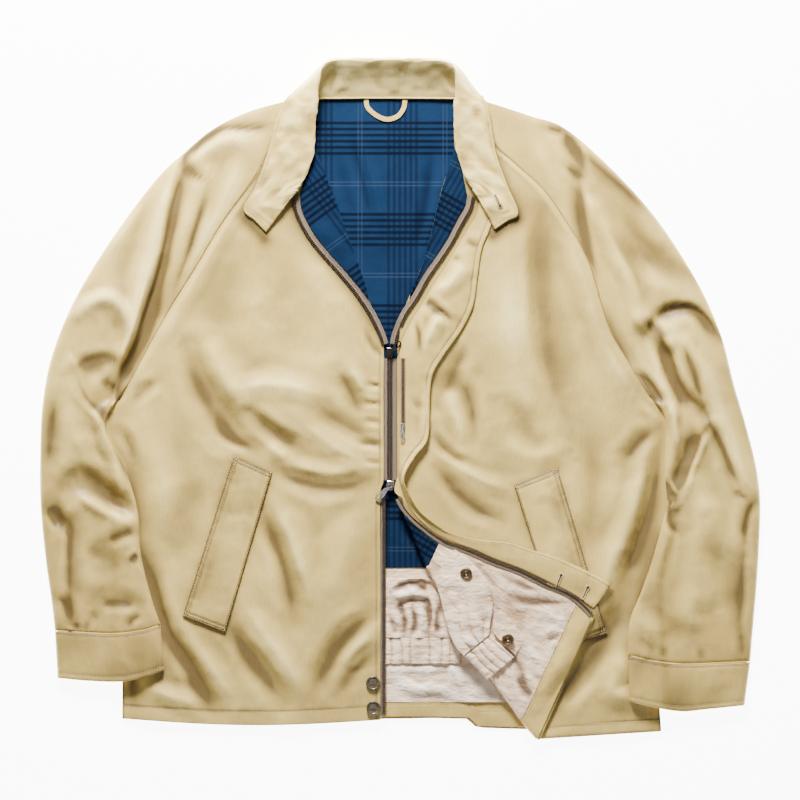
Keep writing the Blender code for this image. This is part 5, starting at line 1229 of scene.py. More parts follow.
# ================================================================ sleeves and cuffs
def inside_edge(x, y, edge_line):
    """Distance from a side seam of the body, positive on the side where the body lies."""
    gap, side, _ = line_distance(x, y, edge_line)
    return gap * (side if edge_line is EDGE_LEFT_LINE else -side)


def lift_over_body(x, y, edge_line):
    """How high the front lifts a sleeve that lies over its side seam."""
    signed = inside_edge(x, y, edge_line)
    below = ease(0, -8, y)
    outside = (EDGE_RISE + 1.0) * ease(-16, -3, signed)
    over = front_top(x, y) + 1.0
    return np.where(signed > 0, np.maximum(over, EDGE_RISE + 1.0), outside) * below


def tube_heights(plan, swell, fold_table, crease_table, edge_line, wall, seed, rough):
    """Heights of the underside and top of a flattened tube over its plan points."""
    x, y = plan[..., 0], plan[..., 1]
    u = across_fractions(plan.shape[1])[None, :]
    even = np.linspace(0, 1, plan.shape[1])[None, :]
    lift = lift_over_body(x, y, edge_line)
    crown = (4 * even * (1 - even)) ** 0.42
    inner = ease(0, 0.07, u) * (1 - ease(0.93, 1.0, u))
    least = 2 * wall + 0.9
    relief = (creases(x, y, crease_table, 1.0, 0.7) + rumple(x, y, seed, 36.0, rough)) * inner
    # shown: crease relief used only for the painted shade and highlight
    shown = creases(x, y, crease_table, 0.4, 1.35) + rumple(x, y, seed, 36.0, 0.5 * rough) * inner
    inside = inside_edge(x, y, edge_line)
    # painted shadow where the sleeve lies beside the body's side seam, and painted shade that deepens towards
    # the cuffs
    body = 1.1 * np.exp(-np.abs(inside) / 17.0) * ease(60, 10, y) * ease(3, -5, inside[:, :1])
    painted_light = painted_light_of(shown + 0.25 * folds(x, y, fold_table) * crown, 3.3) - body - 0.2 * ease(0, -120, y)
    top = lift + least + swell[:, None] * crown + folds(x, y, fold_table) * crown + relief
    top = np.maximum(top, lift + least + 0.1 * relief)
    under = np.clip(top - 2 * wall - SLEEVE_GAP, lift, lift + SLEEVE_ARCH)
    return under, top, painted_light


def flattened_tube(name, plan, under, top, wall, finish, painted_light):
    """Rings round a flattened tube: over the top from inner to outer edge and back underneath."""
    edge_in = plan[:, 0] - plan[:, 1]
    edge_in = edge_in / np.linalg.norm(edge_in, axis=1, keepdims=True)
    edge_out = plan[:, -1] - plan[:, -2]
    edge_out = edge_out / np.linalg.norm(edge_out, axis=1, keepdims=True)
    over = raised(plan, top)
    below = raised(plan, under)[:, ::-1]
    middle_in = raised(plan[:, :1] + edge_in[:, None] * 0.25, (top[:, :1] * 0.55 + under[:, :1] * 0.45))
    middle_out = raised(plan[:, -1:] + edge_out[:, None] * 0.25, (top[:, -1:] * 0.55 + under[:, -1:] * 0.45))
    outer = np.concatenate([over, middle_out, below, middle_in], axis=1)
    spots = plan.copy()
    spots[:, 0] -= edge_in * wall * 0.9
    spots[:, -1] -= edge_out * wall * 0.9
    over_in = raised(spots, top - wall)
    below_in = raised(spots, under + wall)[:, ::-1]
    mid_in = raised(spots[:, :1] + edge_in[:, None] * 0.2, (top[:, :1] + under[:, :1]) / 2)
    mid_out = raised(spots[:, -1:] + edge_out[:, None] * 0.2, (top[:, -1:] + under[:, -1:]) / 2)
    inner = np.concatenate([over_in, mid_out, below_in, mid_in], axis=1)
    way = plan[-1].mean(axis=0) - plan[0].mean(axis=0)
    way = way / np.linalg.norm(way)
    along_way = plan @ way
    across_way = plan @ np.array([way[1], -way[0]])
    flat = np.stack([across_way, along_way, top * 0.7], axis=-1)
    under_flat = np.stack([across_way + 500, along_way, under * 0.7], axis=-1)[:, ::-1]
    cloth = np.concatenate([flat, flat[:, -1:], under_flat, flat[:, :1]], axis=1)
    # the folded edges of the tube get painted shade, and its underside a weaker copy of the painted light of
    # its top
    around = np.concatenate([painted_light, painted_light[:, -1:] - 0.3, painted_light[:, ::-1] * 0.3, painted_light[:, :1] - 0.3], axis=1)
    tube_shell(name, outer, inner, finish, cloth, around)
    return over


def sleeve_plan(table, seam, cuff_top, rows, columns):
    """Plan of a sleeve's rings: the first follows the raglan seam, the last the cuff seam."""
    refined = rows_between([row[:5] for row in table], rows)
    u = across_fractions(columns)
    left, right = refined[:, 0:2], refined[:, 2:4]
    plan = left[:, None] * (1 - u)[None, :, None] + right[:, None] * u[None, :, None]
    cut = np.linspace(0, 1, rows)
    seam_bow = seam - plan[0]
    cuff_bow = along(cuff_top, u) - plan[-1]
    start = np.clip(1 - cut / 0.24, 0, 1) ** 1.5
    end = np.clip((cut - 0.9) / 0.1, 0, 1) ** 1.5
    plan = plan + start[:, None, None] * seam_bow[None] + end[:, None, None] * cuff_bow[None]
    return plan, refined[:, 4]


def build_sleeve(name, table, raglan, cuff_table, fold_table, crease_table, edge_line, seed):
    """Sleeve from the raglan seam to the cuff, as an open flattened tube."""
    rows, columns = 236, 50
    cuff_top = [(x, y + 0.5) for x, y in cuff_table["top"]]
    seam = along(raglan[::-1], across_fractions(columns))
    plan, swell = sleeve_plan(table, seam, cuff_top, rows, columns)
    under, top, painted_light = tube_heights(plan, swell, fold_table, crease_table, edge_line, CLOTH, seed, 0.9)
    seam_top = np.maximum(front_height(plan[0, :, 0], plan[0, :, 1]), 2 * CLOTH + 0.9)
    near = np.clip(1 - np.linspace(0, 1, rows) / 0.09, 0, 1)[:, None] ** 1.6
    top = top * (1 - near) + seam_top[None, :] * near
    under = under * (1 - near)
    run = line_run(plan)
    top = top + rolled(run, 1.5) - 0.5 * np.exp(-(run / 5.0) ** 2)
    to_cuff = run[-1:] - run
    top = top + rolled(to_cuff, 1.5) - 0.8 * np.exp(-(to_cuff / 6.0) ** 2)
    under = np.maximum(under, top - 2 * CLOTH - SLEEVE_GAP - 3.0 * near)
    under = np.clip(np.minimum(under, top - 2 * CLOTH - 0.5), 0.0, None)
    flattened_tube(name, plan, under, top, CLOTH, "khaki", painted_light)


def build_cuff(name, table, edge_line, seed):
    """Cuff as an open flattened tube; returns its rows of stitches and the line of its piping."""
    seam_row, edge_row = CUFF_ROWS
    u = across_fractions(46)
    first, last = along(table["top"], u), along(table["bottom"], u)
    depth = np.linalg.norm(last - first, axis=1).mean()
    near = np.array([0, 0.3, 0.9, 1.8, 2.6, seam_row, 3.8, 5.0])
    far = np.array([0, 0.3, 0.9, 2.0, 3.6, 5.2, edge_row, 6.8])
    inside = np.linspace(near[-1], depth - far[-1], 12)[1:-1]
    share = np.concatenate([near, inside, depth - far[::-1]]) / depth
    plan = first[None] * (1 - share)[:, None, None] + last[None] * share[:, None, None]
    swell = np.interp(share, [0, 0.5, 1], [5.6, 6.2, 5.4])
    under, top, painted_light = tube_heights(plan, swell, [], [], edge_line, CUFF_WALL, seed, 1.1)
    from_top = share[:, None] * depth + plan[..., 0] * 0
    from_end = depth - from_top
    top = top + rolled(from_top, 1.6) + rolled(from_end, 1.8)
    top = top + dip(from_top, seam_row, 0.7, 0.35) + dip(from_end, edge_row, 0.7, 0.3)
    top = top + pucker(from_top, plan[..., 0], seam_row, 8, 0.34, seed + 7)
    top = np.maximum(top, under + 2 * CUFF_WALL + 0.4)
    # painted highlight on the roll at the free edge, painted shade at the seam and in both stitch rows; then
    # the cuff is made a little darker, with a random mottle
    painted_light = painted_light + 0.25 * np.exp(-((from_end - 2.5) / 1.8) ** 2) - 0.8 * np.exp(-(from_top / 1.2) ** 2)
    painted_light = painted_light - painted_groove_shade(from_top, seam_row, 0.6, 0.5) - painted_groove_shade(from_end, edge_row, 0.6, 0.4)
    painted_light = painted_light - 0.15 + 0.35 * noise(plan[..., 0], plan[..., 1], 34.0, seed + 9)
    grid = flattened_tube(name, plan, under, top, CUFF_WALL, "khaki", painted_light)
    shown = slice(2, -2)
    upper = int(np.argmin(np.abs(share * depth - seam_row)))
    lower = int(np.argmin(np.abs(share * depth - (depth - edge_row))))
    return [grid[upper, shown], grid[lower, shown]], grid[0, shown] + np.array([0, 0.4, -0.5])


# ================================================================ back, seen through the neck and the corner
def plane_shell(name, left, right, low, wall, finish, relief, step=3.0, near=(0, 0.3, 1.0), depth=1.2):
    """A nearly flat panel between two lines with the same rows, lying at a height."""
    count = max(2, int(np.linalg.norm(right - left, axis=1).max() / step))
    plan, from_left, from_right = across(left, right, list(near), list(near), count)
    rise = relief(plan[..., 0], plan[..., 1])
    top = low + wall + rise
    top = np.maximum(top + rolled(np.minimum(from_left, from_right), 0.5), low + 0.3)
    under = raised(plan, np.full(top.shape, low))
    # painted shade in troughs and painted highlight on ridges, from the relief
    shell(name, raised(plan, top), under, finish, raised(plan, top), painted_light_of(rise - rise.mean(), depth))
    return raised(plan, top)


def between(x, y, left_line, right_line, soft=9.0):
    """1 well inside the opening between two lines that run down, and 0 outside it."""
    left = np.interp(y, [p[1] for p in left_line[::-1]], [p[0] for p in left_line[::-1]])
    right = np.interp(y, [p[1] for p in right_line[::-1]], [p[0] for p in right_line[::-1]])
    return ease(0, soft, x - left) * ease(0, soft, right - x)


def back_shown(x, y):
    """1 where the inside of the back shows, at the neck and beside the corner, and 0 under the fronts."""
    neck = between(x, y, ZIP_LEFT, ZIP_RIGHT) * ease(48, 62, y)
    corner = between(x, y, [(-17, -98), (-17, -400)], FOLD_EDGE, 6.0) * (1 - ease(-112, -100, y))
    return np.maximum(neck, corner)


def facing_top(x):
    """Upper edge of the back's hem facing, which steps down beside the turned corner."""
    return np.interp(x, [-300, 80, 90, 276], [-349.2, -349.2, -357.5, -357.5])


def build_back():
    """Back with its linings and hem facing; returns the facing's row of stitches."""
    left = shifted(seam_line(RAGLAN_LEFT, SIDE_LEFT), SEAM_GAP)[::2]
    right_line = shifted(seam_line(RAGLAN_RIGHT, SIDE_RIGHT), -SEAM_GAP)
    right = along(right_line, run_fractions(left), smooth=False)
    hem_x, hem_y = np.array(BACK_HEM).T
    plan, from_left, from_right = across(left, right, [0, 0.4, 1.2], [0, 0.4, 1.2], 60)
    target = np.interp(plan[-1, :, 0], hem_x, hem_y)
    blend_in = ease(0.75, 1.0, run_fractions(left))[:, None]
    plan[..., 1] += (target - plan[-1, :, 1])[None] * blend_in
    plan[0, :, 1] = NECK_TOP
    top = np.full(plan.shape[:2], CLOTH)
    top = top + rolled(np.minimum(from_left, from_right), 0.6)
    shell("back_cloth", raised(plan, top), raised(plan, top * 0), "khaki", raised(plan, top))

    low = CLOTH + 0.3
    inner_left = [(-112, NECK_TOP - 0.8), (-146, 262), (-190, 196), (-222, 142), (-255, 88), (-284, 36),
                  (-296, -10), (-298, -60), (-294, -120), (-294, -194)]
    inner_right = [(80, NECK_TOP - 0.8), (94, 290), (120, 258), (150, 230), (174, 198), (200, 148), (216, 90),
                   (240, 40), (264, -10), (274, -60), (276, -120), (268, -194)]
    cut = np.linspace(0, 1, 130)

    def check_relief(x, y):
        sag = 0.9 * np.exp(-((y - 296) / 16.0) ** 2) * np.exp(-((x + 14) / 60.0) ** 2)
        made = 1.0 + 0.75 * rumple(x, y, 71, 42.0, 0.9) + sag + creases(x, y, LINING_CREASES)
        return made * back_shown(x, y)

    inner_left, inner_right = along(inner_left, cut, False), along(inner_right, cut, False)
    plane_shell("back_lining_cloth", inner_left, inner_right, low, LINING, "check", check_relief, 4.0)

    def nylon_relief(x, y):
        gathers = 0.8 * np.sin(x / 5.2 + 1.2 * np.sin(y / 13) + 2 * noise(x, y, 20, 81)) * ease(-303, -314, y)
        gathers = gathers * (1 - ease(-322, -347, y))
        fold = 1.5 * np.exp(-(gap_to(x, y, [(60, -308), (70, -330), (82, -356)]) / 3.2) ** 2)
        wave = creases(x, y, LOWER_LINING_CREASES)
        made = np.clip(1.1 + gathers + fold + wave + 1.1 * rumple(x, y, 83, 22.0, 0.9), 0.05, 3.4)
        return made * back_shown(x, y) * (0.15 + 0.85 * ease(-300, -312, y))

    rows = np.linspace(-195.4, -348.5, 64)
    plane_shell("back_lower_lining_cloth", upright(-292, rows), upright(266, rows), low, LINING, "nylon",
                nylon_relief, 2.6)

    xs = np.concatenate([np.linspace(-300, 78, 110), np.linspace(80.5, 88.5, 8), np.linspace(90, 277, 60)])
    upper = facing_top(xs)
    lower = np.interp(xs, [-300, -283, -195, -93, -24, 40, 79, 89.5, 150, 170, 235, 278],
                      [-364, -366, -370, -369, -365, -365, -366, -376, -377.5, -383, -381, -378])

    def hem_relief(x, y):
        return dip(facing_top(x) - y, FACING_ROW, 0.6, 0.3) + 0.25 * noise(x, y, 12, 91)

    up, down = np.stack([xs, upper], axis=1), np.stack([xs, lower], axis=1)
    near = (0, 0.3, 1.1, FACING_ROW, 2.5)
    hem = plane_shell("back_hem_facing_cloth", up, down, low, 1.3, "khaki", hem_relief, 2.2, near)
    return [hem[:, near.index(FACING_ROW)]]


def build_guard_back():
    """Wind guard and its elastic band, inside the back."""
    near = [0, 0.4, 1.2]
    rows = GUARD_TOP - np.concatenate([near, np.linspace(3, 66, 40), [67.4, 68.0, 68.4]])
    plan, from_left, from_right = across(upright(-60, rows), upright(84, rows), near, near, 84)
    x, y = plan[..., 0], plan[..., 1]
    swell = 0.8 * ease(-200, -225, y) * (1 - 0.5 * ease(-262, -275, y))
    phase = x / 3.6 + 1.4 * np.sin(y / 17.0) + 2.2 * noise(x, y, 24, 101)
    gathers = 0.9 * (0.6 - np.abs(np.sin(phase / 2)) ** 0.6) * ease(-232, -264, y)
    facets = np.abs(noise(x + 0.5 * y, y * 0.55 + 6 * noise(x, y, 15, 104), 15.0, 105))
    gathers = gathers + 1.7 * (facets - 0.3)
    shown = back_shown(x, y)
    relief = (gathers + 0.4 * rumple(x, y, 103, 18.0, 0.9) + creases(x, y, GUARD_CREASES)) * shown
    middle = 4.3 + (1.2 + swell * (0.7 + 0.3 * np.sin(x / 11 + y / 19))) * shown + relief
    edge = rolled(np.minimum(from_left, from_right), 0.5) + rolled(GUARD_TOP - y, 0.5)
    top = np.maximum(middle + 0.45 + edge, 3.6)
    grid, under = raised(plan, top), raised(plan, np.minimum(top - 0.8, 3.6))
    # painted shade in the gathers' troughs and painted highlight on their ridges
    shell("guard_back_cloth", grid, under, "nylon", grid, painted_light_of(relief + 0.4, 1.7))

    rows = BAND_TOP - np.concatenate([[0, 0.4, 1.2], np.linspace(2.5, 27.0, 17), [28.3, 29.1, 29.5]])
    plan, _, _ = across(upright(-60, rows), upright(87, rows), [0, 0.4], [0, 0.4], 130)
    x, y = plan[..., 0], plan[..., 1]
    pleats = np.abs(np.sin(x / 4.6 + 1.5 * noise(x, y * 0.4, 14, 107))) ** 0.6
    ribs = 1.1 * (pleats - 0.55) * (0.3 + 0.7 * back_shown(x, y))
    ribs = ribs + sum(dip(BAND_TOP - y, at, 0.8, 0.35) for at in (3.2, 11.0, 19.0, 26.4))
    top = 4.6 + 0.8 * back_shown(x, y) + ribs + 0.3 * noise(x, y, 16, 109)
    top = top + rolled(BAND_TOP - y, 0.5) + rolled(y - BAND_FOOT, 0.5)
    grid, under = raised(plan, top), raised(plan, np.full(top.shape, 3.0))
    shell("guard_back_band_cloth", grid, under, "nylon", grid, painted_light_of(ribs, 1.1))


# ================================================================ collar and hanger loop
def build_collar():
    """Collar; returns its row of stitches and its upper face."""
    table = rounded(COLLAR, 6)
    rows, spread = [], []
    for sx, sy, sz, rx, ry, rz, ex, ey, ez in table:
        seam, roll, edge = np.array([sx, sy, sz]), np.array([rx, ry, rz]), np.array([ex, ey, ez])
        back = ease(352, 384, ry)
        stand = seam * 0.5 + roll * 0.5 + np.array([0, 2.0 * back, -1.5 * back])
        fall = roll * 0.5 + edge * 0.5 + np.array([0, 1.6 * back, 1.3 * (1 - back)])
        near_roll = roll * 0.86 + edge * 0.14 + np.array([0, 0.6 * back, 0.5])
        line = rounded([seam, stand, roll, near_roll, fall, edge], 10)
        run = run_of(line)
        near, far = [0, 0.3, 1.0, 2.2], [0, 0.2, 0.7, 1.6, 2.7, COLLAR_ROW, 4.1, 5.4]
        where = offsets(run[-1:], near, far, 34)[0]
        rows.append(np.stack([np.interp(where, run, line[:, k]) for k in range(3)], axis=-1))
        spread.append(run[-1] - where)
    grid, from_edge = np.array(rows), np.array(spread)
    run = line_run(grid[:, ::-1, :2])[:, ::-1]
    run = np.broadcast_to(run[:, 20:21], from_edge.shape)
    normal = grid_normals(grid)
    ends = np.minimum(run, run[-1:] - run)
    fall_part = ease(0, 10, from_edge) * ease(2, 12, from_edge[:, :1] - from_edge)
    flat = ease(340, 362, grid[..., 1])
    relief = (1.3 - 0.9 * flat) * rumple(run, from_edge * 1.2, 121, 17.0, 0.9) * fall_part
    relief = relief + 0.55 * creases(grid[..., 0], grid[..., 1], COLLAR_CREASES) * flat * fall_part
    wander = run + 5 * noise(run, from_edge, 15, 128)
    relief = relief + 0.9 * noise(wander, from_edge * 0.7, 7.5, 129) * fall_part
    relief = relief + pucker(from_edge, run, COLLAR_ROW, 8, 0.5, 125) * ease(0.4, 3, from_edge)
    relief = relief + dip(from_edge, COLLAR_ROW, 0.7, 0.34) + dip(ends, COLLAR_ROW, 0.8, 0.25)
    relief = relief - 0.35 * np.exp(-(from_edge / 0.8) ** 2) - 0.35 * np.exp(-(ends / 0.8) ** 2)
    half = COLLAR_WALL / 2
    upper = grid + normal * (half + np.clip(relief, -0.9, 1.9))[..., None]
    lower = grid - normal * half
    cloth = np.stack([run, from_edge, upper[..., 2] * 0.5], axis=-1)
    # painted highlight over the whole collar, strongest on its back part, which faces away from the key
    # light; painted shade in its stitch row and along its edges
    painted_light = painted_light_of(relief, 1.6) + 0.4 + 0.95 * flat - painted_groove_shade(from_edge, COLLAR_ROW, 0.7, 0.5)
    painted_light = painted_light - painted_groove_shade(np.minimum(from_edge, ends), 0.0, 0.6)
    shell("collar_cloth", upper, lower, "khaki", cloth, painted_light)
    at = from_edge.shape[1] - 6
    return [upper[4:-4, at] + normal[4:-4, at] * 0.05], upper


def build_hanger_loop():
    """Hanger loop, a flat strip that bends in its own plane; returns its rows of stitches."""
    line = along(HANGER_LOOP["line"], np.linspace(0, 1, 60))
    half = HANGER_LOOP["width"] / 2
    left, right = shifted(line, half), shifted(line, -half)
    plan, from_left, from_right = across(left, right, [0, 0.25, 0.7, 1.2], [0, 0.25, 0.7, 1.2], 4)
    gap = np.minimum(from_left, from_right)
    run = line_run(plan)
    top = 5.6 + rolled(gap, 0.5) + dip(gap, 1.1, 0.4, 0.2) + 0.12 * noise(run, gap, 4, 131)
    grid = raised(plan, top)
    cloth = np.stack([from_left, run, top], axis=-1)
    shell("hanger_loop_cloth", grid, raised(plan, top * 0 + 4.4), "khaki", cloth, top * 0 + 0.2)
    return [grid[:, 3], grid[:, -4]]


# ================================================================ lapels, zip and storm flap
def build_lapel(name, table, zip_line, side, seed, band):
    """Lining strip beside the open zip; band is a point in the middle of a dark band of its check."""
    rows = rows_between(table, 90)
    zip_side = along(shifted(rounded(zip_line), (ZIP_TAPE_WIDTH + 0.7) * side), rows[:, 2], smooth=False)
    plan, from_left, from_right = across(rows[:, 0:2], zip_side, [0, 0.3, 1.0], [0, 0.3, 1.0], 14)
    x, y = plan[..., 0], plan[..., 1]
    gap = np.minimum(from_left, from_right)
    relief = rumple(x, y, seed, 22.0, 0.6) * ease(0, 5, gap) + 1.2 * np.exp(-(from_left / 7.0) ** 2)
    base = front_height(x, y) + GAP
    top = base + LINING + np.clip(relief, -0.2, 1.6) + rolled(gap, 0.5)
    tilt = math.atan2(zip_line[-2][1] - zip_line[2][1], zip_line[-2][0] - zip_line[2][0]) + math.pi / 2
    spun = turned_by(x - band[0], y - band[1], tilt) + np.array(CHECK_MIDDLE)
    cloth = raised(spun, top)
    # painted shade in troughs and painted highlight on ridges, from the relief
    shell(name + "_cloth", raised(plan, top), raised(plan, base), "check", cloth, painted_light_of(relief, 1.2))


def tape(name, line, side, floor, width=ZIP_TAPE_WIDTH):
    """Woven tape beside a row of teeth; floor gives the height below each plan point."""
    spots = [width, width - 0.25, width - 0.9, width * 0.5, 1.2, 0.7, 0.2]
    plan = np.stack([shifted(line, at * side) for at in spots], axis=1)
    low = floor(plan[..., 0], plan[..., 1])
    run = line_run(plan)
    shape = np.array([-0.25, 0, 0, 0, 0.05, 0.45, 0.45])[None]
    top = low + ZIP_TAPE + shape
    across_tape = np.broadcast_to(np.array(spots)[None], top.shape)
    shell(name, raised(plan, top), raised(plan, low), "tape", np.stack([across_tape, run, top * 0], axis=-1))


def teeth(line, side, floor, pitch=2.15, reach=3.2, thick=1.15, rise=2.3, phase=0.0, inner=0.7):
    """A row of zip teeth: bevelled blocks that stand across the tape's edge."""
    points = raised(line, floor(line[:, 0], line[:, 1]))
    spot, way = spaced_along(points, pitch, phase)
    parts = []
    up = np.array([0.0, 0.0, 1.0])
    for p, w in zip(spot, way):
        flat = np.array([w[0], w[1], 0.0])
        flat /= np.linalg.norm(flat)
        out = np.array([flat[1], -flat[0], 0.0]) * side
        rings = []
        for height, grow, narrow in ((0.3, 0.0, 1.0), (rise * 0.72, 0.0, 1.0), (rise, -0.3, 0.7)):
            inmost, outmost = -inner - grow, reach + grow
            for a, b in ((inmost, -1), (outmost, -0.62), (outmost, 0.62), (inmost, 1)):
                rings.append(p + out * a + flat * b * thick / 2 * narrow + up * height)
        faces = [(3, 2, 1, 0), (8, 9, 10, 11)]
        for low in (0, 4):
            faces += [(low + k, low + (k + 1) % 4, low + 4 + (k + 1) % 4, low + 4 + k) for k in range(4)]
        parts.append((np.array(rings), np.array(faces)))
    return parts


def build_zips():
    """Tapes and teeth of the main zip: two open edges, the turned one and the closed piece under the flap."""
    parts = {}

    def on_front(x, y):
        return front_height(x, y) + GAP

    def on_corner(x, y):
        return front_height(x, y) + TURNED + GAP

    for name, line, side, floor, start, stop in (
            ("zip_top_left", ZIP_LEFT, 1, on_front, 0, 1), ("zip_top_right", ZIP_RIGHT, -1, on_front, 0, 1),
            ("zip_bottom_right", TURNED_ZIP, -1, on_corner, 0.06, 0.985)):
        fine = along(line, np.linspace(start, stop, 90))
        tape(name + "_tape", fine, side, floor)
        parts[name] = teeth(fine, side, floor)

    def seat(x, _):
        return x * 0 + ZIP_SEAT

    rows = np.linspace(CLOSED_ZIP["top"], CLOSED_ZIP["foot"], 60)
    left_line, right_line = upright(CLOSED_ZIP["left"], rows), upright(CLOSED_ZIP["right"], rows)
    tape("zip_closed_tape_left", left_line, -1, seat, 5.0)
    tape("zip_closed_tape_right", right_line, 1, seat, 7.2)
    parts["zip_closed"] = teeth(left_line, 1, seat, reach=1.7, inner=1.9, rise=2.6)
    parts["zip_closed"] += teeth(right_line, -1, seat, reach=1.7, inner=1.9, rise=2.6, phase=1.07)
    line = upright(LOWER_ZIP["left"], np.linspace(LOWER_ZIP["top"], LOWER_ZIP["foot"], 100))
    tape("zip_bottom_left_tape", line, -1, seat, 5.0)
    parts["zip_bottom_left"] = teeth(line, 1, seat, reach=3.4)
    for name, group in parts.items():
        joined(name + "_teeth", group, "teeth", 40)


def buttonhole(name, start, stop, height):
    """Worked keyhole buttonhole: a purled edge round a narrow slit with an eye at its start."""
    start, stop = np.array(start, float), np.array(stop, float)
    length = np.linalg.norm(stop - start)
    way = (stop - start) / length
    side = np.array([-way[1], way[0]])

    def on_cloth(points, count, lift):
        plan = along(points, np.linspace(0, 1, count), smooth=False)
        return raised(plan, height(plan[:, 0], plan[:, 1]) + lift)

    outline = [stop - side * 1.25, start + way * 5.0 - side * 1.25]
    outline += [start + way * (2.0 - 2.3 * math.cos(a)) + side * 2.3 * math.sin(a)
                for a in np.linspace(-2.2, 2.2, 15)]
    outline += [start + way * 5.0 + side * 1.25, stop + side * 1.25]
    bar = np.array([stop - side * 1.7, stop + side * 1.7])
    parts = [cord_tube(on_cloth(outline, 110, 0.25), 0.62, 7, 5.5, 3),
             cord_tube(on_cloth(bar, 10, 0.3), 0.7, 7, 5.5, 3)]
    joined(name, parts, "thread", 60)
    # the slit and the eye are dark strips of painted shade
    slit = np.array([start + way * 1.2, start + way * (length - 0.6)])
    eye = np.array([start + way * 1.0, start + way * 3.2])
    eye = raised(eye, height(eye[:, 0], eye[:, 1]) + 0.02)
    joined(name + "_slit", [cord_tube(on_cloth(slit, 16, 0.02), 0.5, 6), cord_tube(eye, 1.1, 8)], "shade", 60)


def build_storm_flap():
    """Storm flap over the zip; returns its upper face and its row of stitches."""
    rows = rounded(STORM_FLAP, 9)
    root_edge, free_edge = rows[:, 0:2], rows[:, 2:4]
    edge = [0, 0.15, 0.5, 1.2, 2.6, 4.2, 5.0, FLAP_ROW, 6.4, 7.6]
    plan, from_root, from_edge = across(root_edge, free_edge, [0, 0.3, 1.0], edge, 26)
    u = from_root / (from_root + from_edge)
    root, crest, free = rows[:, 4:5], rows[:, 5:6], rows[:, 6:7]
    bow = 4 * u * (1 - u)
    lift = root * (1 - u) + free * u + (crest - (root + free) / 2) * bow
    x, y = plan[..., 0], plan[..., 1]
    run = line_run(plan)
    ends = np.minimum(run, run[-1:] - run)
    relief = creases(x, y, FLAP_CREASES) + rumple(x, y, 61, 30.0, 0.42)
    relief = relief * ease(1, 9, from_root) * ease(0, 6, from_edge)
    relief = relief + dip(from_edge, FLAP_ROW, 0.75, 0.4) + pucker(from_edge, run, FLAP_ROW, 8, 0.26, 63)
    middle = front_height(x, y) + lift + relief + rolled(from_edge, 0.7) + rolled(ends, 0.6)
    grid = raised(plan, middle)
    cloth = np.stack([x, y, middle * 0.7], axis=-1)
    # painted highlight on the roll along the free edge; painted shade in the stitch row, along the free edge
    # and at the root
    painted_light = painted_light_of(relief, 1.7) + 0.4 * np.exp(-((from_edge - 3) / 2.2) ** 2)
    painted_light = painted_light - painted_groove_shade(from_edge, FLAP_ROW) - painted_groove_shade(from_edge, 0.0, 0.6) - painted_groove_shade(from_root, 0.0, 1.5)
    sheet_between("storm_flap_cloth", grid, -FLAP_WALL / 2, FLAP_WALL / 2, "khaki", cloth, painted_light)
    top = grid + grid_normals(grid) * (FLAP_WALL / 2)
    return top, [column_line(top, from_edge, FLAP_ROW)]


def height_on(grid):
    """A height function from the nearest points of a grid."""
    spots = grid.reshape(-1, 3)

    def height(x, y):
        x, y = np.atleast_1d(np.asarray(x, float)), np.atleast_1d(np.asarray(y, float))
        found = []
        for px, py in zip(x, y):
            gap = (spots[:, 0] - px) ** 2 + (spots[:, 1] - py) ** 2
            near = np.argpartition(gap, 4)[:4]
            weight = 1 / (gap[near] + 0.05)
            found.append((spots[near, 2] * weight).sum() / weight.sum())
        return np.array(found) if len(found) > 1 else found[0]

    return height


# ================================================================ wind guard on the corner
def corner_top(x, y):
    """Height of the lining on the turned corner."""
    return front_height(x, y) + TURNED + CORNER_GAP + LINING + 0.3


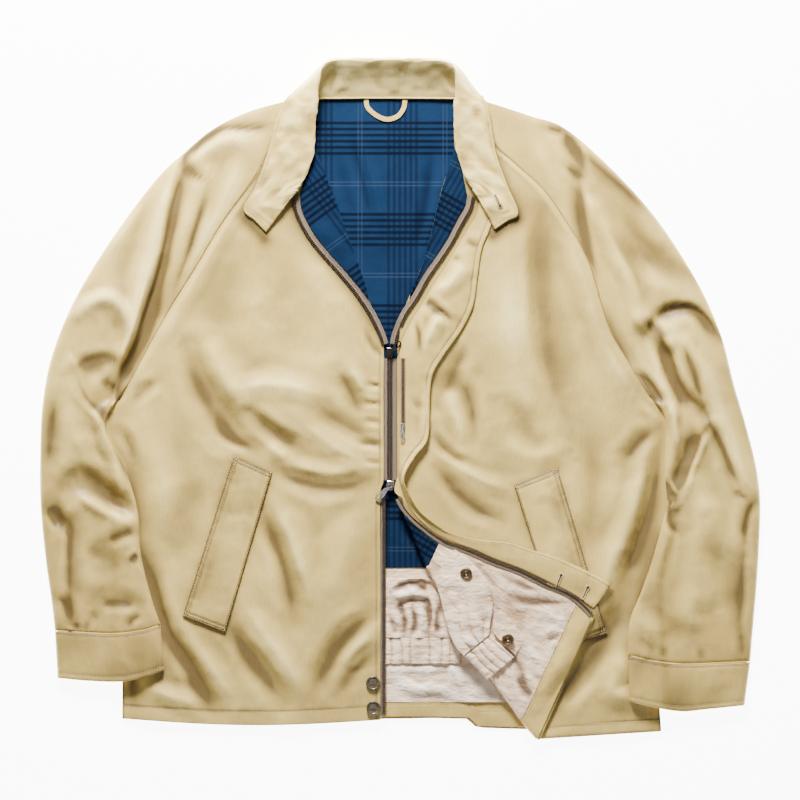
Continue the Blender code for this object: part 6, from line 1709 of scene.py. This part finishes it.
def build_guard_front():
    """Wind guard on the turned corner, with its elastic band and its button tab."""
    rows = rows_between(GUARD_FRONT, 60)
    plan, from_left, from_right = across(rows[:, 0:2], rows[:, 2:4], [0, 0.4, 1.0], [0, 0.4, 1.0], 56)
    u = from_left / (from_left + from_right)
    x, y = plan[..., 0], plan[..., 1]
    down = np.linspace(0, 1, 60)[:, None]
    puff = rows[:, 4:5] * (4 * u * (1 - u)) ** 0.6
    pleats = np.abs(np.sin(u * 3.6 * math.pi + 1.6 * noise(x, y, 20, 141) + 0.9 * down)) ** 0.6
    gathers = 1.9 * (pleats - 0.5) * ease(0.2, 0.95, down)
    gathers = gathers + 1.2 * (np.abs(noise(x + y, y - 0.4 * x, 19.0, 142)) - 0.3) * ease(0.0, 0.3, down)
    low = corner_top(x, y) + CORNER_GAP - 0.3
    middle = low + np.maximum(puff + gathers + 0.6 * rumple(x, y, 143, 16.0, 0.9), 0) + 0.5
    edge = rolled(np.minimum(from_left, from_right), 0.5)
    top = middle + 0.5 + edge
    grid = raised(plan, top)
    under = raised(plan, np.minimum(top - 0.7, low + 0.4))
    # painted shade in the gathers' troughs and painted highlight on their ridges
    shell("guard_front_cloth", grid, under, "nylon", grid, painted_light_of(gathers, 1.5) + 0.15)

    rows = rows_between(GUARD_BAND, 26)
    plan, from_left, from_right = across(rows[:, 0:2], rows[:, 2:4], [0, 0.4], [0, 0.4], 70)
    u = from_left / (from_left + from_right)
    x, y = plan[..., 0], plan[..., 1]
    run = line_run(plan)
    low = corner_top(x, y) + CORNER_GAP - 0.3
    ribs = 1.5 * (np.abs(np.sin(u * 4.4 * math.pi + 0.8 * noise(x, y, 12, 145))) ** 0.6 - 0.55)
    rows_of = sum(dip(run, at, 0.8, 0.35) for at in (2.6, 9.5, 16.5))
    top = low + 1.6 + rows[:, 4:5] * (4 * u * (1 - u)) ** 0.5 + ribs + rows_of + rolled(run, 0.5)
    band = raised(plan, top)
    shell("guard_front_band_cloth", band, raised(plan, low + 0.2), "nylon", band, painted_light_of(ribs, 1.5))
    height = height_on(band)

    rows = rows_between(GUARD_TAB, 40)
    near = [0, 0.3, 0.9, 1.8, 2.4]
    plan, from_left, from_right = across(rows[:, 0:2], rows[:, 2:4], near, near, 10)
    x, y = plan[..., 0], plan[..., 1]
    base = corner_top(x, y) + CORNER_GAP - 0.3
    on_band = height(x.ravel(), y.ravel()).reshape(x.shape) + 0.3
    spots = band.reshape(-1, 3)[None, ::7, :2]
    reach = np.sqrt(((spots - plan.reshape(-1, 1, 2)) ** 2).sum(axis=2)).min(axis=1).reshape(x.shape)
    base = np.maximum(base, np.where(reach < 5, on_band, base))
    gap = np.minimum(from_left, from_right)
    top = base + 1.2 + rolled(gap, 0.6) + dip(gap, TAB_ROW, 0.5, 0.25) + 0.15 * noise(x, y, 7, 147)
    shell("guard_tab_cloth", raised(plan, top), raised(plan, base), "nylon", raised(plan, top))


# ================================================================ pockets and fasteners
def build_pocket(name, corners, opening_left, seed):
    """Welt pocket, a stiff strip of cloth; returns its rows of stitches."""
    corners = [np.array(c, float) for c in corners]
    edge_row, opening_row = POCKET_ROWS
    seam, bar = POCKET_END_ROWS
    cuts = np.concatenate([[0, 0.4, 1.2, seam, 2.7, 5.0, bar, 6.8], np.linspace(10, 182, 62),
                           [185.2, 186.0, 187.0, 189.3, 190.0, 190.8, 191.6, 192]]) / POCKET_LENGTH
    left = corners[0][None] * (1 - cuts)[:, None] + corners[3][None] * cuts[:, None]
    right = corners[1][None] * (1 - cuts)[:, None] + corners[2][None] * cuts[:, None]
    near = [0, 0.3, 1.0, edge_row, 2.6, 4.0, opening_row, 5.4]
    plan, from_left, from_right = across(left, right, near, near, 12)
    x, y = plan[..., 0], plan[..., 1]
    run = cuts[:, None] * POCKET_LENGTH + x * 0
    end = np.minimum(run, POCKET_LENGTH - run)
    opening = from_left if opening_left else from_right
    other = from_right if opening_left else from_left
    gap = np.minimum(opening, other)
    inside = ease(3, 12, gap) * ease(3, 12, end)
    relief = rumple(x * 0.8, y * 1.3, seed, 20.0, 0.42) * inside
    relief = relief - 0.5 * np.exp(-((opening - 12) / 7.0) ** 2) * ease(8, 24, end)
    stitch_rows = ((opening, edge_row), (opening, opening_row), (other, edge_row), (end, seam), (end, bar))
    for distance, at in stitch_rows:
        relief = relief + dip(distance, at, 0.6, 0.5)
    relief = relief + pucker(opening, run, opening_row, 6, 0.25, seed + 3)
    relief = relief + pucker(end, opening, bar, 6, 0.2, seed + 4)
    base = front_height(x, y) + POCKET_GAP
    top = base + CLOTH + 0.9 + np.clip(relief, -1.2, 0.9) + rolled(gap, 1.4) + rolled(end, 1.3)
    grid = raised(plan, top)
    # the front's painted light, weakened; painted highlight on the rolled edge; painted shade in the stitch
    # rows and a painted shadow round the pocket's outline
    painted_light = front_painted_light(x, y) * 0.7 + painted_light_of(relief, 1.3) + 0.35 * np.exp(-((gap - 3.3) / 1.2) ** 2)
    for distance, at in stitch_rows:
        painted_light = painted_light - painted_groove_shade(distance, at, 0.7, 1.1)
    painted_light = painted_light - painted_groove_shade(np.minimum(gap, end), 0.0, 0.7, 1.6)
    shell(name + "_cloth", grid, raised(plan, base), "khaki", raised(plan, top), painted_light)
    left_rows, right_rows = (POCKET_ROWS, POCKET_ROWS[:1]) if opening_left else (POCKET_ROWS[:1], POCKET_ROWS)
    lines = [column_line(grid, from_left, at) for at in left_rows]
    lines += [column_line(grid, from_right, at) for at in right_rows]
    for at in (seam, bar, POCKET_LENGTH - bar, POCKET_LENGTH - seam):
        lines.append(grid[int(np.argmin(np.abs(run[:, 0] - at)))])
    return lines


def lathe(profile, at, around=44):
    """A turned piece: radius and height of each corner of its profile, which closes on the axis."""
    angles = np.linspace(0, 2 * math.pi, around, endpoint=False)
    rings = [np.stack([r * np.cos(angles), r * np.sin(angles), np.full(around, h)], axis=1)
             for r, h in profile[1:-1]]
    points = np.concatenate(rings + [[[0, 0, profile[0][1]], [0, 0, profile[-1][1]]]]) + np.array(at)
    sides = ring_faces(len(rings), around)[:, [0, 3, 2, 1]]
    hub = len(rings) * around
    low = cap_faces(0, around, hub)[:, [1, 0, 2, 3]]
    return points, np.vstack([sides, low, cap_faces(hub - around, around, hub + 1)])


def build_buttons():
    """Four-hole buttons, sewn on with two loops of doubled thread."""
    profile = [(0, 0), (6.6, 0), (7.6, 0.35), (8.15, 1.0), (8.2, 1.7), (7.9, 2.3), (7.3, 2.6), (6.6, 2.55),
               (6.1, 2.1), (5.6, 1.75), (3.5, 1.68), (0, 1.66)]
    ring = [(0, 1.66), (1.05, 1.66), (1.05, 1.76), (0.8, 1.78), (0, 1.78)]
    off = 1.6                # of each hole from the middle, along and across
    for name, (x, y) in BUTTONS.items():
        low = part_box(name)[0][2] / MM
        joined(name + "_disc", [lathe(profile, (x, y, low))], "horn", 40)
        # dark discs of painted shade stand in the holes
        holes = [lathe(ring, (x + dx, y + dy, low), 16) for dy in (-off, off) for dx in (-off, off)]
        threads = []
        for side in (-off, off):
            for shift in (-0.25, 0.25):
                at = x + side + shift
                line = [(at, y - off, low + 1.75), (at, y, low + 2.25), (at, y + off, low + 1.75)]
                threads.append(cord_tube(along(line, np.linspace(0, 1, 9)), 0.3, 6))
        joined(name + "_holes", holes, "shade", 40)
        joined(name + "_threads", threads, "button_thread", 60)


def build_snaps():
    """Snap fasteners, each a dished cap with a stud in its middle."""
    profile = [(0, 0), (6.3, 0), (6.9, 0.35), (7.0, 0.8), (6.9, 1.3), (6.4, 1.8), (5.6, 1.95), (4.8, 1.85),
               (4.1, 1.5), (3.7, 1.2), (2.9, 1.2), (2.6, 1.5), (2.45, 2.3), (2.1, 2.75), (1.6, 2.85),
               (1.2, 2.6), (1.0, 1.6), (0.6, 1.45), (0, 1.4)]
    for name, (x, y) in SNAPS.items():
        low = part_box(name)[0][2] / MM
        joined(name + "_metal", [lathe(profile, (x, y, low), 48)], "brass", 35)


def build_pocket_zip(flap_height):
    """Short closed zip on the storm flap: one tape and two rows of teeth."""
    rows = np.linspace(POCKET_ZIP["top"], POCKET_ZIP["foot"], 50)
    line = upright(POCKET_ZIP["middle"], rows)
    base_line = flap_height(line[:, 0], line[:, 1])

    def floor(_, y):
        return np.interp(-np.asarray(y, float), -rows, base_line) + 0.3

    spots = [2.8, 2.55, 1.6, 1.2, 0.2, -0.2, -1.2, -1.6, -2.55, -2.8]
    plan = np.stack([line + np.array([at, 0]) for at in spots], axis=1)
    base = floor(plan[..., 0], plan[..., 1])
    top = base + 0.7 + np.array([-0.25, 0, 0, 0.1, 0.3, 0.3, 0.1, 0, 0, -0.25])[None]
    grid = raised(plan, top)
    shell("pocket_zip_tape", grid, raised(plan, base), "tape", grid)
    small = {"pitch": 1.5, "reach": 0.9, "thick": 0.8, "rise": 1.6, "inner": 1.0}
    parts = teeth(line, 1, floor, **small) + teeth(line, -1, floor, phase=small["pitch"] / 2, **small)
    joined("pocket_zip_teeth", parts, "copper", 40)


# ================================================================ materials
def plug(tree, socket, value):
    """Links an output to a socket, or sets the socket to a value."""
    if isinstance(value, bpy.types.NodeSocket):
        tree.links.new(value, socket)
    else:
        socket.default_value = value


def node(tree, kind, settings=None, **inputs):
    """A node with its settings, and with its inputs linked or set by name."""
    made = tree.nodes.new(kind)
    for key, value in (settings or {}).items():
        setattr(made, key, value)
    for key, value in inputs.items():
        plug(tree, made.inputs[key], value)
    return made


def math_node(tree, operation, a, b=0.0, c=None):
    """A sum of one, two or three values."""
    made = node(tree, "ShaderNodeMath", {"operation": operation})
    for socket, value in zip(made.inputs, (a, b) if c is None else (a, b, c)):
        plug(tree, socket, value)
    return made.outputs[0]


def ramp(tree, factor, stops):
    """A colour for each value, blended between stops."""
    made = tree.nodes.new("ShaderNodeValToRGB")
    tree.links.new(factor, made.inputs[0])
    bands = made.color_ramp.elements
    while len(bands) > 1:
        bands.remove(bands[-1])
    bands[0].position, bands[0].color = stops[0][0], (*stops[0][1], 1.0)
    for place, colour in stops[1:]:
        bands.new(place).color = (*colour, 1.0)
    return made.outputs[0]


def greys(tree, factor, low, high, start=0.3, stop=0.7):
    """A grey between two values, for a roughness."""
    return ramp(tree, factor, [(start, (low,) * 3), (stop, (high,) * 3)])


def mix(tree, factor, a, b, kind="MIX"):
    """Two colours blended, or multiplied."""
    made = node(tree, "ShaderNodeMix", {"data_type": "RGBA", "blend_type": kind})
    for socket, value in ((made.inputs[0], factor), (made.inputs[6], a), (made.inputs[7], b)):
        plug(tree, socket, (*value, 1.0) if isinstance(value, tuple) else value)
    return made.outputs[2]


def stretched(tree, vector, scale, turn=0.0):
    """Coordinates scaled, and turned about Z."""
    made = node(tree, "ShaderNodeMapping", None, Vector=vector, Scale=scale, Rotation=(0, 0, turn))
    return made.outputs[0]


def bumps(tree, layers):
    """Bump nodes in a row, each with a height, a strength and a distance in millimetres."""
    normal = None
    for height, strength, distance in layers:
        made = node(tree, "ShaderNodeBump", None, Strength=strength, Distance=distance * MM, Height=height)
        if normal is not None:
            tree.links.new(normal, made.inputs["Normal"])
        normal = made.outputs[0]
    return normal


def dress(tree, shader, colour, roughness, layers=()):
    """Gives a shader its colour, its roughness and its bumps."""
    tree.links.new(colour, shader.inputs["Base Color"])
    tree.links.new(roughness, shader.inputs["Roughness"])
    if layers:
        tree.links.new(bumps(tree, layers), shader.inputs["Normal"])


def noise_of(tree, vector, scale, detail=3.0, rough=0.5):
    """A noise texture."""
    made = node(tree, "ShaderNodeTexNoise", None, Vector=vector, Scale=scale, Detail=detail, Roughness=rough)
    return made.outputs[0]


WAVE_PERIOD = 0.314      # of a wave texture at scale 1


def wave_of(tree, vector, pitch, turn=0.0, warp=0.0):
    """Bands at a pitch in millimetres, straight or warped, for a weave."""
    moved = stretched(tree, vector, (1, 1, 1), turn)
    scale = WAVE_PERIOD / pitch
    made = node(tree, "ShaderNodeTexWave", None, Vector=moved, Scale=scale, Distortion=warp, Detail=1.0)
    return made.outputs[0]


def shade_by_depth(tree, stops):
    """Colours that paint shade and highlight by how deep in a trough or high on a ridge the cloth lies, first
    the deepest.
    """
    painted_light = node(tree, "ShaderNodeAttribute", {"attribute_name": "painted_light"}).outputs["Fac"]
    return ramp(tree, math_node(tree, "MULTIPLY_ADD", painted_light, 0.5, 0.5), stops)


def khaki(tree, shader, cloth):
    """Cotton of the shell, with painted shade in its folds and painted highlight on its ridges."""
    # base colour runs from the deepest painted shade to the brightest painted highlight
    base = shade_by_depth(tree, [(0.0, (0.13, 0.086, 0.025)), (0.25, (0.34, 0.240, 0.066)),
                           (0.5, (0.53, 0.382, 0.108)), (0.75, (0.62, 0.466, 0.145)),
                           (1.0, (0.76, 0.60, 0.22))])
    broad = noise_of(tree, cloth, 0.008, 1.5)
    patches = ramp(tree, broad, [(0.30, (0.84, 0.82, 0.80)), (0.72, (1.16, 1.17, 1.2))])
    slubs = noise_of(tree, stretched(tree, cloth, (1.6, 0.09, 1)), 0.55, 3.0)
    grain = ramp(tree, slubs, [(0.3, (0.94, 0.94, 0.93)), (0.6, (1.03, 1.03, 1.03))])
    colour = mix(tree, 1.0, mix(tree, 1.0, base, patches, "MULTIPLY"), grain, "MULTIPLY")
    twill = wave_of(tree, cloth, 0.85, math.radians(52), 0.6)
    crumple = noise_of(tree, stretched(tree, cloth, (1.0, 0.55, 1)), 0.085, 4.0, 0.55)
    fine = noise_of(tree, cloth, 0.75, 2.0)
    rough = greys(tree, noise_of(tree, cloth, 0.03, 2.0), 0.42, 0.54)
    dress(tree, shader, colour, rough, [(crumple, 0.6, 1.8), (fine, 0.25, 0.16), (twill, 0.22, 0.10)])
    shader.inputs["Specular IOR Level"].default_value = 0.28
    shader.inputs["Sheen Weight"].default_value = 0.1
    shader.inputs["Sheen Roughness"].default_value = 0.35
    shader.inputs["Sheen Tint"].default_value = (1.0, 0.93, 0.78, 1.0)


def stripes(middles, half, soft):
    """Stops of a ramp that is 1 on each stripe and 0 between them."""
    stops = [(0.0, (0, 0, 0))]
    for middle in middles:
        stops += [(middle - half - soft, (0, 0, 0)), (middle - half, (1, 1, 1)), (middle + half, (1, 1, 1)),
                  (middle + half + soft, (0, 0, 0))]
    return stops


def check(tree, shader, cloth):
    """Navy check of the lining: groups of dark stripes, with a thin pale one between the groups."""
    parts = node(tree, "ShaderNodeSeparateXYZ", None, Vector=cloth)
    navy, pale = [], []
    for axis, (period, pitch) in enumerate(((97.75, 6.4), (105.0, 7.0))):
        shift = 0.5 - CHECK_MIDDLE[axis] / period
        place = math_node(tree, "MULTIPLY_ADD", parts.outputs[axis], 1 / period, shift)
        place = math_node(tree, "FRACT", place)
        group = [0.5 + (k - 2.5) * pitch / period for k in range(6)]
        navy.append(ramp(tree, place, stripes(group, 1.55 / period, 0.3 / period)))
        edge = [2.1 / period, 1 - 2.1 / period]
        pale.append(ramp(tree, place, stripes(edge, 0.55 / period, 0.25 / period)))
    weave = wave_of(tree, cloth, 0.9, math.radians(45), 0.2)
    ground = mix(tree, noise_of(tree, cloth, 0.4, 2.0), (0.0028, 0.0125, 0.036), (0.0042, 0.0175, 0.049))
    dark = mix(tree, math_node(tree, "MULTIPLY", navy[0], 0.6), ground, (0.0012, 0.0045, 0.015))
    dark = mix(tree, math_node(tree, "MULTIPLY", navy[1], 0.86), dark, (0.0006, 0.0022, 0.008))
    light = mix(tree, math_node(tree, "MULTIPLY", pale[0], 0.22), dark, (0.03, 0.052, 0.09))
    light = mix(tree, math_node(tree, "MULTIPLY", pale[1], 0.36), light, (0.03, 0.052, 0.09))
    # painted shade in the lining's troughs and painted highlight on its ridges
    shaded = shade_by_depth(tree, [(0.0, (0.62, 0.62, 0.66)), (0.5, (1.0, 1.0, 1.0)), (1.0, (1.22, 1.2, 1.16))])
    colour = mix(tree, 1.0, light, shaded, "MULTIPLY")
    rough = greys(tree, weave, 0.72, 0.86, 0.2, 0.8)
    crumple = noise_of(tree, cloth, 0.09, 3.0)
    dress(tree, shader, colour, rough, [(crumple, 0.5, 1.1), (weave, 0.4, 0.12)])
    shader.inputs["Specular IOR Level"].default_value = 0.05


def nylon(tree, shader, cloth):
    """Thin tan nylon of the lower lining and the wind guard, crumpled, with painted shade in its folds and in
    the low parts of its wrinkles.
    """
    # base colour: painted shade in folds and painted highlight on ridges
    base = shade_by_depth(tree, [(0.0, (0.16, 0.10, 0.06)), (0.25, (0.43, 0.30, 0.19)), (0.5, (0.77, 0.58, 0.40)),
                           (1.0, (0.90, 0.78, 0.63))])
    broad = noise_of(tree, cloth, 0.02, 3.0)
    patches = ramp(tree, broad, [(0.3, (0.95, 0.92, 0.90)), (0.7, (1.11, 1.08, 1.06))])
    crumple = noise_of(tree, stretched(tree, cloth, (0.7, 1.2, 1)), 0.12, 4.0, 0.6)
    wrinkle = noise_of(tree, stretched(tree, cloth, (0.6, 1.2, 1)), 0.045, 3.0, 0.5)
    # painted shade in the low parts of the wrinkle bump
    wrinkle_shade = ramp(tree, wrinkle, [(0.36, (0.76, 0.69, 0.62)), (0.46, (0.98, 0.97, 0.96)),
                                   (0.64, (1.05, 1.05, 1.05))])
    colour = mix(tree, 1.0, mix(tree, 1.0, base, patches, "MULTIPLY"), wrinkle_shade, "MULTIPLY")
    weave = wave_of(tree, cloth, 0.45, 0.0, 0.1)
    rough = greys(tree, noise_of(tree, cloth, 0.2, 2.0), 0.32, 0.42)
    dress(tree, shader, colour, rough, [(wrinkle, 0.8, 4.5), (crumple, 0.9, 2.4), (weave, 0.2, 0.05)])
    shader.inputs["Specular IOR Level"].default_value = 0.35


def woven_tape(tree, shader, cloth):
    """Brown ribbed tape of the zips."""
    ribs = wave_of(tree, cloth, 0.8, math.radians(90), 0.3)
    colour = ramp(tree, ribs, [(0.1, (0.10, 0.068, 0.042)), (0.8, (0.15, 0.105, 0.066))])
    rough = greys(tree, noise_of(tree, cloth, 0.5, 2.0), 0.62, 0.78)
    dress(tree, shader, colour, rough, [(ribs, 0.6, 0.2), (noise_of(tree, cloth, 1.5, 2.0), 0.3, 0.15)])


def thread_of(dark, light):
    """The look of a twisted thread between two colours."""
    def build(tree, shader, cloth):
        ply = wave_of(tree, cloth, 0.5, math.radians(30), 0.4)
        colour = ramp(tree, ply, [(0.1, dark), (0.8, light)])
        dress(tree, shader, colour, greys(tree, ply, 0.5, 0.62, 0.1, 0.8), [(ply, 0.5, 0.08)])
    return build


def metal_of(dark, light, low, high, scale=0.6):
    """The look of a worn metal between two colours and two roughnesses."""
    def build(tree, shader, cloth):
        wear = noise_of(tree, cloth, scale, 4.0, 0.6)
        colour = ramp(tree, wear, [(0.32, dark), (0.68, light)])
        rough = greys(tree, noise_of(tree, cloth, scale * 1.7, 3.0), low, high)
        dress(tree, shader, colour, rough, [(noise_of(tree, cloth, scale * 3, 2.0), 0.25, 0.06)])
        shader.inputs["Metallic"].default_value = 1.0
    return build


def horn(tree, shader, cloth):
    """Dark brown resin of the buttons, swirled like horn."""
    swirl = noise_of(tree, stretched(tree, cloth, (0.5, 1.6, 1)), 0.35, 4.0, 0.6)
    colour = ramp(tree, swirl, [(0.3, (0.035, 0.027, 0.015)), (0.55, (0.075, 0.058, 0.032)),
                                (0.75, (0.13, 0.105, 0.06))])
    rough = greys(tree, noise_of(tree, cloth, 0.8, 2.0), 0.22, 0.34)
    dress(tree, shader, colour, rough, [(swirl, 0.12, 0.08)])


def shade(tree, shader, cloth):
    """Painted shade: the dark inside of a hole or a slit."""
    mottle = noise_of(tree, cloth, 0.7, 2.0)
    colour = ramp(tree, mottle, [(0.3, (0.02, 0.014, 0.009)), (0.7, (0.045, 0.032, 0.02))])
    dress(tree, shader, colour, greys(tree, mottle, 0.8, 0.95))


LOOKS = {
    "khaki": khaki, "check": check, "nylon": nylon, "tape": woven_tape,
    "thread": thread_of((0.44, 0.30, 0.12), (0.62, 0.46, 0.21)),
    "button_thread": thread_of((0.06, 0.045, 0.025), (0.12, 0.09, 0.05)),
    "teeth": metal_of((0.16, 0.12, 0.09), (0.34, 0.27, 0.21), 0.3, 0.5),
    "copper": metal_of((0.30, 0.15, 0.08), (0.52, 0.30, 0.17), 0.25, 0.4),
    "gunmetal": metal_of((0.07, 0.065, 0.06), (0.16, 0.15, 0.14), 0.2, 0.36),
    "silver": metal_of((0.55, 0.54, 0.52), (0.78, 0.77, 0.75), 0.14, 0.28),
    "brass": metal_of((0.10, 0.07, 0.038), (0.27, 0.19, 0.10), 0.25, 0.45, 0.45),
    "horn": horn, "shade": shade,
}


def material(name, from_object=False):
    """The material of a look, laid out by cloth coordinates or by the object's own."""
    key = name + "_solid" if from_object else name
    made = bpy.data.materials.get(key)
    if made is not None:
        return made
    made = bpy.data.materials.new(key)
    made.use_nodes = True
    tree = made.node_tree
    shader = tree.nodes["Principled BSDF"]
    if from_object:
        place = node(tree, "ShaderNodeTexCoord")
        cloth = stretched(tree, place.outputs["Object"], (1000, 1000, 1000))
    else:
        cloth = node(tree, "ShaderNodeAttribute", {"attribute_name": "cloth"}).outputs["Vector"]
    LOOKS[name](tree, shader, cloth)
    return made


# ================================================================ making everything
stitch_lines = build_front_left()
front_right_grid, upper_rows, lines = build_front_right()
stitch_lines += lines
stitch_lines += build_corner_linings(front_right_grid, upper_rows)
stitch_lines += build_back()
build_guard_back()
build_sleeve("sleeve_left_cloth", SLEEVE_LEFT, RAGLAN_LEFT, CUFF_LEFT, SLEEVE_FOLDS_LEFT, SLEEVE_CREASES_LEFT,
             EDGE_LEFT_LINE, 31)
build_sleeve("sleeve_right_cloth", SLEEVE_RIGHT, RAGLAN_RIGHT, CUFF_RIGHT, SLEEVE_FOLDS_RIGHT,
             SLEEVE_CREASES_RIGHT, EDGE_RIGHT_LINE, 41)
piping = []
for name, table, edge, seed in (("cuff_left_cloth", CUFF_LEFT, EDGE_LEFT_LINE, 151),
                                ("cuff_right_cloth", CUFF_RIGHT, EDGE_RIGHT_LINE, 161)):
    lines, seam = build_cuff(name, table, edge, seed)
    stitch_lines += lines
    piping.append(cord_tube(seam, 0.85))
lines, collar_top = build_collar()
stitch_lines += lines
stitch_lines += build_hanger_loop()
build_lapel("lapel_lining_left", LAPEL_LEFT, ZIP_LEFT, 1, 111, (-82, 238))
build_lapel("lapel_lining_right", LAPEL_RIGHT, ZIP_RIGHT, -1, 113, (53, 215))
build_zips()
flap_grid, lines = build_storm_flap()
stitch_lines += lines
flap_height = height_on(flap_grid)
right_collar_height = height_on(collar_top[:, collar_top.shape[1] // 2:])
for name, (eye, end) in BUTTONHOLES.items():
    buttonhole(name, eye, end, right_collar_height if name == "buttonhole_collar" else flap_height)
build_pocket_zip(flap_height)
build_guard_front()
stitch_lines += build_pocket("pocket_left", POCKET_LEFT, True, 171)
stitch_lines += build_pocket("pocket_right", POCKET_RIGHT, False, 181)
build_buttons()
build_snaps()

neck = along([(-97, 345.6), (-60, 346), (-16, 346.2), (30, 346), (64.5, 345.6)], np.linspace(0, 1, 70))
piping.append(cord_tube(raised(neck, np.full(70, 6.3)), 1.15, 9))
for seam in (RAGLAN_LEFT, RAGLAN_RIGHT):
    spots = along(seam, np.linspace(0.01, 0.99, 120))
    height = np.maximum(front_height(spots[:, 0], spots[:, 1]) - 2.9, 1.6)
    piping.append(cord_tube(raised(spots, height), 1.25))
joined("seam_piping", piping, "khaki", 60)
threads = [part for line in stitch_lines if len(line) > 2 for part in stitches(line)]
joined("stitching_thread", threads, "thread", 80)

# ================================================================ what stands for what
for name, thing in PIECES.items():
    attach(thing, "jacket")
    for ending in ("_cloth", "_tape", "_tape_left", "_disc", "_metal"):
        if name.endswith(ending) and name[:-len(ending)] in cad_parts:
            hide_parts(name[:-len(ending)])

for node_name, finish in (("slider_top", "gunmetal"), ("pull_top", "gunmetal"), ("slider_bottom", "silver"),
                          ("pull_bottom", "silver"), ("slider_pocket", "silver"), ("pull_pocket", "silver")):
    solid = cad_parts[node_name]
    for place in solid.material_slots:
        place.material = material(finish, from_object=True)

# ================================================================ floor, light and camera
reach, below = 12.0, -0.0004      # in metres, as all that follows
corners = [(-reach, -reach, below), (reach, -reach, below), (reach, reach, below), (-reach, reach, below)]
floor_mesh = bpy.data.meshes.new("floor")
floor_mesh.from_pydata(corners, [], [(0, 1, 2, 3)])
floor = bpy.data.objects.new("floor", floor_mesh)
bpy.context.scene.collection.objects.link(floor)
paper = bpy.data.materials.new("paper")
paper.use_nodes = True
paper_shader = paper.node_tree.nodes["Principled BSDF"]
paper_shader.inputs["Base Color"].default_value = (0.93, 0.93, 0.93, 1)
paper_shader.inputs["Roughness"].default_value = 0.9
paper_shader.inputs["Specular IOR Level"].default_value = 0.1
paper_shader.inputs["Emission Color"].default_value = (1, 1, 1, 1)
paper_shader.inputs["Emission Strength"].default_value = 9.0
floor_mesh.materials.append(paper)

world = bpy.data.worlds.new("studio")
world.use_nodes = True
world.node_tree.nodes["Background"].inputs["Color"].default_value = (1.0, 0.99, 0.975, 1)
world.node_tree.nodes["Background"].inputs["Strength"].default_value = 0.1
bpy.context.scene.world = world
for name, place, size, energy, colour in (("key", (-0.25, 1.7, 0.95), 0.6, 215, (1.0, 0.985, 0.96)),
                                          ("fill", (0.2, -1.0, 1.8), 1.4, 12, (1.0, 1.0, 1.0))):
    lamp = bpy.data.lights.new(name, "AREA")
    lamp.shape, lamp.size, lamp.energy, lamp.color = "DISK", size, energy, colour
    lamp_object = bpy.data.objects.new(name, lamp)
    lamp_object.location = place
    lamp_object.rotation_euler = Vector((-place[0], -place[1], -place[2])).to_track_quat("-Z", "Y").to_euler()
    bpy.context.scene.collection.objects.link(lamp_object)

view = bpy.data.cameras.new("view")
view.type = "ORTHO"
view.ortho_scale = 0.92
view.clip_end = 10
camera = bpy.data.objects.new("view", view)
camera.location = (0.0, -0.00115, 2.2)
bpy.context.scene.collection.objects.link(camera)
bpy.context.scene.camera = camera
